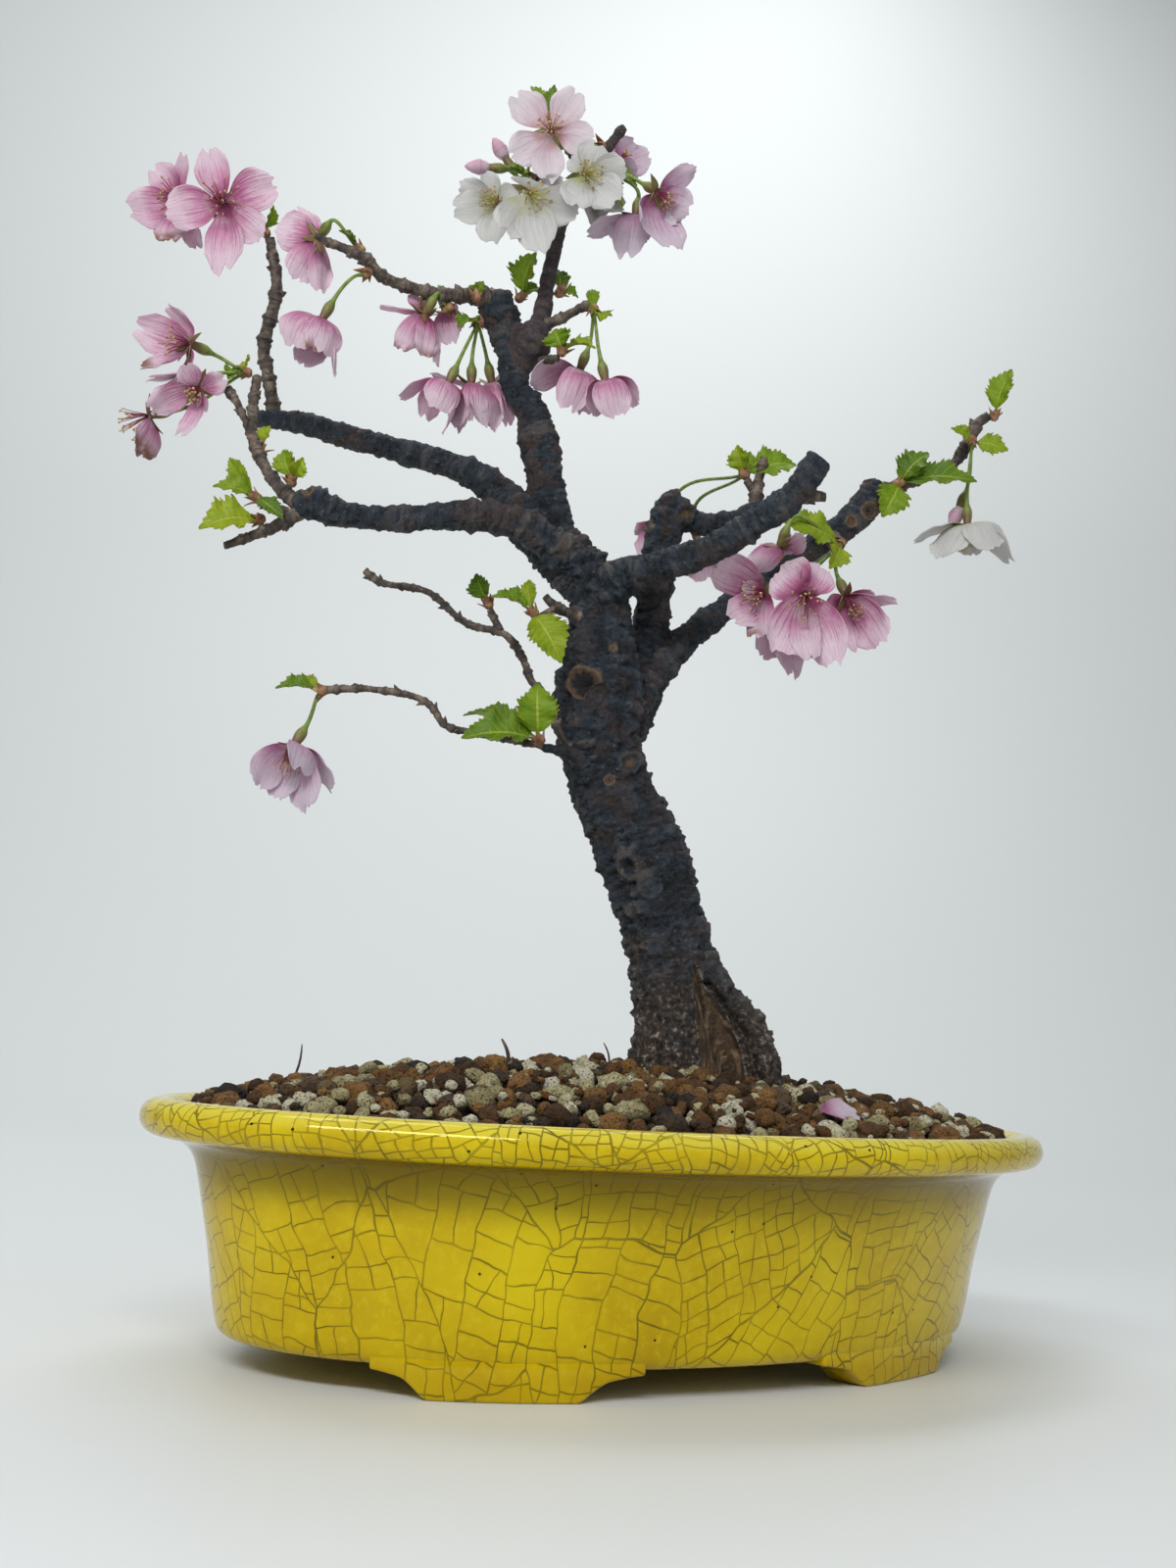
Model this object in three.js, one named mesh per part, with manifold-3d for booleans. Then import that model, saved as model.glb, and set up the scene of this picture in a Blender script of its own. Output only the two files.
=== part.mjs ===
// A flowering cherry trained as a bonsai, in an oval yellow-glazed pot on four feet.
//
// Millimetres, +Z up. X runs along the pot, the four feet stand on z = 0, and the origin is the
// bottom centre of the whole object. The crown reaches past one end of the rim, so the pot's own
// middle stands a little off the origin (POT_CENTRE).
//
// The tree is drawn on a sheet, as an eye in front of it sees it. A place on the sheet is
// [across, down, depth]: across and down in sheet units from the sheet's top left corner, and
// depth in millimetres behind the upright plane through the pot's middle.

import * as THREE from 'three';
import { mergeVertices } from 'three/addons/utils/BufferGeometryUtils.js';
import Module from 'manifold-3d';

const wasm = await Module();
wasm.setup();

// ---------------------------------------------------------------- driving dimensions

const POT_CENTRE = { x: 5.7, y: -6.4 };
const CLEARANCE = 0.35;           // gap between pieces that touch
const GRIT_GAP = 0.4;             // gap between the stump and the soil round it

const POT = {
  halfLength: 145,                // to the outside of the lip
  halfWidth: 91,
  lipHeight: 64,                  // of the lip's centre line
  lipRadius: 5,
  floor: 14,
  sides: 34,
  drainRadius: 7,
  drainOffset: 52,
};
const FOOT = {
  place: THREE.MathUtils.degToRad(33), // round the oval from its narrow middle
  halfWidth: 36,
  flatHalf: 19,                   // half of the flat that stands on the table
  height: 7.7,
  outerInset: 25.4,               // from the outside of the lip
  thickness: 12,
  sunk: 3,                        // how far its top stands in the pot
  curl: [[2, 1.2], [9, 2.4]],     // its shoulders: in from its ends, down from its top
  toe: [5, 1.9],                  // out from the flat, up from the table
};
const SCREEN = { width: 30, thickness: 1, cells: 2, hole: 9 };
const SOIL = {
  edge: 65.5,                     // height of the mound at the rim
  rise: 17,
  rimGap: 1.2,
  sides: 32,
  rings: 5,
  grain: 1.1,                     // unevenness of the surface, up and down
  wander: 0.045,                  // unevenness outwards, as a part of the mound's radius
  sway: 0.06,                     // unevenness round the mound, in radians
};
const STONES = { count: 20, smallest: 3.6, largest: 6.4, flatness: 0.8, up: 0.4, reach: 0.9 };
const SEEDS = { soil: 11, wood: 100, blooms: 500 };

// The sheet: its middle, its distance from the eye in sheet units, and where the eye stands.
const SHEET = { across: 600, down: 800, distance: 1700 };
const EYE = {
  right: -17.4,
  back: 511.9,
  height: 89.1,
  upward: THREE.MathUtils.degToRad(8.886),
  roll: THREE.MathUtils.degToRad(3.328),
};
const FRONT_TURN = THREE.MathUtils.degToRad(28.98); // from the pot's long side to the tree's front

const BLADE = 0.64;               // thickness of petals and leaves
const PETAL = {
  hub: 2.7,                       // where neighbouring petals part, from the throat
  widest: 0.57,                   // along the petal, as parts of its length
  halfWidth: 0.42,
  lobe: 0.95,
  lobeHalf: 0.24,
  notch: 0.9,
  dip: 0.03,
  shortest: 0.95,
  vary: 0.09,
  waver: 22,                      // how much the tips' rise varies, in degrees
  gap: 0.05,                      // between neighbours, in radians
};
const CALYX = {
  length: 7.2,
  belly: 1.75,
  bellyAt: 0.45,
  neck: 1.3,
  stalkTop: 0.8,
  stalk: 0.55,
  sepal: 4.3,
  sepalDrop: THREE.MathUtils.degToRad(16),
  seatGap: CLEARANCE + 0.1,       // under the petals
};
const CLOSED_BUD = { neck: 1.5, neckAt: 2, shoulder: 1.2, shoulderAt: 4, tip: 6 };
const STAMENS = { length: 8, radius: 1 };
const LEAF = { threeTeeth: 11, arch: 0.09, valley: 0.86, tooth: 1.12, toothAt: 0.72 };
const BUD_SCALES = 2.2;           // radius of the scales that a spur stands in
const ROOT_SUNK = 0.8;            // how far from the bud's middle a leaf or stalk starts
const SHORT_STALK = 11;           // a stalk up to this long bends nowhere along its length

const PINK = '#d9a3c4';
const WHITE = '#efe9ea';
const LEAF_GREEN = '#7fa832';

// ---------------------------------------------------------------- solids

const finish = (colour, roughness) =>
  new THREE.MeshStandardMaterial({ color: colour, roughness, metalness: 0 });

const MATERIALS = {
  glaze: finish('#d9bd1c', 0.2),
  plastic: finish('#2c3030', 0.6),
  grit: finish('#7a5642', 0.95),
  bark: finish('#3b3330', 0.9),
  leaf: finish(LEAF_GREEN, 0.55),
  pink: finish(PINK, 0.6),
  white: finish(WHITE, 0.6),
};

// A repeatable stream of numbers from 0 to 1.
function randomStream(seed) {
  let state = seed >>> 0;
  return () => {
    state = (state + 0x6d2b79f5) >>> 0;
    let t = state;
    t = Math.imul(t ^ (t >>> 15), t | 1);
    t ^= t + Math.imul(t ^ (t >>> 7), t | 61);
    return ((t ^ (t >>> 14)) >>> 0) / 4294967296;
  };
}

function withSharedVertices(geometry) {
  geometry.deleteAttribute('normal');
  geometry.deleteAttribute('uv');
  return mergeVertices(geometry, 1e-4);
}

// Moves every vertex of a geometry by a rule that changes the vector it is given.
function reshape(geometry, rule) {
  const places = geometry.attributes.position;
  const vertex = new THREE.Vector3();
  for (let i = 0; i < places.count; i += 1) {
    vertex.fromBufferAttribute(places, i);
    rule(vertex, i);
    places.setXYZ(i, vertex.x, vertex.y, vertex.z);
  }
  return geometry;
}

// A closed geometry with shared vertices as a solid that can be joined and cut.
function toSolid(geometry) {
  const vertProperties = Float32Array.from(geometry.attributes.position.array);
  const corners = geometry.index.array;
  const triangles = [];
  for (let i = 0; i < corners.length; i += 3) {
    const [a, b, c] = [corners[i], corners[i + 1], corners[i + 2]];
    if (a !== b && b !== c && c !== a) triangles.push([a, b, c]);
  }
  const build = (order) => new wasm.Manifold(new wasm.Mesh({
    numProp: 3,
    vertProperties,
    triVerts: Uint32Array.from(triangles.flatMap(order)),
  }));
  const solid = build((t) => t);
  return solid.volume() > 0 ? solid : build(([a, b, c]) => [a, c, b]);
}

const join = (solids) => solids.reduce((whole, next) => whole.add(next));

// The one connected body of a solid that matters: small scraps left by a cut are dropped.
function largestBody(solid) {
  const bodies = solid.decompose();
  return bodies.reduce((best, next) => (next.volume() > best.volume() ? next : best));
}

function toMesh(name, solid, material) {
  const { vertProperties, triVerts } = solid.getMesh();
  const geometry = new THREE.BufferGeometry();
  geometry.setAttribute('position', new THREE.BufferAttribute(Float32Array.from(vertProperties), 3));
  geometry.setIndex(new THREE.BufferAttribute(Uint32Array.from(triVerts), 1));
  geometry.computeVertexNormals();
  const mesh = new THREE.Mesh(geometry, material);
  mesh.name = name;
  return mesh;
}

function meshGeometry(points, corners) {
  const geometry = new THREE.BufferGeometry();
  const places = points.flatMap((point) => point.toArray());
  geometry.setAttribute('position', new THREE.BufferAttribute(Float32Array.from(places), 3));
  geometry.setIndex(corners);
  return geometry;
}

// A closed body between an upper and a lower face, whose places have the same numbers. Both faces'
// triangles are given as seen from above, and the outline runs counter-clockwise from above.
function shell(front, back, upper, lower, outline) {
  const count = front.length;
  const corners = [...upper.flat(), ...lower.flatMap(([a, b, c]) => [a + count, c + count, b + count])];
  outline.forEach((a, i) => {
    const b = outline[(i + 1) % outline.length];
    corners.push(a, a + count, b, b, a + count, b + count);
  });
  return toSolid(meshGeometry([...front, ...back], corners));
}

// A blade: a sheet of triangles with a thickness, split alike on both faces.
function blade(points, up, half, triangles, outline) {
  const moved = (by) => points.map((point) => point.clone().addScaledVector(up, by));
  return shell(moved(half), moved(-half), triangles, triangles, outline);
}

// ---------------------------------------------------------------- places on the sheet

const frontToPot = new THREE.Matrix4().makeRotationZ(-FRONT_TURN);
const eyePlace = new THREE.Vector3(EYE.right, -EYE.back, EYE.height);
const sightAxis = new THREE.Vector3(0, Math.cos(EYE.upward), Math.sin(EYE.upward));
const level = new THREE.Vector3(1, 0, 0);
const upright = new THREE.Vector3().crossVectors(level, sightAxis);
const sheetRight = level.clone().multiplyScalar(Math.cos(EYE.roll))
  .addScaledVector(upright, Math.sin(EYE.roll));
const sheetUp = upright.clone().multiplyScalar(Math.cos(EYE.roll))
  .addScaledVector(level, -Math.sin(EYE.roll));

// Millimetres along the line of sight from the eye, for a place on the sheet.
function sightLine([across, down, depth]) {
  const direction = sightAxis.clone()
    .addScaledVector(sheetRight, (across - SHEET.across) / SHEET.distance)
    .addScaledVector(sheetUp, (SHEET.down - down) / SHEET.distance);
  const length = (depth + EYE.back) / direction.y;
  return { direction, length };
}

// The place in the pot's frame of a place on the sheet.
function spot(place) {
  const { direction, length } = sightLine(place);
  return eyePlace.clone().addScaledVector(direction, length).applyMatrix4(frontToPot);
}

// Millimetres for a width drawn on the sheet at a place.
const sized = (place, width) => (width * sightLine(place).length) / SHEET.distance;

// A direction given as [right, up, towards the eye], in the pot's frame.
const heading = ([right, up, towards]) =>
  new THREE.Vector3(right, -towards, up).normalize().applyMatrix4(frontToPot);

// ---------------------------------------------------------------- pot

// An oval turned form: a profile of [inset from the outside of the lip, height] pairs,
// turned about the middle and drawn in across the pot. The profile starts and ends on the axis.
function ovalForm(profile, sides) {
  const outline = profile.map(([inset, height]) =>
    new THREE.Vector2(Math.max(POT.halfLength - inset, 0), height));
  const turned = withSharedVertices(new THREE.LatheGeometry(outline, sides));
  const drawnIn = POT.halfLength - POT.halfWidth;
  return reshape(turned, (v) => {
    const radius = Math.hypot(v.x, v.z);
    const height = v.y;
    if (radius < 1e-3) {
      v.set(0, 0, height);
    } else {
      v.set(v.z, (v.x / radius) * (radius - drawnIn), height);
    }
  });
}

const AXIS = POT.halfLength;      // the inset of the pot's middle
const POT_OUTSIDE = [
  [AXIS, 9.2], [34, 8.8], [28, 7.7], [25.2, 9.4], [23.3, 17], [20.8, 31], [17.6, 45],
  [15.2, 53.4], [10.6, 57.8],
];
const LIP_ANGLES = [-100, -50, 0, 50, 100, 150];
const POT_INSIDE = [[13, 60.6], [20, 55], [25.4, 44], [29.6, 22], [35, 14]];

function lipProfile() {
  return LIP_ANGLES.map((degrees) => {
    const angle = THREE.MathUtils.degToRad(degrees);
    return [POT.lipRadius * (1 - Math.cos(angle)), POT.lipHeight + POT.lipRadius * Math.sin(angle)];
  });
}

// A foot with curled shoulders: its front outline, extruded, then wrapped round the oval.
function foot(place) {
  const { halfWidth, flatHalf, height, outerInset, thickness, curl, toe } = FOOT;
  const sunk = height + FOOT.sunk;
  const right = [[halfWidth, sunk], ...curl.map(([inwards, down]) => [halfWidth - inwards, height - down]),
    [flatHalf + toe[0], toe[1]], [flatHalf, 0]];
  const left = right.map(([s, z]) => [-s, z]).reverse();
  const outline = [...right, [0, 0], ...left, [0, sunk]];
  const shape = new THREE.Shape(outline.map(([s, z]) => new THREE.Vector2(s, z)));
  const block = withSharedVertices(
    new THREE.ExtrudeGeometry(shape, { depth: thickness, steps: 1, bevelEnabled: false }),
  );
  const a = POT.halfLength - outerInset;
  const b = POT.halfWidth - outerInset;
  const perRadian = Math.hypot(a * Math.sin(place), b * Math.cos(place));
  return toSolid(reshape(block, (v) => {
    const angle = place + v.x / perRadian;
    v.set((a - v.z) * Math.cos(angle), (b - v.z) * Math.sin(angle), v.y);
  }));
}

function drainCut(side) {
  const plug = new THREE.CylinderGeometry(POT.drainRadius, POT.drainRadius, 20, 10);
  plug.rotateX(Math.PI / 2);
  plug.translate(side * POT.drainOffset, 0, POT.floor - 4);
  return toSolid(withSharedVertices(plug));
}

function makePot() {
  const bowl = toSolid(ovalForm([...POT_OUTSIDE, ...lipProfile(), ...POT_INSIDE, [AXIS, POT.floor]],
    POT.sides));
  const quarter = Math.PI / 2;
  const feet = [-quarter, quarter].flatMap((middle) =>
    [-1, 1].map((side) => foot(middle + side * FOOT.place)));
  return join([bowl, ...feet]).subtract(drainCut(-1)).subtract(drainCut(1));
}

// ---------------------------------------------------------------- drain screens

const SCREEN_BASE = POT.floor + CLEARANCE;

function block(width, height, x, y, bottom) {
  const box = new THREE.BoxGeometry(width, width, height);
  box.translate(x, y, bottom + height / 2);
  return toSolid(withSharedVertices(box));
}

function makeScreen(side) {
  const middle = side * POT.drainOffset;
  const pitch = (SCREEN.width * 0.92) / SCREEN.cells;
  const holes = [];
  for (let i = 0; i < SCREEN.cells; i += 1) {
    for (let j = 0; j < SCREEN.cells; j += 1) {
      const offset = (k) => (k - (SCREEN.cells - 1) / 2) * pitch;
      holes.push(block(SCREEN.hole, 3 * SCREEN.thickness, middle + offset(i), offset(j),
        SCREEN_BASE - SCREEN.thickness));
    }
  }
  return block(SCREEN.width, SCREEN.thickness, middle, 0, SCREEN_BASE).subtract(join(holes));
}

function screenPocket(side) {
  const height = SCREEN.thickness + 2 * CLEARANCE;
  return block(SCREEN.width + 2 * CLEARANCE, height, side * POT.drainOffset, 0,
    SCREEN_BASE - CLEARANCE);
}

// ---------------------------------------------------------------- soil

const soilProfile = POT_INSIDE.map(([inset, z]) => [inset + CLEARANCE, z + 0.1]).reverse();
const moundInset = POT_INSIDE[0][0] + CLEARANCE - SOIL.rimGap;
const MOUND = { a: POT.halfLength - moundInset, b: POT.halfWidth - moundInset };

// Height of the mound where `out` runs from 0 at the pot's middle to 1 at the soil's edge.
const moundHeight = (out) => SOIL.edge + SOIL.rise * (1 - Math.min(out, 1) ** 1.7) ** 0.8;

function makeStone(random) {
  const out = Math.sqrt(random()) * STONES.reach;
  const angle = random() * Math.PI * 2;
  const size = () => THREE.MathUtils.lerp(STONES.smallest, STONES.largest, random());
  const stone = new THREE.OctahedronGeometry(1, 0);
  stone.scale(size(), size(), size() * STONES.flatness);
  stone.rotateX(random() * Math.PI);
  stone.rotateZ(random() * Math.PI);
  stone.translate(out * MOUND.a * Math.cos(angle), out * MOUND.b * Math.sin(angle),
    moundHeight(out) + STONES.up);
  return toSolid(withSharedVertices(stone));
}

// The grit: it fills the pot from the floor up and is heaped round the tree.
function makeMound() {
  const random = randomStream(SEEDS.soil);
  const rings = Array.from({ length: SOIL.rings }, (_, i) => 1 - i / SOIL.rings);
  const topHeight = 500;          // marks the rings of the top until they are laid on the mound
  const [[floorInset], ...walls] = soilProfile;
  const profile = [[AXIS, SCREEN_BASE], [floorInset, SCREEN_BASE], ...walls,
    ...rings.map((ring, i) => [moundInset, topHeight + i]), [AXIS, topHeight]];
  const mound = reshape(ovalForm(profile, SOIL.sides), (v) => {
    if (v.z < topHeight) return;
    const out = Math.hypot(v.x, v.y) < 1e-3 ? 0 : rings[Math.round(v.z) - topHeight];
    const loose = out > 0 && out < 1 ? 1 : 0;
    const uneven = () => loose * (random() - 0.5);
    const wandered = out + uneven() * SOIL.wander;
    const angle = Math.atan2(v.y / MOUND.b, v.x / MOUND.a) + uneven() * SOIL.sway;
    v.set(wandered * MOUND.a * Math.cos(angle), wandered * MOUND.b * Math.sin(angle),
      moundHeight(out) + 2 * uneven() * SOIL.grain);
  });
  const stones = Array.from({ length: STONES.count }, () => makeStone(random));
  return join([toSolid(mound), ...stones]);
}

// ---------------------------------------------------------------- wood

// Limbs on the sheet, each a list of [across, down, depth, width], from the root end outwards.
// Widths are in sheet units, as the limb is seen.
const LIMBS = {
  trunk: { sides: 12, step: 17, rough: 0.07, path: [
    [705, 1190, 0, 96], [706, 1130, 0, 104], [701, 1085, 0, 108], [697, 1040, 0, 100],
    [690, 1000, 0, 94], [681, 960, 0, 86], [669, 915, 0, 90], [652, 868, 0, 94],
    [636, 832, 0, 86], [620, 795, 0, 82], [611, 755, 0, 86], [611, 708, 0, 92],
    [612, 665, 0, 76], [612, 625, 0, 62], [610, 590, 0, 54]] },
  rootRight: { sides: 8, step: 17, rough: 0.08, path: [
    [700, 948, -2, 36], [726, 1000, -6, 46], [754, 1040, -6, 54], [768, 1080, -6, 58],
    [772, 1180, -6, 50]] },
  rootBack: { sides: 7, step: 18, rough: 0.08, path: [
    [690, 1000, 10, 60], [702, 1060, 16, 70], [704, 1120, 18, 74], [704, 1185, 18, 64]] },
  rootLeft: { sides: 7, step: 18, rough: 0.08, path: [
    [680, 1020, -6, 36], [665, 1068, -8, 44], [670, 1180, -8, 40]] },
  leader: { sides: 7, step: 11, rough: 0.06, path: [
    [609, 604, 0, 48], [596, 575, 0, 44], [571, 548, 1, 38], [558, 500, 2, 38],
    [550, 452, 3, 43], [543, 423, 4, 34], [526, 393, 4, 31], [522, 356, 5, 32],
    [513, 328, 5, 38], [504, 304, 5, 38]] },
  swelling: { sides: 8, step: 11, rough: 0.04, path: [
    [533, 376, 3, 20], [543, 352, 1, 42], [547, 332, 2, 24]] },
  topBranch: { sides: 7, step: 15, rough: 0.04, path: [
    [541, 352, 2, 26], [552, 325, 3, 20], [560, 280, 3, 16], [572, 232, 1, 14],
    [585, 200, 0, 13], [637, 129, -2, 11]] },
  topSpurLeft: { sides: 5, step: 15, rough: 0, path: [
    [581, 209, 0, 9], [562, 190, 4, 8], [546, 181, 6, 8]] },
  topSpurBack: { sides: 5, step: 15, rough: 0, path: [
    [600, 178, 0, 9], [580, 152, 7, 8], [562, 128, 9, 7]] },
  crownTwig: { sides: 6, step: 15, rough: 0.05, path: [
    [507, 306, 4, 22], [480, 302, 0, 15], [447, 300, -4, 13], [405, 289, -9, 12],
    [387, 280, -11, 12], [374, 265, -13, 12], [333, 246, -18, 8], [322, 240, -20, 7]] },
  upperLeft: { sides: 7, step: 15, rough: 0.06, path: [
    [606, 602, -2, 54], [576, 576, -2, 48], [546, 547, 0, 44], [520, 514, 2, 38],
    [498, 494, 3, 34], [470, 479, 4, 29], [357, 446, 6, 25], [298, 430, 6, 22],
    [254, 427, 6, 15]] },
  upperShoot: { sides: 6, step: 15, rough: 0.04, path: [
    [281, 430, 6, 14], [273, 379, 3, 13], [269, 355, 2, 13], [281, 305, 0, 13],
    [282, 284, 0, 11], [275, 243, 0, 10]] },
  lowerLeft: { sides: 7, step: 15, rough: 0.06, path: [
    [588, 578, -5, 42], [560, 555, -9, 38], [535, 538, -12, 34], [500, 527, -15, 33],
    [410, 529, -20, 27], [367, 527, -22, 27], [340, 522, -24, 32], [318, 515, -25, 36],
    [302, 520, -25, 22]] },
  lowerShoot: { sides: 6, step: 15, rough: 0.04, path: [
    [304, 516, -25, 16], [277, 487, -24, 12], [258, 445, -20, 12], [258, 419, -18, 10],
    [262, 385, -16, 10]] },
  lowerShootFork: { sides: 5, step: 15, rough: 0, path: [
    [258, 448, -20, 8], [249, 426, -18, 7], [240, 408, -17, 8], [232, 397, -16, 11]] },
  lowerTip: { sides: 6, step: 15, rough: 0.04, path: [
    [308, 521, -25, 18], [286, 535, -26, 13], [229, 557, -29, 8]] },
  lowerStub: { sides: 5, step: 15, rough: 0, path: [
    [294, 522, -25, 9], [279, 517, -26, 8], [268, 512, -27, 8]] },
  lowSpur: { sides: 7, step: 11, rough: 0.05, path: [
    [604, 777, -6, 20], [576, 767, -14, 16], [550, 761, -20, 9]] },
  lowTwig: { sides: 5, step: 18, rough: 0, path: [
    [553, 761, -20, 7], [480, 747, -24, 7], [456, 741, -26, 7], [434, 716, -28, 7],
    [378, 703, -30, 7], [336, 704, -32, 9]] },
  bareTwig: { sides: 5, step: 18, rough: 0, path: [
    [588, 772, -8, 10], [573, 752, -10, 9], [556, 710, -5, 8], [542, 694, -2, 8],
    [533, 671, 2, 8], [516, 648, 5, 8], [476, 636, 9, 7], [436, 604, 13, 7],
    [388, 594, 16, 7], [372, 582, 17, 8]] },
  bareTwigSpur: { sides: 5, step: 15, rough: 0, path: [
    [511, 643, 5, 7], [505, 632, 6, 7], [500, 622, 6, 8]] },
  trunkTwig: { sides: 5, step: 15, rough: 0, path: [
    [600, 634, -5, 12], [566, 618, -12, 10], [556, 608, -13, 8]] },
  trunkTwigFork: { sides: 5, step: 15, rough: 0, path: [
    [568, 619, -12, 7], [553, 629, -14, 8]] },
  rightFront: { sides: 7, step: 15, rough: 0.06, path: [
    [612, 606, -4, 48], [640, 588, -8, 40], [665, 581, -12, 35], [689, 574, -15, 33],
    [730, 558, -20, 32], [771, 533, -25, 31], [806, 509, -29, 30], [823, 487, -31, 29],
    [837, 466, -33, 27]] },
  rightFrontNub: { sides: 5, step: 15, rough: 0, path: [
    [812, 507, -28, 16], [830, 506, -26, 13], [842, 507, -25, 10]] },
  elbow: { sides: 7, step: 15, rough: 0.06, path: [
    [656, 604, 6, 40], [672, 576, 9, 38], [677, 548, 12, 38], [686, 522, 14, 42],
    [696, 510, 14, 34]] },
  elbowArm: { sides: 7, step: 15, rough: 0.06, path: [
    [688, 520, 14, 30], [716, 535, 15, 25], [745, 534, 10, 25], [771, 523, 0, 22],
    [787, 518, -6, 14]] },
  elbowNub: { sides: 5, step: 15, rough: 0, path: [
    [676, 552, 11, 16], [667, 542, 10, 12], [663, 533, 10, 11]] },
  sproutTwig: { sides: 5, step: 15, rough: 0, path: [
    [769, 524, 0, 16], [772, 502, 1, 12], [776, 483, 2, 9], [780, 467, 2, 8]] },
  sproutTwigFork: { sides: 5, step: 15, rough: 0, path: [
    [771, 505, 1, 9], [762, 490, 1, 9]] },
  rearStem: { sides: 7, step: 15, rough: 0.06, path: [
    [636, 740, 6, 56], [653, 702, 11, 46], [660, 665, 13, 36], [664, 635, 13, 37],
    [669, 605, 11, 36], [673, 583, 9, 36]] },
  rightLower: { sides: 7, step: 15, rough: 0.06, path: [
    [628, 748, 4, 58], [651, 709, 8, 46], [671, 683, 11, 36], [704, 648, 15, 30],
    [744, 619, 19, 28], [826, 561, 25, 28], [861, 537, 27, 30], [885, 513, 29, 33],
    [894, 494, 30, 26]] },
  rightTip: { sides: 6, step: 15, rough: 0.05, path: [
    [884, 513, 30, 18], [908, 499, 30, 14], [949, 485, 30, 10], [972, 474, 29, 10],
    [990, 448, 27, 13], [998, 432, 26, 11], [1009, 424, 25, 10]] },
  bloomSpur: { sides: 6, step: 15, rough: 0, path: [
    [846, 550, 25, 16], [852, 551, 16, 12], [856, 554, 10, 11]] },
  crownSpur: { sides: 5, step: 15, rough: 0.04, path: [
    [549, 335, 2, 13], [571, 326, 1, 10], [590, 316, 0, 9], [603, 310, -1, 9]] },
  crownSpurLow: { sides: 5, step: 15, rough: 0, path: [
    [545, 366, 1, 10], [560, 367, -2, 8], [570, 365, -4, 8]] },
};

// A limb: a many-sided bar bent along a smooth curve through its places, with blunt cut ends.
// `grow` makes it that much fatter all round, for the clearance in what it stands in.
function limb({ path, sides, step, rough }, seed, grow = 0) {
  const curve = new THREE.CatmullRomCurve3(path.map(spot), false, 'centripetal');
  const radii = path.map((place) => sized(place, place[3]) / 2);
  const stations = [0];
  path.slice(1).forEach((_, i) => {
    const length = spot(path[i]).distanceTo(spot(path[i + 1]));
    const count = Math.max(1, Math.round(length / step));
    for (let k = 1; k <= count; k += 1) stations.push((i + k / count) / (path.length - 1));
  });
  const frames = [];
  let across = heading([0, 0, 1]);
  for (const u of stations) {
    const along = curve.getTangent(u);
    across = across.clone().addScaledVector(along, -across.dot(along)).normalize();
    frames.push({ centre: curve.getPoint(u), along, across, side: along.clone().cross(across) });
  }
  const radiusAt = (u) => {
    const whole = Math.min(u * (path.length - 1), path.length - 1 - 1e-6);
    const i = Math.floor(whole);
    return THREE.MathUtils.lerp(radii[i], radii[i + 1], whole - i);
  };
  const random = randomStream(seed);
  const last = stations.length - 1;
  const bar = withSharedVertices(new THREE.CylinderGeometry(1, 1, last, sides, last));
  return toSolid(reshape(bar, (v) => {
    const i = Math.round(v.y + last / 2);
    const { centre, along, across: a, side } = frames[i];
    const onRim = Math.hypot(v.x, v.z) > 0.5;
    const radius = onRim ? radiusAt(stations[i]) * (1 + (random() - 0.5) * 2 * rough) + grow : 0;
    const past = i === 0 ? -grow : (i === last ? grow : 0);
    const angle = Math.atan2(v.z, v.x);
    v.copy(centre).addScaledVector(along, past)
      .addScaledVector(a, radius * Math.cos(angle)).addScaledVector(side, radius * Math.sin(angle));
  }));
}

const LIMB_NAMES = Object.keys(LIMBS);
const limbSolid = (name, grow) => limb(LIMBS[name], SEEDS.wood + LIMB_NAMES.indexOf(name), grow);
const ROOTS = ['trunk', 'rootRight', 'rootBack', 'rootLeft'];

// ---------------------------------------------------------------- blossoms

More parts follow.
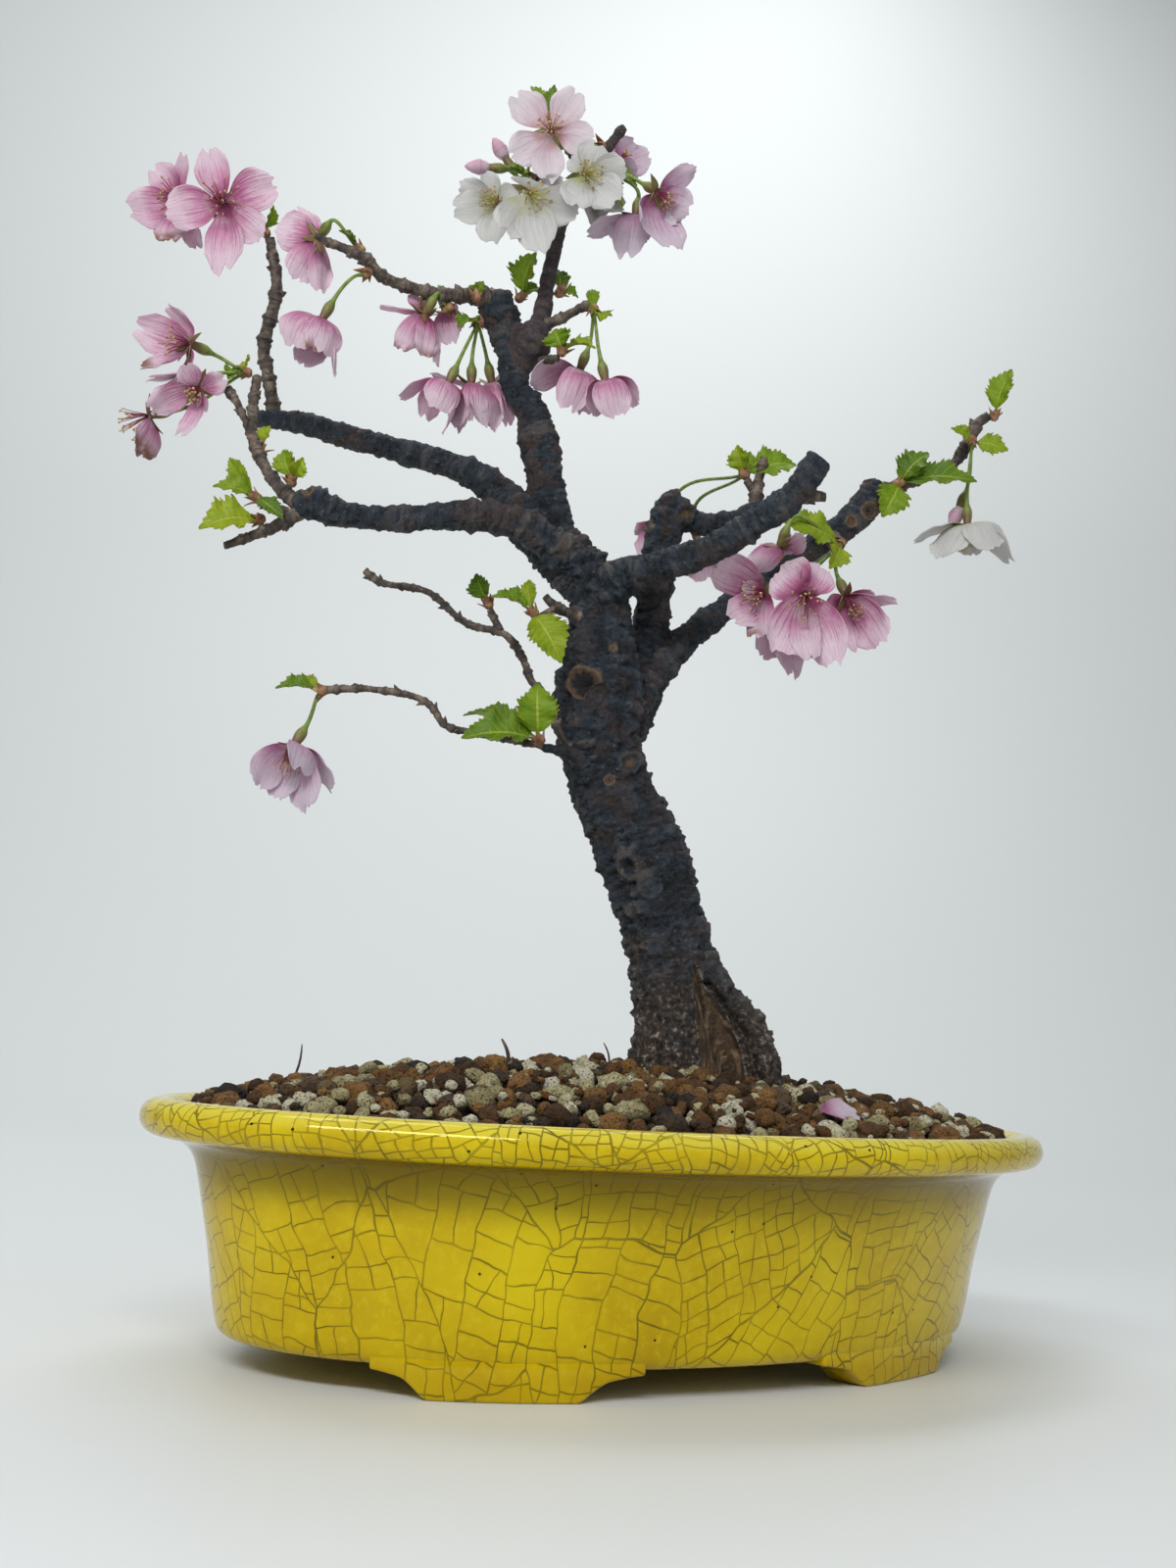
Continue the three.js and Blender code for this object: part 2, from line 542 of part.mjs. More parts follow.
// Blossoms on the sheet. `hub` is the throat, `face` is where it looks ([right, up, towards the
// eye]), `size` is a petal's length in millimetres, `rise` is how far the petals stand up from flat
// at the throat and at their tips, in degrees, `spin` turns the first petal from straight up, and
// `spur` is the spur whose stalk carries it. Blossoms with the same node grow into each other.
const BLOOMS = [
  { node: 'bloom_a1', colour: 'pink', hub: [230, 213, 0], face: [-0.1, 0, 1], size: 20.5,
    rise: [12, 2], spin: 20, spur: 'a', droop: 3 },
  { node: 'bloom_a2', colour: 'pink', hub: [175, 208, 12], face: [-0.6, -0.05, 0.75], size: 16.5,
    rise: [30, 15], spin: 10, spur: 'a', droop: 3 },
  { node: 'bloom_a3', colour: 'pink', hub: [325, 243, -12], face: [-0.75, -0.5, -0.35], size: 15.5,
    rise: [22, 12], spin: 30, spur: 'c', droop: 0 },
  { node: 'bloom_a4', colour: 'pink', hub: [333, 325, -20], face: [-0.3, -0.95, 0.05], size: 17,
    rise: [66, 74], spin: 0, spur: 'cLow', droop: 4 },
  { node: 'bloom_b1', colour: 'pink', hub: [187, 355, -24], face: [-0.68, -0.15, 0.7], size: 17.5,
    rise: [36, 28], spin: 20, spur: 'b', droop: 0 },
  { node: 'bloom_b2', colour: 'pink', hub: [206, 391, -28], face: [-0.2, -0.7, 0.65], size: 15.5,
    rise: [42, 26], spin: 40, spur: 'b', droop: 0 },
  { node: 'bloom_b3', colour: 'pink', hub: [143, 420, -24], face: [-0.35, -0.9, 0.25], size: 14,
    rise: [30, 22], spin: 0, spur: 'b', droop: 0, lost: [0, 1, 4] },
  { node: 'bloom_c1', colour: 'pink', hub: [432, 323, -6], face: [-0.45, -0.85, -0.2], size: 15,
    rise: [34, 30], spin: 20, spur: 'd', droop: 0 },
  { node: 'bloom_c2', colour: 'pink', hub: [459, 318, 8], face: [0.35, -0.9, -0.1], size: 12.5,
    rise: [48, 50], spin: 0, spur: 'd', droop: 0 },
  { node: 'bloom_d', colour: 'pink', hub: [459, 391, -6], face: [-0.3, -0.95, 0.15], size: 15,
    rise: [38, 24], spin: 15, spur: 'e', droop: 0 },
  { node: 'bloom_d', colour: 'pink', hub: [481, 392, 3], face: [0.05, -1, 0.05], size: 14.5,
    rise: [52, 58], spin: 50, spur: 'e', droop: 0 },
  { node: 'bloom_d', colour: 'pink', hub: [501, 391, 12], face: [0.25, -0.95, -0.1], size: 14.5,
    rise: [48, 50], spin: 0, spur: 'e', droop: 0 },
  { node: 'bloom_e1', colour: 'pink', hub: [592, 375, 3], face: [-0.45, -0.85, -0.15], size: 15.5,
    rise: [42, 36], spin: 0, spur: 'f', droop: 0 },
  { node: 'bloom_e2', colour: 'pink', hub: [621, 389, -6], face: [0.3, -0.92, 0.1], size: 14,
    rise: [50, 44], spin: 0, spur: 'f', droop: 0 },
  { node: 'bloom_f1', colour: 'white', hub: [562, 133, -14], face: [0, 0.12, 1], size: 15.5,
    rise: [8, 0], spin: 40, spur: 'g', droop: 5 },
  { node: 'bloom_f2', colour: 'white', hub: [541, 202, -14], face: [0, -0.5, 0.85], size: 15.5,
    rise: [18, 14], spin: 36, spur: 'i', droop: 3 },
  { node: 'bloom_f3', colour: 'white', hub: [506, 212, -4], face: [-0.45, -0.35, 0.8], size: 14.5,
    rise: [18, 10], spin: 20, spur: 'i', droop: 3 },
  { node: 'bloom_f4', colour: 'white', hub: [602, 179, -16], face: [0.25, -0.5, 0.85], size: 12.5,
    rise: [22, 10], spin: 0, spur: 'g', droop: 2 },
  { node: 'bloom_f5', colour: 'white', hub: [607, 193, 8], face: [0.1, -0.95, 0.1], size: 13,
    rise: [45, 50], spin: 30, spur: 'h', droop: 0 },
  { node: 'bloom_f6', colour: 'pink', hub: [638, 163, 16], face: [0.65, 0.35, -0.3], size: 12,
    rise: [30, 5], spin: 20, spur: 'h', droop: 2 },
  { node: 'bloom_f7', colour: 'pink', hub: [675, 198, -8], face: [0.45, -0.75, 0.45], size: 16,
    rise: [34, 20], spin: 10, spur: 'h', droop: 2 },
  { node: 'bloom_f8', colour: 'pink', hub: [642, 223, 2], face: [-0.1, -0.95, 0.1], size: 14.5,
    rise: [30, 36], spin: 0, spur: 'h', droop: 0 },
  { node: 'bloom_g1', colour: 'pink', hub: [783, 605, -10], face: [-0.6, -0.35, 0.7], size: 16,
    rise: [26, 16], spin: -30, spur: 'k', droop: 0 },
  { node: 'bloom_g1', colour: 'pink', hub: [822, 608, -14], face: [-0.05, -0.6, 0.8], size: 17.5,
    rise: [34, 20], spin: 5, spur: 'k', droop: 0 },
  { node: 'bloom_g3', colour: 'pink', hub: [859, 619, -4], face: [0.35, -0.9, 0.3], size: 16,
    rise: [30, 26], spin: 0, spur: 'k', droop: 0 },
  { node: 'bloom_g6', colour: 'pink', hub: [812, 628, 4], face: [0, -0.98, 0.15], size: 15,
    rise: [40, 42], spin: 0, spur: 'k', droop: 0 },
  { node: 'bloom_g4', colour: 'pink', hub: [790, 556, -2], face: [-0.35, -0.75, -0.3], size: 14,
    rise: [24, 10], spin: 0, spur: 'k', droop: 0 },
  { node: 'bloom_g5', colour: 'pink', hub: [672, 540, 34], face: [-0.3, -0.85, 0], size: 13,
    rise: [34, 36], spin: 0, spur: 'l', droop: 1 },
  { node: 'bloom_g7', colour: 'pink', hub: [712, 555, 30], face: [0.2, -0.95, 0.05], size: 12.5,
    rise: [40, 40], spin: 0, spur: 'l', droop: 0 },
  { node: 'bloom_h1', colour: 'white', hub: [989, 534, 26], face: [0.02, -1, 0.06], size: 18.5,
    rise: [16, 32], spin: 12, spur: 'm', droop: 0 },
  { node: 'bloom_i1', colour: 'pink', hub: [298, 758, -34], face: [0.02, -0.97, 0.2], size: 18.5,
    rise: [46, 48], spin: 10, spur: 'p', droop: 2 },
];

// The front's three directions at a blossom: where it looks, and a cross of two others.
function bloomFrame({ hub, face, spin }) {
  const ahead = heading(face);
  const up = heading([0, 1, 0.001]);
  const top = up.addScaledVector(ahead, -up.dot(ahead)).normalize();
  top.applyAxisAngle(ahead, THREE.MathUtils.degToRad(spin));
  return { centre: spot(hub), ahead, top, side: top.clone().cross(ahead) };
}

const inFrame = ({ centre, ahead, top, side }, radius, angle, height) =>
  centre.clone().addScaledVector(top, radius * Math.cos(angle))
    .addScaledVector(side, radius * Math.sin(angle)).addScaledVector(ahead, height);

// How far out and how high a petal's midline is, and its slope, at a distance along it.
function petalLine(rise, length, distance) {
  const slope = (s) => THREE.MathUtils.degToRad(rise[0] + (rise[1] - rise[0]) * (s / length));
  const steps = 6;
  let radius = 0;
  let height = 0;
  for (let i = 0; i < steps; i += 1) {
    const s = ((i + 0.5) / steps) * distance;
    radius += Math.cos(slope(s)) * (distance / steps);
    height += Math.sin(slope(s)) * (distance / steps);
  }
  return { radius, height, slope: slope(distance) };
}

const fifth = (2 * Math.PI) / 5;

const hubHalf = ({ rise }, grow) =>
  (BLADE / 2 + grow) / Math.cos(THREE.MathUtils.degToRad(Math.min(rise[0], 60)));

// Five notched petals with a tuft of stamens, in one body. `grow` fattens it for clearance cuts.
function corolla(bloom, seed, grow = 0) {
  const random = randomStream(seed);
  const frame = bloomFrame(bloom);
  const front = [];               // the places of the upper face
  const back = [];                // the same places on the lower face
  const add = (rise, length, distance, angle, lift = 0) => {
    const { radius, height, slope } = petalLine(rise, length, distance);
    const out = inFrame(frame, 1, angle, 0).sub(frame.centre);
    const normal = frame.ahead.clone().multiplyScalar(Math.cos(slope))
      .addScaledVector(out, -Math.sin(slope));
    const middle = inFrame(frame, radius, angle, height).addScaledVector(normal, lift);
    front.push(middle.clone().addScaledVector(normal, BLADE / 2 + grow));
    back.push(middle.addScaledVector(normal, -BLADE / 2 - grow));
    return front.length - 1;
  };
  const hubDepth = hubHalf(bloom, grow);
  front.push(inFrame(frame, 0, 0, hubDepth + STAMENS.length + grow));
  back.push(inFrame(frame, 0, 0, -hubDepth));
  const valleys = [0, 1, 2, 3, 4].map((i) =>
    add(bloom.rise, bloom.size, PETAL.hub, (i - 0.5) * fifth));
  const tuft = [0, 1, 2, 3, 4].map((i) =>
    add(bloom.rise, bloom.size, STAMENS.radius + grow, (i - 0.5) * fifth));
  const upper = [];
  const lower = [];
  const outline = [];
  for (let i = 0; i < 5; i += 1) {
    const length = bloom.size * (PETAL.shortest + PETAL.vary * random()) + grow;
    const rise = [bloom.rise[0], bloom.rise[1] + (random() - 0.5) * PETAL.waver];
    const [first, next] = [valleys[i], valleys[(i + 1) % 5]];
    const [tuftA, tuftB] = [tuft[i], tuft[(i + 1) % 5]];
    upper.push([0, tuftA, tuftB]);
    outline.push(first);
    if (bloom.lost?.includes(i)) {
      upper.push([tuftA, first, next], [tuftA, next, tuftB]);
      lower.push([0, first, next]);
      continue;
    }
    const middle = i * fifth;
    const swing = (distance, half) => {
      const { radius } = petalLine(rise, length, distance);
      return Math.min(half / radius, fifth / 2 - PETAL.gap);
    };
    const wide = swing(length * PETAL.widest, length * PETAL.halfWidth + grow);
    const lobe = swing(length * PETAL.lobe, length * PETAL.lobeHalf + grow);
    const wideA = add(rise, length, length * PETAL.widest, middle - wide);
    const lobeA = add(rise, length, length * PETAL.lobe, middle - lobe);
    const notch = add(rise, length, length * PETAL.notch, middle, -PETAL.dip * length);
    const lobeB = add(rise, length, length * PETAL.lobe, middle + lobe);
    const wideB = add(rise, length, length * PETAL.widest, middle + wide);
    const tips = [[wideA, lobeA, notch], [notch, lobeB, wideB]];
    upper.push([tuftA, first, wideA], [tuftA, wideA, notch], [tuftA, notch, tuftB],
      [tuftB, notch, wideB], [tuftB, wideB, next], ...tips);
    lower.push([0, first, wideA], [0, wideA, notch], [0, notch, wideB], [0, wideB, next], ...tips);
    outline.push(wideA, lobeA, notch, lobeB, wideB);
  }
  return shell(front, back, upper, lower, outline);
}

// ---------------------------------------------------------------- leafy spurs

// Leaf spurs on the sheet. `at` is the bud that the spur grew from. Each leaf is
// [tip, width in millimetres, upper face as [right, up, towards the eye], fold in degrees].
const SPURS = {
  a: { at: [273, 240, 0], leaves: [[[279, 210, -2], 5, [0.9, 0.1, 0.4], 20]] },
  b: { at: [258, 381, -17], leaves: [[[233, 387, -20], 9, [-0.1, 0.8, 0.6], 25],
    [[252, 366, -14], 6, [-0.6, 0.4, 0.5], 20]] },
  c: { at: [366, 254, -12], leaves: [[[346, 236, -16], 5, [-0.1, 0.8, 0.6], 30]] },
  cLow: { at: [377, 276, -13], leaves: [] },
  d: { at: [461, 312, -2], leaves: [] },
  e: { at: [488, 329, 2], leaves: [[[468, 330, -4], 9, [-0.3, 0.5, 0.8], 20]] },
  f: { at: [605, 309, -2], leaves: [[[613, 326, -6], 8, [0.5, 0.2, 0.8], 25],
    [[604, 294, 0], 4, [0, 0, 1], 30]] },
  g: { at: [618, 148, -3], leaves: [] },
  h: { at: [606, 169, 3.2], leaves: [[[650, 188, -2], 7, [0.3, 0.6, 0.7], 20],
    [[636, 208, 2], 6, [0.6, -0.2, 0.7], 25]] },
  i: { at: [546, 182, 5], leaves: [[[518, 172, 2], 7, [0, 0.8, 0.6], 30],
    [[544, 164, -3], 6, [-0.3, 0.3, 0.9], 20]] },
  j: { at: [561, 127, 9], leaves: [[[543, 86, 10], 5, [0.3, 0, 0.9], 25],
    [[566, 88, 8], 5, [-0.2, 0.1, 0.9], 20]] },
  k: { at: [857, 555, 8], leaves: [[[786, 527, -6], 9, [-0.2, 0.8, 0.5], 35],
    [[846, 580, 0], 8, [0.2, -0.3, 0.9], 25]] },
  l: { at: [760, 484, 3], leaves: [[[752, 455, 0], 7, [-0.5, 0, 0.9], 30],
    [[766, 461, 4], 5, [0.4, 0.1, 0.9], 20]] },
  m: { at: [992, 451, 23.3], leaves: [[[1028, 459, 22], 7.6, [0.1, 0.2, 1], 10],
    [[973, 436, 18], 5, [-0.2, 0.3, 0.9], 20]] },
  n: { at: [1014, 426, 25], leaves: [[[1032, 377, 22], 8.5, [-0.5, 0.2, 0.8], 30]] },
  o: { at: [918, 493, 25.5], leaves: [[[947, 463, 24], 9, [-0.6, 0.3, 0.7], 20],
    [[996, 490, 22], 9, [0, 0.8, 0.7], 30], [[903, 522, 22], 9, [0.3, 0.5, 0.8], 15]] },
  p: { at: [334, 704, -32], leaves: [[[282, 701, -36], 6, [0, 0.7, 0.7], 35],
    [[308, 690, -30], 4, [0.2, 0.2, 0.9], 20]] },
  q: { at: [550, 755, -23], leaves: [[[471, 752, -30], 13, [0.1, 0.7, 0.8], 25],
    [[474, 722, -16], 9, [0.3, 0.6, 0.6], 25], [[548, 697, -24], 12, [0, 0.1, 1], 20]] },
  r: { at: [500, 621, 6], leaves: [[[486, 586, 4], 7, [-0.4, 0.1, 0.9], 35]] },
  s: { at: [551, 629, -14], leaves: [[[503, 606, -18], 9, [0, 0.8, 0.6], 25],
    [[573, 674, -18], 12, [0.1, 0.3, 1], 20], [[538, 590, -10], 5, [-0.2, 0, 0.9], 20]] },
  t: { at: [297, 499, -24], leaves: [[[289, 459, -24], 7, [-0.3, 0, 0.9], 30],
    [[309, 468, -28], 5, [0.4, 0, 0.9], 35]] },
  u: { at: [268, 512, -27], leaves: [[[219, 494, -32], 11, [0, 0.5, 0.9], 20],
    [[232, 469, -24], 8, [-0.3, 0.2, 0.9], 30], [[288, 530, -33], 6, [0.3, 0.3, 0.9], 20]] },
  v: { at: [263, 530, -28], leaves: [[[204, 535, -36], 15, [0, 0.4, 0.9], 25]] },
  z: { at: [527, 308, 6], leaves: [[[548, 258, 2], 11, [-0.6, 0.1, 0.8], 25],
    [[553, 293, 10], 7, [0.1, 0.6, 0.8], 25]] },
  y: { at: [568, 301, 4], leaves: [[[569, 276, 8], 6, [0.3, 0, 0.9], 25],
    [[590, 302, 6], 6, [0.2, 0.6, 0.8], 25]] },
  x: { at: [570, 365, -4], leaves: [[[566, 336, -6], 9, [-0.3, 0, 0.9], 20],
    [[606, 351, -10], 8, [0.1, 0.8, 0.6], 25]] },
};

// Closed buds on stalks of their own: [spur, tip of the bud, where it points].
const CLOSED_BUDS = [
  { spur: 'i', hub: [497, 171, 0], face: [-0.95, -0.1, 0.2] },
  { spur: 'i', hub: [515, 160, 6], face: [-0.5, 0.7, 0.1] },
  { spur: 'm', hub: [978, 520, 30], face: [-0.35, -0.95, 0.1] },
];

// A leaf with a toothed edge: a folded, arched blade from the bud to its tip.
function leaf(seat, [tip, width, face, fold], grow = 0) {
  const end = spot(tip);
  const along = end.clone().sub(seat).normalize();
  const base = seat.clone().addScaledVector(along, ROOT_SUNK);
  const length = end.distanceTo(base) + grow;
  const up = heading(face);
  up.addScaledVector(along, -up.dot(along)).normalize();
  const side = along.clone().cross(up);
  const slope = THREE.MathUtils.degToRad(fold);
  const teeth = width > LEAF.threeTeeth ? 3 : 2;
  const points = [];
  const place = (t, out) => {
    const arch = LEAF.arch * length * Math.sin(Math.PI * t);
    points.push(base.clone().addScaledVector(along, t * length)
      .addScaledVector(side, out).addScaledVector(up, arch + Math.abs(out) * Math.tan(slope)));
    return points.length - 1;
  };
  const halfWidth = (t) => (width / 2) * Math.sin(Math.PI * Math.min(0.06 + t * 0.92, 1) ** 0.8);
  const ribs = Array.from({ length: teeth }, (_, k) => place(k / teeth, 0));
  const point = place(1, 0);
  const edges = [1, -1].map((hand) => {
    const edge = [ribs[0]];
    for (let k = 0; k < teeth; k += 1) {
      const [valley, tooth] = [k / teeth, (k + LEAF.toothAt) / teeth];
      if (k > 0) edge.push(place(valley, hand * (halfWidth(valley) * LEAF.valley + grow)));
      edge.push(place(tooth, hand * (halfWidth(tooth) * LEAF.tooth + grow)));
    }
    return [...edge, point];
  });
  const triangles = [];
  edges.forEach((edge, left) => {
    const add = (a, b, c) => triangles.push(left ? [a, c, b] : [a, b, c]);
    for (let k = 0; k < teeth; k += 1) {
      const [valley, tooth, nextValley] = edge.slice(2 * k, 2 * k + 3);
      const nextRib = ribs[k + 1] ?? point;
      if (k > 0) add(ribs[k], nextRib, valley);
      if (nextValley !== point) add(valley, nextRib, nextValley);
      add(valley, nextValley, tooth);
    }
  });
  const outline = [...edges[1].slice(0, -1), ...[...edges[0]].reverse().slice(0, -1)];
  return blade(points, up, BLADE / 2 / Math.cos(slope) + grow, triangles, outline);
}

// A flower stalk with its calyx, in one body: a five-sided bar along a smooth curve that swells
// into the calyx and opens in five sepals just under the petals. A closed bud has a blunt tip.
function stalk(from, bloom, grow = 0, closed = false) {
  const frame = bloomFrame({ spin: 0, ...bloom });
  const { ahead } = frame;
  const seat = closed ? 0 : -hubHalf(bloom, 0) - CALYX.seatGap;
  const base = frame.centre.clone().addScaledVector(ahead, seat - CALYX.length);
  const start = from.clone().addScaledVector(base.clone().sub(from).normalize(), ROOT_SUNK);
  const reach = start.distanceTo(base);
  const droop = heading([0, 1, 0]).multiplyScalar(bloom.droop ?? 0);
  const curve = new THREE.CubicBezierCurve3(start, start.clone().lerp(base, 0.33).add(droop),
    base.clone().addScaledVector(ahead, -0.4 * reach), base);
  const rings = (reach > SHORT_STALK ? [0, 0.5, 1] : [0, 1]).map((u) => ({
    centre: curve.getPoint(u),
    radius: THREE.MathUtils.lerp(CALYX.stalk, CALYX.stalkTop, u),
    along: curve.getTangent(Math.max(u, 0.05)),
  }));
  rings.push({
    centre: base.clone().addScaledVector(ahead, CALYX.length * CALYX.bellyAt),
    radius: CALYX.belly,
    along: ahead,
  });
  let across = frame.top.clone();
  for (const ring of [...rings].reverse()) {
    across = across.clone().addScaledVector(ring.along, -across.dot(ring.along)).normalize();
    ring.across = across;
    ring.side = across.clone().cross(ring.along);
  }
  const points = [];
  const corners = [];
  rings.forEach(({ centre, radius, across: a, side }, row) => {
    for (let k = 0; k < 5; k += 1) {
      const r = radius + grow;
      points.push(centre.clone().addScaledVector(a, r * Math.cos(k * fifth))
        .addScaledVector(side, r * Math.sin(k * fifth)));
      if (row > 0) {
        const [here, next] = [row * 5 + k, row * 5 + ((k + 1) % 5)];
        corners.push(here - 5, here, next - 5, next - 5, here, next);
      }
    }
  });
  corners.push(0, 1, 2, 0, 2, 3, 0, 3, 4);
  const belly = 5 * (rings.length - 1);
  const mouth = belly + 5;
  const tips = mouth + 5;
  const slope = closed ? 0 : Math.max(THREE.MathUtils.degToRad(bloom.rise[0]) - CALYX.sepalDrop, 0);
  const rims = closed
    ? [[CLOSED_BUD.neck, CLOSED_BUD.neckAt], [CLOSED_BUD.shoulder, CLOSED_BUD.shoulderAt]]
    : [[CALYX.neck, seat], [CALYX.sepal * Math.cos(slope), seat + CALYX.sepal * Math.sin(slope) - 0.3]];
  rims.forEach(([radius, height], row) => {
    for (let k = 0; k < 5; k += 1) {
      points.push(inFrame(frame, radius + grow, (k + row / 2) * fifth, height));
    }
  });
  points.push(inFrame(frame, 0, 0, (closed ? CLOSED_BUD.tip : seat) + grow));
  const top = points.length - 1;
  for (let k = 0; k < 5; k += 1) {
    const l = (k + 1) % 5;
    corners.push(belly + k, tips + k, belly + l);
    corners.push(belly + k, mouth + k, tips + k);
    corners.push(belly + l, tips + k, mouth + l);
    corners.push(top, tips + k, mouth + k);
    corners.push(top, mouth + l, tips + k);
  }
  return toSolid(meshGeometry(points, corners));
}

// The scales of a bud, round which a spur's leaves and stalks stand.
function budScales(seat, radius) {
  const scales = new THREE.OctahedronGeometry(radius, 0);
  scales.translate(seat.x, seat.y, seat.z);
  return toSolid(withSharedVertices(scales));
}

const stalksOf = (name) => [
  ...BLOOMS.filter((bloom) => bloom.spur === name).map((bloom) => ({ bloom, closed: false })),
  ...CLOSED_BUDS.filter((bud) => bud.spur === name).map((bud) => ({ bloom: bud, closed: true })),
];

// Where a spur's bud sits: from its place on the twig it is moved the way its leaves and stalks go
// until it stands clear of the wood.
function seatOf(name, woodRoom) {
  const { at, leaves, scales = BUD_SCALES } = SPURS[name];
  const start = spot(at);
  const outward = new THREE.Vector3();
  const ends = [...leaves.map(([tip]) => tip), ...stalksOf(name).map(({ bloom }) => bloom.hub)];
  ends.forEach((end) => outward.add(spot(end).sub(start).normalize()));
  outward.normalize();
  const isClear = (seat) => budScales(seat, scales).intersect(woodRoom).isEmpty();
  const seat = start.clone();
  while (!isClear(seat)) seat.addScaledVector(outward, CLEARANCE);
  return seat;
}

function spur(name, seat, grow = 0) {
  const { leaves, scales = BUD_SCALES } = SPURS[name];
  return join([
    budScales(seat, scales + grow),
    ...leaves.map((shape) => leaf(seat, shape, grow)),
    ...stalksOf(name).map(({ bloom, closed }) => stalk(seat, bloom, grow, closed)),
  ]);
}

// ---------------------------------------------------------------- fallen petal

const FALLEN_PETAL = { at: [855, 1143, -40], length: 10, halfWidth: 4.2, up: 1.5, cupped: 0.8 };
const FALLEN_OUTLINE = [              // along and across the petal, from -1 to 1
  [-1, 0], [-0.3, -0.9], [0.6, -1], [1, -0.4], [0.85, 0], [1, 0.4], [0.6, 1], [-0.3, 0.9],
];

function makeFallenPetal(soil) {
  const middle = spot(FALLEN_PETAL.at);
  const bed = moundHeight(Math.hypot(middle.x / MOUND.a, middle.y / MOUND.b)) + FALLEN_PETAL.up;
  const points = [[0, 0], ...FALLEN_OUTLINE].map(([u, v]) => new THREE.Vector3(
    middle.x + (u * FALLEN_PETAL.length) / 2,
    middle.y + v * FALLEN_PETAL.halfWidth,
    bed + FALLEN_PETAL.cupped * v * v,
  ));
  const outline = FALLEN_OUTLINE.map((_, i) => i + 1);
  const triangles = outline.map((a, i) => [0, a, outline[(i + 1) % outline.length]]);
  const petal = blade(points, new THREE.Vector3(0, 0, 1), BLADE / 2, triangles, outline);
  return petal.subtract(soil.translate([0, 0, CLEARANCE]));
}

// ---------------------------------------------------------------- the whole object

const object = new THREE.Group();
const bonsai = new THREE.Group();
bonsai.position.set(POT_CENTRE.x, POT_CENTRE.y, 0);
object.add(bonsai);
const place = (name, solid, material) => bonsai.add(toMesh(name, solid, MATERIALS[material]));

place('pot', makePot(), 'glaze');
place('drain_screen_left', makeScreen(-1), 'plastic');
place('drain_screen_right', makeScreen(1), 'plastic');

const wood = join(LIMB_NAMES.map((name) => limbSolid(name, 0)));
const stumpRoom = join(ROOTS.map((name) => limbSolid(name, GRIT_GAP)));
const soil = largestBody(
  makeMound().subtract(stumpRoom).subtract(screenPocket(-1)).subtract(screenPocket(1)),
);
place('soil', soil, 'grit');
place('wood', wood, 'bark');
place('fallen_petal', largestBody(makeFallenPetal(soil)), 'pink');

// Each piece of the crown is cut clear of the pieces placed before it: the wood first, then the
// spurs, then the blossoms.
const woodRoom = join(LIMB_NAMES.map((name) => limbSolid(name, CLEARANCE)));
const rooms = [];

const apart = (a, b) => {
  const [p, q] = [a.boundingBox(), b.boundingBox()];
  return [0, 1, 2].some((k) => p.min[k] > q.max[k] || q.min[k] > p.max[k]);
};

function clearOfOthers(solid) {
  return rooms.filter((room) => !apart(room, solid))
    .reduce((left, room) => left.subtract(room), solid.subtract(woodRoom));
}

for (const name of Object.keys(SPURS)) {
  const seat = seatOf(name, woodRoom);
  place(`spur_${name}`, largestBody(clearOfOthers(spur(name, seat))), 'leaf');
  rooms.push(spur(name, seat, CLEARANCE));
}

const bloomNodes = [...new Set(BLOOMS.map((bloom) => bloom.node))];
for (const node of bloomNodes) {
  const members = BLOOMS.map((bloom, i) => ({ bloom, seed: SEEDS.blooms + i }))
    .filter(({ bloom }) => bloom.node === node);
  const grown = (room) => join(members.map(({ bloom, seed }) => corolla(bloom, seed, room)));
  place(node, largestBody(clearOfOthers(grown(0))), members[0].bloom.colour);
  rooms.push(grown(CLEARANCE));
}

export default object;
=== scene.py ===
# %% [markdown]
# # A flowering cherry bonsai in a crackled yellow pot
# This lesson dresses a plain solid model of a small cherry tree. The solids say where each
# piece is; here each of them is modelled again with its real surface: the glaze and its fine
# cracks, the grit, the wrinkled bark, and petals and leaves as thin as they really are.
# We start by loading the solids.

# %% Load the frame
import math
import random
from itertools import product

import bpy
import numpy as np
from mathutils import Matrix, Vector


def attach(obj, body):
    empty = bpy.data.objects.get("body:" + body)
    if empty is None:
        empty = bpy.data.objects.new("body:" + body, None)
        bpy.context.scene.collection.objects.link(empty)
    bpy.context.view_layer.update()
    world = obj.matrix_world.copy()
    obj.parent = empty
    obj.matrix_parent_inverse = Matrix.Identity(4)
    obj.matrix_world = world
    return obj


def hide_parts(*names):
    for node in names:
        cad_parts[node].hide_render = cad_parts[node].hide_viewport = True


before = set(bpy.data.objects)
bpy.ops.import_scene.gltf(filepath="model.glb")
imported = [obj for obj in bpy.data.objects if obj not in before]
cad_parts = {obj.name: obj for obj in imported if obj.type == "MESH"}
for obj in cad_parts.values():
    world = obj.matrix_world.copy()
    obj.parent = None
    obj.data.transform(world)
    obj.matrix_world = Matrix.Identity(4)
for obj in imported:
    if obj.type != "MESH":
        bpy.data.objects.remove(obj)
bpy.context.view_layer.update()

# %% [markdown]
# ## Working sizes
# Growers measure a small tree in millimetres, while Blender counts in metres, so all sizes in
# this lesson are in millimetres from the middle of the pot's base, and only `metres` turns
# them into Blender's units. The tree was drawn from its front, so the lists of limbs and
# flowers further down are written as they are on that drawing: across, down, and how far
# behind the trunk. `spot` finds the place in the pot for such an entry.

# %% Places on the drawing
POT_MIDDLE = np.array([5.7, -6.4, 0.0])
EYE = np.array([-17.4, -511.9, 89.1])
EYE_UPWARD, EYE_ROLL = math.radians(8.886), math.radians(3.328)
FRONT_TURN = math.radians(28.98)
SHEET_ACROSS, SHEET_DOWN, SHEET_DISTANCE, SHEET_TALL, FILM = 600, 800, 1700, 1600, 36

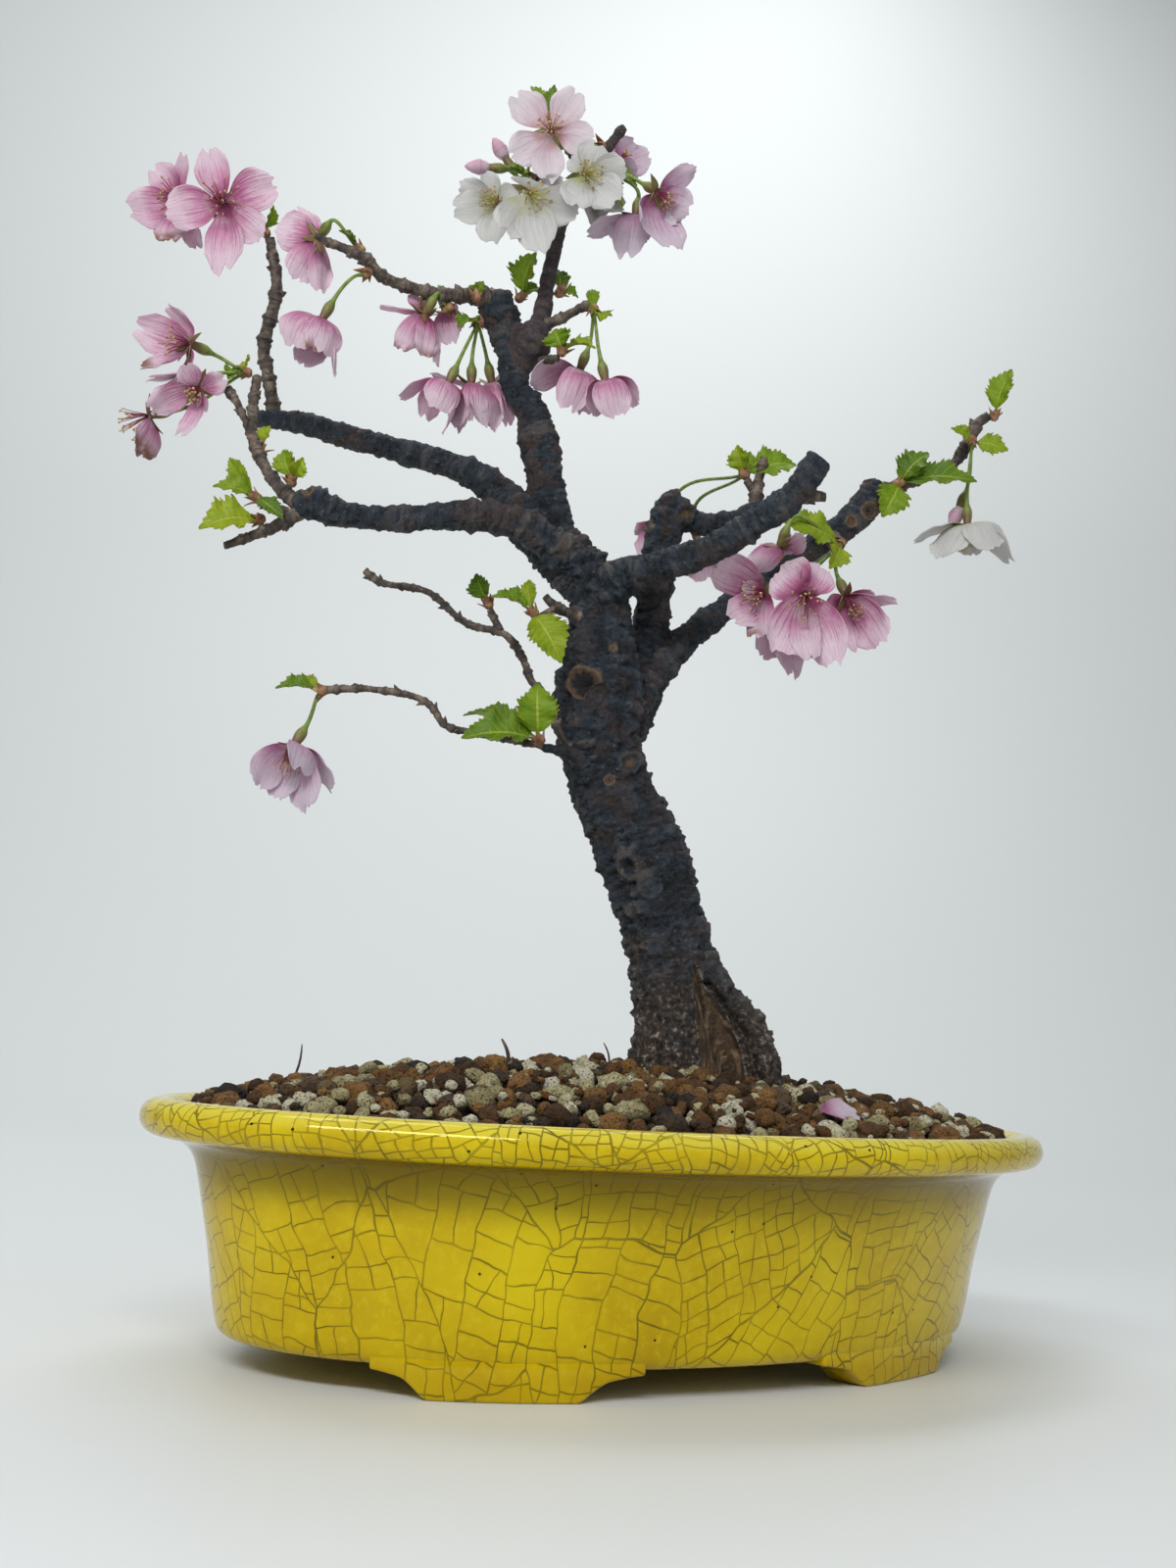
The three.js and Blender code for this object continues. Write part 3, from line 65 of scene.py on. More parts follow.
turn_c, turn_s = math.cos(FRONT_TURN), math.sin(FRONT_TURN)
FRONT_TO_POT = np.array([[turn_c, turn_s, 0], [-turn_s, turn_c, 0], [0, 0, 1]])
EYE_IN_POT = FRONT_TO_POT @ EYE
SIGHT = np.array([0, math.cos(EYE_UPWARD), math.sin(EYE_UPWARD)])
LEVEL = np.array([1.0, 0, 0])
UPRIGHT = np.cross(LEVEL, SIGHT)
SHEET_RIGHT = LEVEL * math.cos(EYE_ROLL) + UPRIGHT * math.sin(EYE_ROLL)
SHEET_UP = UPRIGHT * math.cos(EYE_ROLL) - LEVEL * math.sin(EYE_ROLL)


def metres(points):
    return (np.asarray(points, float) + POT_MIDDLE) * 0.001


def sight_line(place):
    across, down, depth = place[:3]
    direction = (SIGHT + SHEET_RIGHT * (across - SHEET_ACROSS) / SHEET_DISTANCE
                 + SHEET_UP * (SHEET_DOWN - down) / SHEET_DISTANCE)
    return direction, (depth - EYE[1]) / direction[1]


def spot(place):
    direction, length = sight_line(place)
    return FRONT_TO_POT @ (EYE + direction * length)


def sized(place, width):
    return width * sight_line(place)[1] / SHEET_DISTANCE


def unit(vector):
    return np.asarray(vector, float) / np.linalg.norm(vector)


def heading(right, up, towards):
    return FRONT_TO_POT @ unit([right, -towards, up])


def square_to(vector, axis):
    return unit(vector - axis * np.dot(vector, axis))


print("trunk's foot in the pot:", spot([705, 1110, 0]).round(1))

# %% [markdown]
# ## Camera, floor and light
# A bonsai is shown at eye height against a plain pale wall. The camera stands half a metre in
# front of the tree, low down, looks up a little and is tipped by three degrees. The floor is
# one sheet that is extruded up into a wall and bevelled where it turns, so there is no edge
# behind the pot. A long, low window in front on the left makes the thin shine along the pot's
# lip, a weak light on the right opens the shadows, and a third one lights the wall behind.
# The picture is shown with the standard colours, so a finish looks as it was mixed.

# %% Camera
sight, up = FRONT_TO_POT @ SIGHT, FRONT_TO_POT @ SHEET_UP
right = FRONT_TO_POT @ SHEET_RIGHT
camera_turn = Matrix([[right[k], up[k], -sight[k]] for k in range(3)])
bpy.ops.object.camera_add(location=metres(EYE_IN_POT))
camera = bpy.context.object
camera.rotation_euler = camera_turn.to_euler()
camera.data.lens = FILM * SHEET_DISTANCE / SHEET_TALL
camera.data.clip_start = 0.01
bpy.context.scene.camera = camera
print("lens", camera.data.lens)


# %% Helpers for operators
def pick(*pieces):
    for other in bpy.context.selected_objects:
        other.select_set(False)
    for piece in pieces[::-1]:
        piece.select_set(True)
        bpy.context.view_layer.objects.active = piece


def edit(piece, mode="VERT", everything=True):
    pick(piece)
    bpy.ops.object.mode_set(mode="EDIT")
    bpy.ops.mesh.select_mode(type=mode)
    bpy.ops.mesh.select_all(action="SELECT" if everything else "DESELECT")


def leave_edit():
    bpy.ops.object.mode_set(mode="OBJECT")


def edit_edges(piece, test):
    """Edit a piece with only those edges selected whose two ends pass the test."""
    edit(piece, "EDGE", everything=False)
    leave_edit()
    for edge in piece.data.edges:
        edge.select = all(test(piece.data.vertices[i].co) for i in edge.vertices)
    bpy.ops.object.mode_set(mode="EDIT")


def extrude(step):
    bpy.ops.mesh.extrude_region_move(TRANSFORM_OT_translate={"value": step})


def turn_outward(piece):
    edit(piece)
    bpy.ops.mesh.normals_make_consistent(inside=False)
    leave_edit()


def apply(piece, kind, **settings):
    """Give a piece a modifier of this kind and make it part of the mesh."""
    pick(piece)
    modifier = piece.modifiers.new(kind.lower(), kind)
    for key, value in settings.items():
        setattr(modifier, key, value)
    bpy.ops.object.modifier_apply(modifier=modifier.name)


def thicken(piece, thickness):
    apply(piece, "SOLIDIFY", thickness=thickness * 0.001, offset=0)


def join(*pieces):
    pick(*pieces)
    bpy.ops.object.join()
    return bpy.context.object


def smooth(piece, angle=None):
    pick(piece)
    if angle is None:
        bpy.ops.object.shade_smooth()
    else:
        bpy.ops.object.shade_smooth_by_angle(angle=math.radians(angle))


def coordinates(piece):
    flat = np.empty(len(piece.data.vertices) * 3)
    piece.data.vertices.foreach_get("co", flat)
    return flat.reshape(-1, 3)


def millimetres(piece):
    return coordinates(piece) * 1000 - POT_MIDDLE


def put_coordinates(piece, points):
    piece.data.vertices.foreach_set("co", np.asarray(points, float).ravel())
    piece.data.update()


def take_form(add, **settings):
    """A primitive's points and faces; the primitive itself goes away again."""
    pick()
    add(**settings)
    primitive = bpy.context.object
    points = coordinates(primitive)
    faces = [tuple(face.vertices) for face in primitive.data.polygons]
    bpy.data.objects.remove(primitive)
    return points, faces


def wear(piece, finish):
    piece.data.materials.clear()
    piece.data.materials.append(finish.material)


def finish_piece(piece, name, slot, *nodes):
    piece.name = name
    piece.data.name = name
    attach(piece, "root")
    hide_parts(*nodes)
    faces = sum(len(p.vertices) - 2 for p in piece.data.polygons)
    print(f"{name}: {faces} triangles")


# %% Floor and wall
back = Vector(FRONT_TO_POT @ np.array([0, 1.0, 0]))
bpy.ops.mesh.primitive_plane_add(size=6, location=(0, 0, 0), rotation=(0, 0, -FRONT_TURN))
floor = bpy.context.object
floor.name = "floor"
bpy.ops.object.transform_apply(location=True, rotation=True)
edit_edges(floor, lambda end: end.dot(back) > 1)
extrude((0, 0, 4))
leave_edit()
edit(floor)
bpy.ops.transform.translate(value=back * -1.3)
leave_edit()
edit_edges(floor, lambda end: end.z < 0.01 and end.dot(back) > 1)
bpy.ops.mesh.bevel(offset=0.8, segments=20)
leave_edit()
smooth(floor)

# %% [markdown]
# ## Mixing finishes
# Every finish below is a small tree of nodes. The `Finish` class keeps that short: `put` adds
# a node and joins it up, `ramp` turns a number into colours, and `tint` lays a colour over
# another where a number is high or low. Colours are written as a painter reads them from a
# screen, in steps from 0 to 255, and `paint` turns them into what a shader wants.


# %% Finish helper
def paint(red, green, blue):
    linear = [c / 255 / 12.92 if c <= 10 else ((c / 255 + 0.055) / 1.055) ** 2.4
              for c in (red, green, blue)]
    return (*linear, 1.0)


class Finish:
    def __init__(self, name, roughness, **sockets):
        self.material = bpy.data.materials.new(name)
        self.material.use_nodes = True
        self.tree = self.material.node_tree
        self.shader = self.tree.nodes["Principled BSDF"]
        for socket, value in dict(sockets, Roughness=roughness).items():
            self.shader.inputs[socket.replace("_", " ")].default_value = value

    def feed(self, socket, value):
        if isinstance(value, bpy.types.NodeSocket):
            self.tree.links.new(value, socket)
        else:
            socket.default_value = paint(*value) if socket.type == "RGBA" else value

    def put(self, kind, inputs, out=0, **settings):
        node = self.tree.nodes.new("ShaderNode" + kind)
        for key, value in settings.items():
            setattr(node, key, value)
        for key, value in inputs.items():
            self.feed(node.inputs[key], value)
        return node.outputs[out]

    def attribute(self, name, out="Color"):
        return self.put("Attribute", {}, out, attribute_name=name)

    def place(self):
        return self.put("TexCoord", {}, "Object")

    def stretch(self, vector, x, y, z):
        return self.put("Mapping", {"Vector": vector, "Scale": (x, y, z)})

    def grain(self, vector, scale, detail=4.0, rough=0.55):
        return self.put("TexNoise", {"Vector": vector, "Scale": scale, "Detail": detail,
                                     "Roughness": rough}, "Fac")

    def count(self, operation, a, b=0.5):
        return self.put("Math", {0: a, 1: b}, operation=operation)

    def times(self, a, b):
        return self.count("MULTIPLY", a, b)

    def plus(self, a, b):
        return self.count("ADD", a, b)

    def minus(self, a, b):
        return self.count("SUBTRACT", a, b)

    def off(self, a, middle):
        """How far a number is from a middle, either way."""
        return self.count("ABSOLUTE", self.minus(a, middle))

    def mixed(self, a, b, share):
        """Two numbers in shares that add up to one; the share is the second one's."""
        return self.plus(self.times(a, round(1 - share, 3)), self.times(b, share))

    def between(self, value, low, high, to_low=0.0, to_high=1.0):
        return self.put("MapRange", {"Value": value, "From Min": low, "From Max": high,
                                     "To Min": to_low, "To Max": to_high},
                        interpolation_type="SMOOTHSTEP")

    def ramp(self, value, *stops):
        node = self.tree.nodes.new("ShaderNodeValToRGB")
        while len(node.color_ramp.elements) < len(stops):
            node.color_ramp.elements.new(0.5)
        for element, (position, colour) in zip(node.color_ramp.elements, stops):
            element.position = position
            element.color = paint(*colour)
        self.feed(node.inputs["Fac"], value)
        return node.outputs["Color"]

    def blend(self, amount, a, b):
        return self.put("Mix", {0: amount, 6: a, 7: b}, 2, data_type="RGBA")

    def tint(self, shade, *coats):
        """Lay coats over a shade: a number, where it starts and ends to count, how much of
        the colour there is at these two, and the colour."""
        for value, low, high, at_low, at_high, colour in coats:
            shade = self.blend(self.between(value, low, high, at_low, at_high), shade, colour)
        return shade

    def parts(self, colour):
        node = self.tree.nodes.new("ShaderNodeSeparateColor")
        self.feed(node.inputs[0], colour)
        return node.outputs

    def relief(self, height, distance, strength=1.0, under=None):
        inputs = {"Height": height, "Distance": distance, "Strength": strength}
        if under is not None:
            inputs["Normal"] = under
        return self.put("Bump", inputs)

    def set(self, **sockets):
        for socket, value in sockets.items():
            self.feed(self.shader.inputs[socket.replace("_", " ")], value)
        return self


wear(floor, Finish("pale_floor", 0.5).set(Base_Color=(226, 229, 229)))


# %% Light
def soft_light(name, right_of, back_of, height, size, power, aim=(0, 0, 200)):
    place = metres(FRONT_TO_POT @ np.array([right_of, back_of, height]))
    look = Vector(metres(np.array(aim, float))) - Vector(place)
    bpy.ops.object.light_add(type="AREA", location=place)
    light = bpy.context.object
    light.name = name
    light.rotation_euler = look.to_track_quat("-Z", "Y").to_euler()
    light.data.shape = "RECTANGLE"
    light.data.size, light.data.size_y = size
    light.data.energy = power


soft_light("window", -250, -950, 830, (1.0, 0.2), 9.5)
soft_light("fill", 900, -700, 900, (1.2, 1.2), 1.4)
soft_light("wall_light", -150, 600, 1700, (1.8, 0.8), 16, aim=(0, 1500, 300))
world = bpy.data.worlds.new("room")
world.use_nodes = True
daylight = world.node_tree.nodes["Background"].inputs
daylight["Color"].default_value = paint(240, 246, 248)
daylight["Strength"].default_value = 0.3
bpy.context.scene.world = world
bpy.context.scene.view_settings.view_transform = "Standard"

# %% [markdown]
# ## The pot
# The pot is thrown and then pressed to an oval: a rolled lip, a wall that draws in to the
# base, and four cloud-shaped feet. A potter's profile is exactly what Blender's spin needs,
# so one point is extruded along the profile and spun once round. An oval is not a plain
# squash of a circle, because the wall keeps its thickness, so each point is moved straight
# in across the pot by the same amount instead of being scaled.

# %% Profile of the pot
HALF_LENGTH, HALF_WIDTH = 145, 91
POT_OUTSIDE = [(145, 9.2), (60, 9.0), (34, 8.8), (30.5, 8.1), (27.6, 7.8), (25.4, 9.4),
               (24.3, 12.5), (23.3, 17), (22.1, 24), (20.8, 31), (19.2, 38), (17.6, 45),
               (16.5, 49.6), (15.2, 53.4), (13.2, 56.2), (10.6, 57.8), (7.6, 58.6)]
LIP_INSET, LIP_HEIGHT, LIP_RADIUS = 5, 64, 5
POT_INSIDE = [(11.2, 61.8), (13.4, 60.2), (16.5, 58), (20, 54.6), (23, 50), (25.4, 44),
              (27.8, 33), (29.6, 22), (31.4, 17), (35, 14), (60, 14), (145, 14)]
lip = [(LIP_INSET - LIP_RADIUS * math.cos(a), LIP_HEIGHT + LIP_RADIUS * math.sin(a))
       for a in np.radians(np.arange(-75, 151, 15))]


def rounded(points, per_span=3):
    """More points on a smooth curve through these, for a profile or an outline."""
    points = np.asarray(points, float)
    whole = np.vstack([2 * points[0] - points[1], points, 2 * points[-1] - points[-2]])
    out = []
    for i in range(1, len(whole) - 2):
        a, b, c, d = whole[i - 1:i + 3]
        for t in np.arange(per_span) / per_span:
            out.append(0.5 * (2 * b + (c - a) * t + (2 * a - 5 * b + 4 * c - d) * t * t
                              + (3 * b - a - 3 * c + d) * t ** 3))
    return np.array([*out, points[-1]])


profile = np.vstack([POT_OUTSIDE[:3], rounded(POT_OUTSIDE[3:], 2)[:-1], lip,
                     rounded(POT_INSIDE[:10], 2), POT_INSIDE[10:]])
profile[:, 0] = np.clip(profile[:, 0], 0, HALF_LENGTH)
print("profile of", len(profile), "points")

# %% Spin the pot
POT_STEPS = 144
pick()
start = metres([HALF_LENGTH - profile[0][0], 0, profile[0][1]])
bpy.ops.mesh.primitive_plane_add(size=0.001, location=start)
pot = bpy.context.object
bpy.ops.object.transform_apply(location=True)
edit(pot)
bpy.ops.mesh.merge(type="CENTER")
for (inset, height), (next_inset, next_height) in zip(profile, profile[1:]):
    extrude(((inset - next_inset) * 0.001, 0, (next_height - height) * 0.001))
bpy.ops.mesh.select_all(action="SELECT")
bpy.ops.mesh.spin(steps=POT_STEPS, angle=2 * math.pi, center=metres([0, 0, 0]), axis=(0, 0, 1))
bpy.ops.mesh.select_all(action="SELECT")
bpy.ops.mesh.remove_doubles(threshold=0.00002)
bpy.ops.mesh.normals_make_consistent(inside=False)
leave_edit()


def draw_in(points):
    """Press a round form to the oval: every point moves in across the pot by as much."""
    radius = np.hypot(points[:, 0], points[:, 1])
    inward = HALF_LENGTH - HALF_WIDTH
    pressed = points.copy()
    pressed[:, 1] *= np.where(radius > inward * 1.2, (radius - inward) / np.maximum(radius, 1),
                              1 / 6)
    return pressed


put_coordinates(pot, metres(draw_in(millimetres(pot))))

# %% [markdown]
# The two drain holes in the base are cut with round bars and a Boolean modifier. The screens
# over them stay the solids' own, and only get a finish later on.

# %% Drain holes
DRAIN_PLACE, DRAIN_RADIUS = 52, 7
for side in (-1, 1):
    pick()
    bpy.ops.mesh.primitive_cylinder_add(radius=DRAIN_RADIUS * 0.001, depth=0.02, vertices=48,
                                        location=metres([side * DRAIN_PLACE, 0, 10]))
    bar = bpy.context.object
    apply(pot, "BOOLEAN", object=bar, operation="DIFFERENCE", solver="EXACT")
    bpy.data.objects.remove(bar)
print("after the drain holes:", len(pot.data.vertices))

# %% [markdown]
# A foot starts as its flat front outline, with the curled shoulders of a cloud foot. It is
# extruded to its thickness, its edges are bevelled, and a row of bisect cuts gives it enough
# faces to be wrapped round the oval. One foot is modelled and four copies are wrapped.

# %% One flat foot
FOOT_HEIGHT, FOOT_SUNK, FOOT_THICK = 7.7, 3, 12
right_side = rounded([(36, 6.6), (34, 6.5), (30.5, 5.9), (27, 5.2), (24.6, 3.9), (22.4, 2.2),
                      (20.6, 0.7), (19, 0)], 2)
right_side = np.vstack([[(36, FOOT_HEIGHT + FOOT_SUNK)], right_side])
outline = np.vstack([right_side, (right_side * [-1, 1])[::-1]])
pick()
bpy.ops.mesh.primitive_circle_add(vertices=len(outline), fill_type="NGON", radius=0.01)
foot = bpy.context.object
put_coordinates(foot, np.column_stack([outline, np.zeros(len(outline))]) * 0.001)
edit(foot)
extrude((0, 0, FOOT_THICK * 0.001))
leave_edit()
turn_outward(foot)
apply(foot, "BEVEL", width=0.001, segments=3, angle_limit=math.radians(60))
edit(foot)
for across in np.arange(-33, 34, 3):
    bpy.ops.mesh.select_all(action="SELECT")
    bpy.ops.mesh.bisect(plane_co=(across * 0.001, 0, 0), plane_no=(1, 0, 0))
leave_edit()
flat_foot = coordinates(foot) * 1000
print("flat foot:", np.ptp(flat_foot, axis=0).round(1), "mm")

# %% Wrap four feet round the base
FOOT_INSET, FOOT_PLACE = 25.2, math.radians(33)
foot_a, foot_b = HALF_LENGTH - FOOT_INSET, HALF_WIDTH - FOOT_INSET
feet = []
for middle, side in product((-math.pi / 2, math.pi / 2), (-1, 1)):
    place = middle + side * FOOT_PLACE
    per_radian = math.hypot(foot_a * math.sin(place), foot_b * math.cos(place))
    pick(foot)
    bpy.ops.object.duplicate()
    feet.append(bpy.context.object)
    angle = place + flat_foot[:, 0] / per_radian
    put_coordinates(feet[-1], metres(np.column_stack([
        (foot_a - flat_foot[:, 2]) * np.cos(angle),
        (foot_b - flat_foot[:, 2]) * np.sin(angle), flat_foot[:, 1]])))
    turn_outward(feet[-1])
bpy.data.objects.remove(foot)
pot = join(pot, *feet)
smooth(pot, 50)

# %% [markdown]
# ## The glaze and its cracks
# Crackle is a net of fine cracks in a glaze that shrank more than its clay. Long cracks came
# first, and shorter ones ran between them and stopped there. It has to follow the wall, so
# the pot gets a UV map that unrolls it: the way round in one direction and the way up the
# profile in the other, in millimetres, with its one seam at the back. Every point is first
# asked how far in from the lip's oval it lies, by halving, because the wall is not a circle.

# %% Unroll the pot
SEAM = math.pi / 2 + 0.35
WALL_A, WALL_B, UNDERSIDE = 132, 78, 8.2
lengths = np.concatenate([[0], np.cumsum(np.linalg.norm(np.diff(profile, axis=0), axis=1))])
pot_points = millimetres(pot)
least, most = np.full(len(pot_points), -5.0), np.full(len(pot_points), HALF_WIDTH - 0.5)
for _ in range(40):
    guess = (least + most) / 2
    outside = ((pot_points[:, 0] / (HALF_LENGTH - guess)) ** 2
               + (pot_points[:, 1] / (HALF_WIDTH - guess)) ** 2) > 1
    least, most = np.where(outside, least, guess), np.where(outside, guess, most)
inset_now = (least + most) / 2
ring_angle = np.arctan2(pot_points[:, 1] / (HALF_WIDTH - inset_now),
                        pot_points[:, 0] / (HALF_LENGTH - inset_now))
height_here = np.maximum(pot_points[:, 2], UNDERSIDE)
gap = ((inset_now[:, None] - profile[None, :, 0]) ** 2
       + (height_here[:, None] - profile[None, :, 1]) ** 2)
up_profile = lengths[np.argmin(gap, axis=1)] + pot_points[:, 2] - height_here
way = np.linspace(0, 4 * math.pi, 2881)
pace = np.hypot(WALL_A * np.sin(way + SEAM), WALL_B * np.cos(way + SEAM))
round_mm = np.concatenate([[0], np.cumsum((pace[1:] + pace[:-1]) / 2 * np.diff(way))])
corner_of = np.empty(len(pot.data.loops), int)
pot.data.loops.foreach_get("vertex_index", corner_of)
around = np.mod(ring_angle - SEAM, 2 * math.pi)[corner_of]
for face in pot.data.polygons:
    span = around[face.loop_start:face.loop_start + face.loop_total]
    if span.max() - span.min() > math.pi:
        span[span < math.pi] += 2 * math.pi
flat_uv = np.column_stack([np.interp(around, way, round_mm), up_profile[corner_of]])
pot.data.uv_layers.new(name="unrolled").data.foreach_set("uv", flat_uv.ravel())
LIP_FROM = float(lengths[np.argmin(np.hypot(*(profile - POT_OUTSIDE[-1]).T))])
print("unrolled:", np.ptp(flat_uv[:, 0]).round(), "mm round")

# %% [markdown]
# The net is drawn from large to small. A wandering cell pattern gives the long curved cracks.
# Inside each of its cells the glaze is turned and shifted by chance and cut into columns, each
# column into bricks, and about half of the bricks once more, slanting. What counts in the end
# is how far a point is from the nearest of all these lines.

# %% Net of cracks
glaze = Finish("yellow_crackle_glaze", 0.05, Specular_Tint=(1.0, 0.93, 0.4, 1.0))
unrolled = glaze.put("UVMap", {}, uv_map="unrolled")


def wander(vector, scale, amount):
    drift = glaze.put("TexNoise", {"Vector": vector, "Scale": scale, "Detail": 1.5}, "Color")
    for operation, by in (("SUBTRACT", (0.5, 0.5, 0.5)), ("MULTIPLY", (amount, amount, 0.0)),
                          ("ADD", vector)):
        drift = glaze.put("VectorMath", {0: drift, 1: by}, operation=operation)
    return drift


def chance(x, y=0.0):
    pair = glaze.put("CombineXYZ", {0: x, 1: y})
    return glaze.parts(glaze.put("TexWhiteNoise", {"Vector": pair}, "Color",
                                 noise_dimensions="2D"))


def cells(vector, scale, out, **settings):
    return glaze.put("TexVoronoi", {"Vector": vector, "Scale": scale}, out,
                     voronoi_dimensions="2D", **settings)


def from_line(value):
    """How far a running number is from the nearest whole one."""
    share = glaze.count("FRACT", value)
    return glaze.count("MINIMUM", share, glaze.minus(1.0, share))


def crack_distance(vector, long_cell, brick):
    """Distance in mm to the nearest crack of a net with cells of about these sizes."""
    tall = glaze.stretch(vector, 1, 0.62, 1)
    edge = cells(tall, 1 / long_cell, "Distance", feature="DISTANCE_TO_EDGE")
    red, green, blue = glaze.parts(cells(tall, 1 / long_cell, "Color"))[:3]
    turn = glaze.times(glaze.minus(red, 0.5), 0.9)
    x, y = glaze.put("SeparateXYZ", {0: vector}, 0), glaze.put("SeparateXYZ", {0: vector}, 1)
    c, s = glaze.count("COSINE", turn), glaze.count("SINE", turn)
    across = glaze.plus(glaze.times(x, c), glaze.times(y, s))
    upward = glaze.minus(glaze.times(y, c), glaze.times(x, s))
    column = glaze.plus(glaze.count("DIVIDE", across, brick), glaze.times(green, 9.0))
    column_number = glaze.count("FLOOR", column)
    own = chance(column_number, glaze.times(blue, 50.0))
    tallness = glaze.times(glaze.between(own[1], 0, 1, 0.8, 1.3), brick)
    row = glaze.plus(glaze.count("DIVIDE", upward, tallness), glaze.times(own[0], 7.0))
    draw = chance(glaze.plus(column_number, glaze.times(blue, 31.0)), glaze.count("FLOOR", row))
    slant = glaze.times(glaze.minus(draw[2], 0.5), 0.9)
    in_column, in_row = glaze.count("FRACT", column), glaze.count("FRACT", row)
    split = glaze.minus(in_column, 0.5)
    split = glaze.off(split, glaze.times(slant, glaze.minus(in_row, 0.5)))
    split = glaze.plus(split, glaze.between(draw[0], 0.48, 0.5, 1.0, 0.0))
    flat_split = glaze.plus(glaze.off(in_row, 0.45), glaze.between(draw[1], 0.25, 0.27, 1.0, 0.0))
    nearest = glaze.times(edge, long_cell)
    for share, size in ((from_line(column), brick), (from_line(row), tallness), (split, brick),
                        (flat_split, tallness)):
        nearest = glaze.count("MINIMUM", nearest, glaze.times(share, size))
    return nearest


wandered = wander(wander(unrolled, 0.02, 15.0), 0.1, 4.0)
wall_net = crack_distance(wandered, 33.0, 11.0)
lip_net = crack_distance(wandered, 20.0, 6.5)
up_wall = glaze.put("SeparateXYZ", {0: unrolled}, 1)
on_lip = glaze.between(up_wall, LIP_FROM, LIP_FROM + 0.1)
nearest_crack = glaze.put("Mix", {0: on_lip, 2: wall_net, 3: lip_net}, 0, data_type="FLOAT")
net = glaze.between(nearest_crack, 0.12, 0.30, 1.0, 0.0)
print("net of cracks:", len(glaze.tree.nodes), "nodes")

# %% Yellow crackle glaze
here = glaze.place()
height_now = glaze.put("SeparateXYZ", {0: here}, "Z")
body = glaze.ramp(glaze.grain(here, 26.0, 3.0), (0.3, (186, 154, 0)), (0.5, (205, 175, 0)),
                  (0.7, (219, 194, 4)))
body = glaze.tint(body, (glaze.grain(here, 420.0, 3.0), 0.45, 0.75, 0.0, 0.35, (226, 204, 36)),
                  (height_now, 0.063, 0.0685, 0.0, 0.6, (226, 216, 84)),
                  (height_now, 0.004, 0.014, 0.45, 0.0, (168, 132, 0)))
# Painted shade: the wall just under the rolled lip is darkened where the rim's shadow falls on it.
painted_rim_shade = glaze.times(glaze.between(up_wall, LIP_FROM - 22, LIP_FROM - 2),
                   glaze.between(up_wall, LIP_FROM + 1, LIP_FROM + 7, 1.0, 0.0))
body = glaze.blend(glaze.times(painted_rim_shade, 0.92), body, (104, 80, 0))
speck_cell = cells(unrolled, 0.10, "Distance")
speck_pick = glaze.between(glaze.parts(cells(unrolled, 0.10, "Color"))[0], 0.84, 0.85)
speck = glaze.times(glaze.between(speck_cell, 0.028, 0.05, 1.0, 0.0), speck_pick)
body = glaze.tint(body, (glaze.grain(here, 1500.0, 2.0), 0.66, 0.74, 0.0, 0.3, (150, 122, 6)))
stain = glaze.between(glaze.grain(here, 90.0, 2.0), 0.3, 0.7, 0.5, 0.85)
body = glaze.blend(glaze.times(net, stain), body, (90, 78, 8))
body = glaze.blend(speck, body, (40, 28, 8))
ripples = glaze.minus(glaze.grain(here, 110.0, 2.0), glaze.times(net, 0.4))
glaze.set(Base_Color=body, Normal=glaze.relief(ripples, 0.00012, 0.15))
wear(pot, glaze)
finish_piece(pot, "glazed_pot", "glaze", "pot")

# %% [markdown]
# ## Plastic screens
# The square mesh over each drain hole is cut from moulded plastic net. The solids already
# have the right shape, so they stay and only get a dull black plastic with a faint grain.

# %% Screen plastic
plastic = Finish("black_screen_plastic", 0.6)
plastic_grain = plastic.grain(plastic.place(), 1500.0, 3.0)
plastic.set(Base_Color=plastic.ramp(plastic_grain, (0.3, (22, 23, 22)), (0.7, (38, 39, 37))),
            Normal=plastic.relief(plastic_grain, 0.0002, 0.5))
for screen in ("drain_screen_left", "drain_screen_right"):
    wear(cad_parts[screen], plastic)

# %% [markdown]
# ## The grit
# Bonsai soil is a mix of baked clay, lava and pumice in grains of three to ten millimetres,
# heaped round the trunk. A textured heap looks flat at its edge, so real grains are scattered.
# A grain starts as a cube that is subdivided, drawn towards a ball and shaken, and each copy
# is turned and sized at random. They are placed large ones first, each only where it has
# room, as they settle in a pot. Below them lies a heap of fines that fills the pot.

# %% The heap of fines
SOIL_EDGE, SOIL_RISE = 65.5, 17
MOUND_A, MOUND_B = 132.85, 78.85
SIDES, RINGS = 96, 14
SOIL_FLOOR = 14.35
POT_WALL = [(13.35, 60.7), (20.35, 55.1), (25.75, 44.1), (29.95, 22.1), (35.35, SOIL_FLOOR)]


def mound_height(x, y):
    out = np.minimum(np.hypot(x / MOUND_A, y / MOUND_B), 1)
    return SOIL_EDGE + SOIL_RISE * (1 - out ** 1.7) ** 0.8


def ring(a, b, z):
    return [[a * math.cos(t), b * math.sin(t), z] for t in np.arange(SIDES) * 2 * math.pi / SIDES]


pick()
bpy.ops.mesh.primitive_circle_add(vertices=SIDES, radius=0.1, fill_type="NGON")
heap = bpy.context.object
shares = [1 - k / RINGS for k in range(RINGS)]
mound = np.array(sum([ring(s * MOUND_A, s * MOUND_B, 0) for s in shares], []) + [[0, 0, 0]])
mound[:, 2] = mound_height(mound[:, 0], mound[:, 1]) - 2.2
below = [ring(HALF_LENGTH - inset, HALF_WIDTH - inset, z) for inset, z in POT_WALL]
all_points = np.vstack([mound, *below, [[0, 0, SOIL_FLOOR]]])
top = RINGS * SIDES
rows = [top - SIDES - k * SIDES for k in range(RINGS)] + [top + 1 + k * SIDES
                                                          for k in range(len(POT_WALL))]
heap_faces = [(top, rows[0] + j, rows[0] + (j + 1) % SIDES) for j in range(SIDES)]
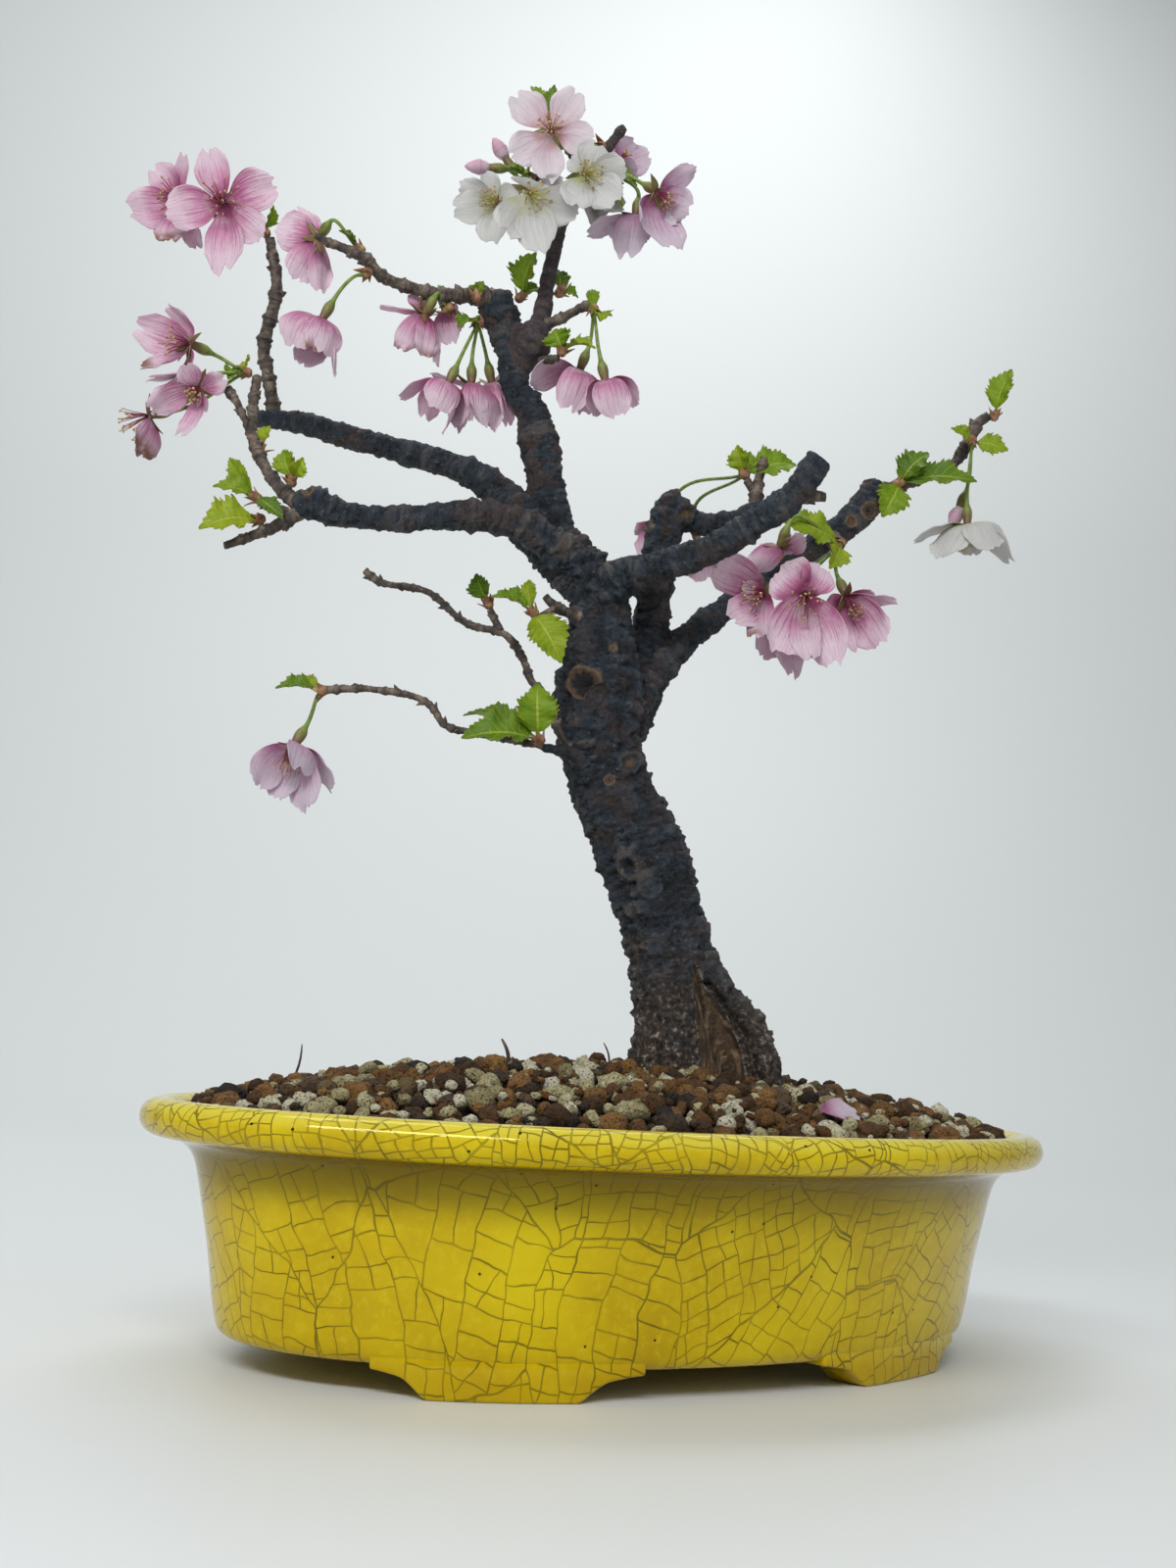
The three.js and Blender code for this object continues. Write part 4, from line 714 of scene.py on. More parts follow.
for upper, lower in zip(rows, rows[1:]):
    heap_faces += [(upper + (j + 1) % SIDES, upper + j, lower + j, lower + (j + 1) % SIDES)
                   for j in range(SIDES)]
heap_faces += [(rows[-1] + (j + 1) % SIDES, rows[-1] + j, len(all_points) - 1)
               for j in range(SIDES)]
heap.data.clear_geometry()
heap.data.from_pydata(metres(all_points).tolist(), [], heap_faces)
smooth(heap)
print("heap:", len(heap_faces), "faces")

# %% Twelve grains, shaken from a cube
shaker = random.Random(5)
grain_forms = []
for shape in range(12):
    pick()
    bpy.ops.mesh.primitive_cube_add(size=1.25)
    pebble = bpy.context.object
    edit(pebble)
    bpy.ops.mesh.subdivide(number_cuts=2)
    bpy.ops.transform.tosphere(value=0.72)
    bpy.ops.transform.vertex_random(offset=0.2, seed=shape * 7 + 3)
    leave_edit()
    form = coordinates(pebble)
    form *= [1, shaker.uniform(0.7, 0.95), shaker.uniform(0.6, 0.85)]
    grain_forms.append(form / np.abs(form).max())
    grain_faces = [tuple(p.vertices) for p in pebble.data.polygons]
    bpy.data.objects.remove(pebble)
print("one grain has", len(grain_faces) * 2, "triangles")


# %% Gather parts into one mesh
def gather(name, parts, *finishes):
    """One mesh from parts of (points, faces, finish number, tone): tone is red, green, blue
    and alpha numbers that a finish reads back from the attribute of that name."""
    points, faces, numbers, tones = [], [], [], []
    count = 0
    for part_points, part_faces, number, tone in parts:
        points.append(np.asarray(part_points, float))
        faces += [tuple(int(i) + count for i in face) for face in part_faces]
        numbers += [number] * len(part_faces)
        tones.append(np.broadcast_to(np.asarray(tone, float), (len(part_points), 4)))
        count += len(part_points)
    mesh = bpy.data.meshes.new(name)
    mesh.from_pydata(metres(np.vstack(points)).tolist(), [], faces)
    for finish in finishes:
        mesh.materials.append(finish.material)
    mesh.polygons.foreach_set("material_index", numbers)
    layer = mesh.attributes.new("tone", "FLOAT_COLOR", "POINT")
    layer.data.foreach_set("color", np.vstack(tones).ravel())
    mesh.validate()
    mesh.update()
    piece = bpy.data.objects.new(name, mesh)
    bpy.context.collection.objects.link(piece)
    return piece


# %% Random turns
def random_turn(rng):
    q = rng.normal(size=4)
    w, x, y, z = q / np.linalg.norm(q)
    return np.array([[1 - 2 * (y * y + z * z), 2 * (x * y - z * w), 2 * (x * z + y * w)],
                     [2 * (x * y + z * w), 1 - 2 * (x * x + z * z), 2 * (y * z - x * w)],
                     [2 * (x * z - y * w), 2 * (y * z + x * w), 1 - 2 * (x * x + y * y)]])


# %% [markdown]
# ## The limbs
# The trunk leans, forks, and every limb has its own kinks, so the tree is not grown by a
# rule: each limb is a list of places along it with its width there. A smooth curve runs
# through the places. All thick limbs become tubes, the tubes are fused by a voxel remesh,
# as clay limbs are pressed together, and the joins are smoothed; thin twigs stay tubes.

# %% Limbs: across, down, behind, width
LIMBS = {
    "trunk": [(705, 1190, 0, 96), (706, 1130, 0, 104), (701, 1085, 0, 108), (697, 1040, 0, 100),
        (690, 1000, 0, 94), (681, 960, 0, 86), (669, 915, 0, 90), (652, 868, 0, 94),
        (636, 832, 0, 86), (620, 795, 0, 82), (611, 755, 0, 86), (611, 708, 0, 92),
        (612, 665, 0, 76), (612, 625, 0, 62), (610, 590, 0, 54)],
    "root_right": [(700, 948, -2, 36), (722, 1000, -6, 40), (748, 1040, -6, 50),
        (768, 1080, -6, 56), (772, 1180, -6, 50)],
    "root_back": [(684, 940, 0, 56), (690, 990, 7, 64), (702, 1060, 14, 72), (704, 1120, 18, 74),
        (704, 1185, 18, 64)],
    "root_left": [(680, 1020, -6, 36), (665, 1068, -8, 44), (670, 1180, -8, 40)],
    "root_flare": [(676, 1050, 0, 36), (659, 1086, 0, 36), (647, 1112, 0, 36), (640, 1150, 0, 34)],
    "leader": [(609, 604, 0, 48), (596, 575, 0, 44), (571, 548, 1, 38), (558, 500, 2, 38),
        (550, 452, 3, 43), (543, 423, 4, 34), (526, 393, 4, 31), (522, 356, 5, 32),
        (513, 328, 5, 38), (504, 304, 5, 38)],
    "swelling": [(533, 376, 3, 20), (543, 352, 1, 42), (547, 332, 2, 24)],
    "top_branch": [(541, 352, 2, 26), (552, 325, 3, 20), (560, 280, 3, 16), (572, 232, 1, 14),
        (585, 200, 0, 13), (637, 129, -2, 11)],
    "top_spur_left": [(581, 209, 0, 9), (562, 190, 4, 8), (546, 181, 6, 8)],
    "top_spur_back": [(600, 178, 0, 9), (580, 152, 7, 8), (562, 128, 9, 7)],
    "crown_twig": [(507, 306, 4, 22), (480, 302, 0, 15), (447, 300, -4, 13), (405, 289, -9, 12),
        (387, 280, -11, 12), (374, 265, -13, 12), (333, 246, -18, 8), (322, 240, -20, 7)],
    "upper_left": [(606, 602, -2, 54), (576, 576, -2, 48), (546, 547, 0, 44), (520, 514, 2, 38),
        (498, 494, 3, 34), (470, 479, 4, 29), (357, 446, 6, 25), (298, 430, 6, 22),
        (254, 427, 6, 15)],
    "upper_shoot": [(281, 430, 6, 14), (273, 379, 3, 13), (269, 355, 2, 13), (281, 305, 0, 13),
        (282, 284, 0, 11), (275, 243, 0, 10)],
    "lower_left": [(588, 578, -5, 42), (560, 555, -9, 38), (535, 538, -12, 34),
        (500, 527, -15, 33), (410, 529, -20, 27), (367, 527, -22, 27), (340, 522, -24, 32),
        (318, 515, -25, 36), (302, 520, -25, 22)],
    "lower_shoot": [(304, 516, -25, 16), (277, 487, -24, 12), (258, 445, -20, 12),
        (258, 419, -18, 10), (262, 385, -16, 10)],
    "lower_shoot_fork": [(258, 448, -20, 8), (249, 426, -18, 7), (240, 408, -17, 8),
        (232, 397, -16, 11)],
    "lower_tip": [(308, 521, -25, 18), (286, 535, -26, 13), (229, 557, -29, 8)],
    "lower_stub": [(294, 522, -25, 9), (279, 517, -26, 8), (268, 512, -27, 8)],
    "low_spur": [(604, 777, -6, 20), (576, 767, -14, 16), (550, 761, -20, 9)],
    "low_twig": [(553, 761, -20, 7), (480, 747, -24, 7), (456, 741, -26, 7), (434, 716, -28, 7),
        (378, 703, -30, 7), (331, 704, -32, 9)],
    "bare_twig": [(588, 772, -8, 10), (573, 752, -10, 9), (556, 710, -5, 8), (542, 694, -2, 8),
        (533, 671, 2, 8), (516, 648, 5, 8), (476, 636, 9, 7), (436, 604, 13, 7), (388, 594, 16, 7),
        (372, 582, 17, 8)],
    "bare_twig_spur": [(511, 643, 5, 7), (505, 632, 6, 7), (500, 622, 6, 8)],
    "trunk_twig": [(600, 634, -5, 12), (566, 618, -12, 10), (556, 608, -13, 8)],
    "trunk_twig_fork": [(568, 619, -12, 7), (553, 629, -14, 8)],
    "right_front": [(612, 606, -4, 48), (640, 588, -8, 40), (665, 581, -12, 35),
        (689, 574, -15, 33), (730, 558, -20, 32), (771, 533, -25, 31), (806, 509, -29, 30),
        (823, 487, -31, 29), (837, 466, -33, 27)],
    "right_front_nub": [(812, 507, -28, 16), (830, 506, -26, 13), (842, 507, -25, 10)],
    "elbow": [(656, 604, 6, 40), (672, 576, 9, 38), (677, 548, 12, 38), (686, 522, 14, 42),
        (696, 510, 14, 34)],
    "elbow_arm": [(688, 520, 14, 30), (716, 535, 15, 25), (745, 534, 10, 25), (771, 523, 0, 22),
        (787, 518, -6, 14)],
    "elbow_nub": [(676, 552, 11, 16), (667, 542, 10, 12), (663, 533, 10, 11)],
    "sprout_twig": [(769, 524, 0, 16), (772, 502, 1, 12), (776, 483, 2, 9), (780, 467, 2, 8)],
    "sprout_twig_fork": [(771, 505, 1, 9), (762, 490, 1, 9)],
    "rear_stem": [(636, 740, 6, 56), (653, 702, 11, 46), (660, 665, 13, 36), (664, 635, 13, 37),
        (669, 605, 11, 36), (673, 583, 9, 36)],
    "right_lower": [(628, 748, 4, 58), (651, 709, 8, 46), (671, 683, 11, 36), (704, 648, 15, 30),
        (744, 619, 19, 28), (826, 561, 25, 28), (861, 537, 27, 30), (885, 513, 29, 33),
        (894, 494, 30, 26)],
    "right_tip": [(884, 513, 30, 18), (908, 499, 30, 14), (949, 485, 30, 10), (972, 474, 29, 10),
        (990, 448, 27, 13), (998, 432, 26, 11), (1009, 424, 25, 10)],
    "bloom_spur": [(846, 550, 25, 16), (852, 551, 16, 12), (856, 554, 10, 11)],
    "crown_spur": [(549, 335, 2, 13), (571, 326, 1, 10), (590, 316, 0, 9), (603, 310, -1, 9)],
    "crown_spur_low": [(545, 366, 1, 10), (560, 367, -2, 8), (570, 365, -4, 8)],
}
THICK = 14
thick_limbs = [name for name, path in LIMBS.items() if np.mean([p[3] for p in path]) > THICK]
print(len(LIMBS), "limbs, of them thick:", len(thick_limbs))


# %% A smooth line through a limb's places
def smooth_line(points, per_mm=1.0):
    """Points on the centripetal curve, with each one's place in the list."""
    points = np.asarray(points, float)
    whole = np.vstack([2 * points[0] - points[1], points, 2 * points[-1] - points[-2]])
    out, where = [], []
    for i in range(len(points) - 1):
        a, b, c, d = whole[i:i + 4]
        da, db, dc = [max(np.linalg.norm(q - p), 1e-4) ** 0.5 for p, q in ((a, b), (b, c), (c, d))]
        first = ((b - a) / da - (c - a) / (da + db) + (c - b) / db) * db
        second = ((c - b) / db - (d - b) / (db + dc) + (d - c) / dc) * db
        count = max(2, int(np.linalg.norm(c - b) * per_mm))
        steps = range(count + (i == len(points) - 2))
        for t in (k / count for k in steps):
            out.append(b + first * t + (-3 * b + 3 * c - 2 * first - second) * t * t
                       + (2 * b - 2 * c + first + second) * t ** 3)
            where.append(i + t)
    return np.array(out), np.array(where)


def tangents(line):
    ahead = np.gradient(line, axis=0)
    return ahead / np.linalg.norm(ahead, axis=1)[:, None]


def lengths_along(line):
    return np.concatenate([[0], np.cumsum(np.linalg.norm(np.diff(line, axis=0), axis=1))])


def limb_line(path, per_mm):
    """A limb's middle line and its radius along it, from its entry in the list."""
    line, where = smooth_line([spot(p) for p in path], per_mm)
    return line, np.interp(where, range(len(path)), [sized(p, p[3]) / 2 for p in path])


def carried_frames(ahead, start):
    """Two directions across a line at each of its points, turning as little as they can."""
    across = [square_to(start, ahead[0])]
    for direction in ahead[1:]:
        across.append(square_to(across[-1], direction))
    across = np.array(across)
    return across, np.cross(ahead, across)


ANY_WAY = np.array([0.31, 0.22, 0.9])


def tube(line, radii, sides, twist=0.0):
    """Points and faces of a bar along a line, closed at both ends."""
    across, side = carried_frames(tangents(line), ANY_WAY)
    turn = np.arange(sides) * 2 * math.pi / sides
    rows = len(line)
    radii = np.broadcast_to(np.asarray(radii, float), (rows,))
    phase = turn[None, :] + twist * np.arange(rows)[:, None]
    points = line[:, None, :] + radii[:, None, None] * (
        across[:, None, :] * np.cos(phase)[..., None] + side[:, None, :] * np.sin(phase)[..., None])
    faces = [(k * sides + j, k * sides + n, (k + 1) * sides + n, (k + 1) * sides + j)
             for k in range(rows - 1) for j, n in zip(range(sides), [*range(1, sides), 0])]
    faces += [tuple(range(sides))[::-1], tuple(range((rows - 1) * sides, rows * sides))]
    return points.reshape(-1, 3), faces


# %% Lines, widths and directions of all limbs
limb_lines = {}
for number, (name, path) in enumerate(LIMBS.items()):
    line, radius = limb_line(path, 0.8)
    ahead = tangents(line)
    across, side = carried_frames(ahead, heading(0, 0, 1))
    limb_lines[name] = {"line": line, "radius": radius, "ahead": ahead, "across": across,
                        "side": side, "along": lengths_along(line) + 97.0 * number}
print("trunk is", round(limb_lines["trunk"]["along"][-1]), "mm along,",
      round(2 * limb_lines["trunk"]["radius"].max()), "mm thick")

# %% [markdown]
# Fusing the thick limbs: each tube keeps blunt ends, because the real ends are saw cuts and
# knobs. The voxels are under a millimetre, small enough for the bark's flakes and large
# enough to keep the piece light.

# %% Fuse the thick limbs
wood = gather("wood", [(*tube(limb_lines[name]["line"], limb_lines[name]["radius"], 20), 0,
                        (0, 0, 0, 0)) for name in thick_limbs])
apply(wood, "REMESH", mode="VOXEL", voxel_size=0.0008)
apply(wood, "SMOOTH", factor=0.5, iterations=6)
print("fused wood:", len(wood.data.vertices), "points")


# %% [markdown]
# ## Bark in relief
# Cherry bark wraps the limb in bands: flakes, wrinkles and corky pores run round it, never
# along it. So every point of the wood is told how far along its own limb it lies and where
# round it, and all patterns are drawn in those straightened-out limbs. The flakes are cells
# round scattered points: each stands out by its own amount, with a crevice along its edge.
# The trunk also carries an old knot, ring-shaped scars where branches were cut, and a long
# open cleft at its foot; these are pressed in or raised round their places, and the masks
# for them colour the bark later.

# %% Smooth random relief
LATTICE = 32


def soft_noise(points, seed):
    """Smooth noise from -1 to 1 on a lattice of one unit."""
    lattice = np.random.default_rng(seed).uniform(-1, 1, (LATTICE,) * 3)
    cell = np.floor(points).astype(int)
    share = points - cell
    share = share * share * (3 - 2 * share)
    value = 0
    for corner in product((0, 1), repeat=3):
        weight = np.where(corner, share, 1 - share)
        value = value + (weight[:, 0] * weight[:, 1] * weight[:, 2]
                         * lattice[tuple(((cell + corner) % LATTICE).T)])
    return value


def flakes(points, seed):
    """Cells round scattered points, one to a lattice cell: each cell's own number from 0 to 1,
    and how near a point is to its cell's edge, 0 at the edge."""
    generator = np.random.default_rng(seed)
    places = generator.uniform(0.1, 0.9, (LATTICE, LATTICE, LATTICE, 3))
    heights = generator.uniform(0, 1, (LATTICE,) * 3)
    cell = np.floor(points).astype(int)
    first, second = np.full(len(points), 9.0), np.full(len(points), 9.0)
    own = np.zeros(len(points))
    for step in product((-1, 0, 1), repeat=3):
        near = cell + step
        key = tuple((near % LATTICE).T)
        far = np.linalg.norm(near + places[key] - points, axis=1)
        closer = far < first
        second = np.where(closer, first, np.minimum(second, far))
        first = np.where(closer, far, first)
        own = np.where(closer, heights[key], own)
    return own, second - first


def limb_points(names, *keys):
    """What the lists of these limbs hold under each key, every second point of them."""
    return [np.concatenate([limb_lines[n][key][::2] for n in names]) for key in keys]


def along_and_round(points, names, block=4000):
    """Each point in its own straightened limb, and the limb's radius there."""
    line, radius, along, ahead, across, side = limb_points(
        names, "line", "radius", "along", "ahead", "across", "side")
    best = np.empty(len(points), int)
    for row in range(0, len(points), block):
        off = points[row:row + block, None, :] - line[None]
        best[row:row + block] = np.argmin(np.sqrt((off ** 2).sum(axis=2)) - radius[None], axis=1)
    out = points - line[best]
    straight = np.column_stack([(out * across[best]).sum(axis=1), (out * side[best]).sum(axis=1),
                                along[best] + (out * ahead[best]).sum(axis=1)])
    return straight, radius[best]


wood_points = millimetres(wood)
straight, limb_radius = along_and_round(wood_points, thick_limbs)
wood_normals = np.empty(len(wood_points) * 3)
wood.data.vertices.foreach_get("normal", wood_normals)
wood_normals = wood_normals.reshape(-1, 3)
print("limb radius from", limb_radius.min().round(1), "to", limb_radius.max().round(1))

# %% Wrinkles, flakes and knobs
stout = np.clip(limb_radius / 6, 0.5, 1.15)
collars = (np.clip(soft_noise(straight / [40, 40, 2.7], 12) - 0.2, 0, 1)
           * np.clip(1.7 - stout, 0, 1))
shaken = straight + 0.9 * np.column_stack([soft_noise(straight / 3.1, 11 + k) for k in range(3)])
knobs = soft_noise(straight / [8, 8, 7], 1) + 0.6 * soft_noise(straight / [3.6, 3.6, 3.0], 2)
wrinkles = soft_noise(shaken / [7, 7, 1.5], 3) + 0.7 * soft_noise(shaken / [3.4, 3.4, 0.9], 4)
coarse_own, coarse_edge = flakes(shaken / [8.5, 8.5, 2.9], 5)
fine_own, fine_edge = flakes(shaken / [3.6, 3.6, 1.5], 6)
warts = np.clip(soft_noise(straight / [2.4, 2.4, 1.9], 7) - 0.45, 0, 1) / 0.55
crevice = 0.6 * np.exp(-(coarse_edge / 0.14) ** 2) + 0.3 * np.exp(-(fine_edge / 0.2) ** 2)
relief = stout * (0.5 * knobs + 0.36 * wrinkles + 0.7 * (coarse_own - 0.45)
                  + 0.42 * (fine_own - 0.5) + 1.1 * warts + 1.3 * collars - crevice)
HIGHEST = 1.5
relief = np.where(relief > HIGHEST, HIGHEST + (relief - HIGHEST) * 0.4, relief)
to_young = np.full(len(wood_points), 99.0)
for place, radius in zip(*limb_points(("swelling", "top_branch"), "line", "radius")):
    to_young = np.minimum(to_young, np.linalg.norm(wood_points - place, axis=1) - radius)
youth = np.clip(1.4 - to_young / 1.2, 0, 1)
relief = relief * (1 - 0.6 * youth) + 0.25 * youth * soft_noise(straight / [9, 9, 1.1], 14)


def scar(across, down, depth, width, ring, hollow):
    """A round scar on the front of a limb: its raised ring and sunk middle, and its mask."""
    centre, radius = spot((across, down, depth)), sized((across, down, depth), width) / 2
    direction = unit(centre - EYE_IN_POT)
    off = wood_points - centre
    depth_along = off @ direction
    beside = np.linalg.norm(off - depth_along[:, None] * direction, axis=1)
    facing = (wood_normals @ direction < 0.1) & (np.abs(depth_along) < 14)
    x = beside / radius
    x = x * (1 + 0.15 * soft_noise(off / 2.6, int(across)) + 0.08 * soft_noise(off / 0.9, 3))
    shape = (ring * np.exp(-((x - 0.82) / 0.2) ** 2)
             + 0.3 * ring * np.exp(-((x - 0.45) / 0.10) ** 2) - hollow * np.exp(-(x / 0.5) ** 2))
    return np.where(facing, shape, 0), np.where(facing, np.clip(1.15 - x, 0, 1), 0)


# Each scar: across, down, behind, width, height of its ring, depth of its middle, bare wood.
SCARS = [(597, 699, 0, 36, 1.7, 3.2, 0.95), (314, 501, -25, 14, 0.9, 0.5, 0.6),
         (887, 521, 29, 18, 1.0, 0.7, 1.0), (868, 532, 27, 14, 0.7, 0.4, 0.6),
         (641, 884, 0, 24, 1.0, 1.6, 0.1), (700, 524, 14, 20, 1.0, 0.8, 0.3),
         (622, 796, 0, 13, 0.9, -1.2, 0.7), (543, 351, 1, 18, 0.8, 0.6, 0.2),
         (643, 778, 0, 24, 1.2, 0.5, 0.25), (664, 905, 0, 26, 0.9, -0.6, 0.12),
         (626, 661, 0, 13, 0.5, 0.2, 0.4)]
OPEN_KNOT = 3
scar_mask = np.zeros(len(wood_points))
for *entry, bare in SCARS:
    shape, mask = scar(*entry)
    relief = relief * (1 - 0.6 * np.clip(mask * 3, 0, 1)) + shape
    # Painted shade: in the open knot the hollow middle is pushed to the far, near-black end of the
    # scar colours.
    if entry[-1] > OPEN_KNOT:
        mask = np.where(mask > 0.48, 1.0, mask)
    scar_mask = np.maximum(scar_mask, mask * bare)

# %% The cleft at the foot
def along_sheet_line(entries, soft):
    """How much each point of the wood's front lies in a drawn stroke: across, down, width."""
    places = np.array([spot((across, down, 0)) for across, down, _ in entries])
    halves = [sized((across, down, 0), width) / 2 for across, down, width in entries]
    line, where = smooth_line(places, 1.5)
    half = np.interp(where, range(len(entries)), halves)
    line_of_sight = unit(places.mean(axis=0) - EYE_IN_POT)
    flat_points = wood_points - np.outer(wood_points @ line_of_sight, line_of_sight)
    flat_line = line - np.outer(line @ line_of_sight, line_of_sight)
    near = np.full(len(wood_points), 99.0)
    for place, breadth in zip(flat_line, half):
        near = np.minimum(near, np.linalg.norm(flat_points - place, axis=1) / breadth)
    front = ((wood_normals @ line_of_sight < 0.35)
             & (wood_points @ line_of_sight < places.mean(axis=0) @ line_of_sight + 4))
    return np.where(front, np.exp(-(near / soft) ** 4), 0)


cleft = along_sheet_line([(711, 986, 4), (716, 1008, 12), (725, 1035, 26), (732, 1062, 38),
                          (736, 1084, 44), (738, 1115, 48)], 0.95)
groove = along_sheet_line([(722, 1002, 5), (732, 1016, 8), (748, 1040, 14), (759, 1062, 17),
                           (765, 1084, 18), (769, 1115, 18)], 0.9)
CUT = 3.6
grain_lines = soft_noise(straight / [1.4, 1.4, 16], 8)
relief = relief * (1 - 0.85 * cleft) + (0.6 * grain_lines - CUT) * cleft
relief = relief * (1 - 0.7 * groove) - CUT * groove
put_coordinates(wood, metres(wood_points + wood_normals * relief[:, None]))
print("cleft takes in", int((cleft > 0.5).sum()), "points")


# %% Tell the finish about the bark
def mark(piece, name, kind, field, values):
    layer = piece.data.attributes.get(name) or piece.data.attributes.new(name, kind, "POINT")
    layer.data.foreach_set(field, values.ravel())


def mark_straight(piece, straight):
    mark(piece, "straight", "FLOAT_VECTOR", "vector", straight * 0.001)


high = np.clip(0.5 + relief / 3.2, 0, 1)
near_soil = np.clip((128 - wood_points[:, 2]) / 45, 0, 1)
mark_straight(wood, straight)
mark(wood, "tone", "FLOAT_COLOR", "color", np.column_stack([
    high, scar_mask, np.clip(cleft - groove, 0, 1), near_soil]))
mark(wood, "youth", "FLOAT", "value", youth)
smooth(wood)

# %% [markdown]
# ## Twigs
# The young twigs are smoother than the limbs, but not straight pipes: every leaf that fell
# left a little swelling with a bud on it. The tube's width swells at each of those nodes, and
# a small pointed bud is set beside some of them.

# %% Twigs as tubes with nodes
TWIG_SIDES = 12
PLAIN = (0.5, 0, 0, 0)
twig_parts, twig_straight = [], []
twig_random = random.Random(21)


def any_direction():
    return np.array([twig_random.uniform(-1, 1) for _ in range(3)])


def hump(along, node, width):
    return np.exp(-((along - node) / width) ** 2)


for name in [name for name in LIMBS if name not in thick_limbs]:
    line, radius = limb_line(LIMBS[name], 1.6)
    along, start = lengths_along(line), limb_lines[name]["along"][0]
    swell, node = np.zeros(len(line)), twig_random.uniform(3, 7)
    while node < along[-1] - 1:
        swell += 0.42 * hump(along, node, 0.7) + 0.2 * hump(along, node - 1.8, 0.5)
        if twig_random.random() < 0.6:
            k = int(np.argmin(np.abs(along - node)))
            aside = square_to(any_direction(), tangents(line)[k])
            tip = line[k] + aside * (radius[k] + 1.3) + tangents(line)[k] * 1.4
            root = line[k] + aside * radius[k] * 0.5
            bud_line = root + np.linspace(0, 1, 5)[:, None] * (tip - root)
            bud = tube(bud_line, radius[k] * np.array([0.5, 0.62, 0.52, 0.3, 0.05]), 7)
            twig_parts.append((*bud, 0, PLAIN))
            twig_straight.append(bud[0] * 0 + [0, 0, start + node])
        node += twig_random.uniform(3, 9)
    radius = radius * (0.97 + swell)
    jitter = np.array([any_direction() for _ in line]) * 0.11
    points, faces = tube(line + jitter, radius, TWIG_SIDES)
    centre = np.repeat(line, TWIG_SIDES, axis=0)
    points = centre + (points - centre) * (1 + 0.13 * soft_noise(points, 9))[:, None]
    twig_parts.append((points, faces, 0, PLAIN))
    turn = np.tile(np.arange(TWIG_SIDES) * 2 * math.pi / TWIG_SIDES, len(line))
    twig_straight.append(np.column_stack([np.repeat(radius, TWIG_SIDES) * np.cos(turn),
                                          np.repeat(radius, TWIG_SIDES) * np.sin(turn),
                                          np.repeat(along + start, TWIG_SIDES)]))
twigs = gather("twigs", twig_parts)
mark_straight(twigs, np.vstack(twig_straight))
smooth(twigs, 60)

# %% [markdown]
# ## Bark finishes
# Old bark is nearly black, with brown patches, pale dashes of cork round the limb, tan wood in
# the scars and the cleft, and a grey crust near the soil. The colour also follows the relief:
# ridges and raised flakes are lighter and browner, partly their own colour and partly painted
# highlights, and low places are darker, partly the bark's own furrows and partly painted
# crevice shade; the open knot's hollow is painted near black as painted shade. The tone marks
# carry relief, scars, cleft and the share of crust; noise stretched round the limb does the
# rest. Twigs take a plainer, browner finish with the same pores.

# %% Old bark
bark = Finish("old_cherry_bark", 0.72)
limb_place = bark.attribute("straight", "Vector")
high_mark, scar_mark, cleft_mark = bark.parts(bark.attribute("tone"))[:3]
crust_mark = bark.attribute("tone", "Alpha")
banded = bark.stretch(limb_place, 0.25, 0.25, 1.0)
coarse = bark.grain(limb_place, 230.0, 5.0, 0.62)
wrinkle = bark.grain(banded, 1100.0, 5.0, 0.62)
flake = bark.grain(limb_place, 850.0, 6.0, 0.7)
# The base colour follows the relief height: darker in the low places, partly the bark's own furrows
# and partly painted crevice shade, and lighter on the high ones.
shade = bark.ramp(bark.mixed(high_mark, coarse, 0.5), (0.30, (12, 18, 26)), (0.44, (31, 43, 56)),
                  (0.56, (54, 66, 79)), (0.72, (93, 97, 100)))
bark_height = bark.put("SeparateXYZ", {0: bark.place()}, "Z")
red_brown = bark.times(bark.between(bark.grain(limb_place, 110.0, 3.0), 0.48, 0.62),
                       bark.between(bark_height, 0.2, 0.31, 0.36, 0.68))
shade = bark.blend(red_brown, shade, (90, 68, 56))
# Partly painted highlight: where the relief stands high the ridges turn lighter and browner.
shade = bark.tint(shade, (high_mark, 0.56, 0.82, 0.0, 0.5, (104, 88, 76)))
young = bark.ramp(bark.grain(banded, 420.0, 4.0), (0.35, (56, 45, 46)), (0.6, (112, 92, 92)))
shade = bark.blend(bark.times(bark.attribute("youth", "Fac"), 0.75), shade, young)
pores = bark.grain(bark.stretch(limb_place, 0.45, 0.45, 1.2), 420.0, 2.0, 0.5)
# The wrinkles and flakes are also the bumps: where they stand high the bark is painted lighter,
# where they sink darker, partly their own tone and partly painted highlights and crevice shade. The
# cork pores are the bark's own.
shade = bark.tint(shade, (wrinkle, 0.52, 0.70, 0.0, 0.5, (80, 83, 86)),
                  (wrinkle, 0.32, 0.42, 0.6, 0.0, (20, 21, 24)),
                  (flake, 0.58, 0.68, 0.0, 0.7, (134, 126, 116)),
                  (flake, 0.34, 0.44, 0.7, 0.0, (12, 13, 16)),
                  (pores, 0.69, 0.76, 0.0, 0.55, (124, 94, 70)))
crust = bark.ramp(bark.grain(limb_place, 700.0, 5.0, 0.65), (0.36, (24, 20, 18)),
                  (0.48, (78, 62, 49)), (0.58, (124, 106, 86)), (0.66, (216, 208, 196)))
crust_patch = bark.between(bark.grain(limb_place, 130.0, 3.0), 0.36, 0.58, 0.45, 1.0)
shade = bark.blend(bark.times(bark.times(crust_mark, crust_patch), 0.95), shade, crust)
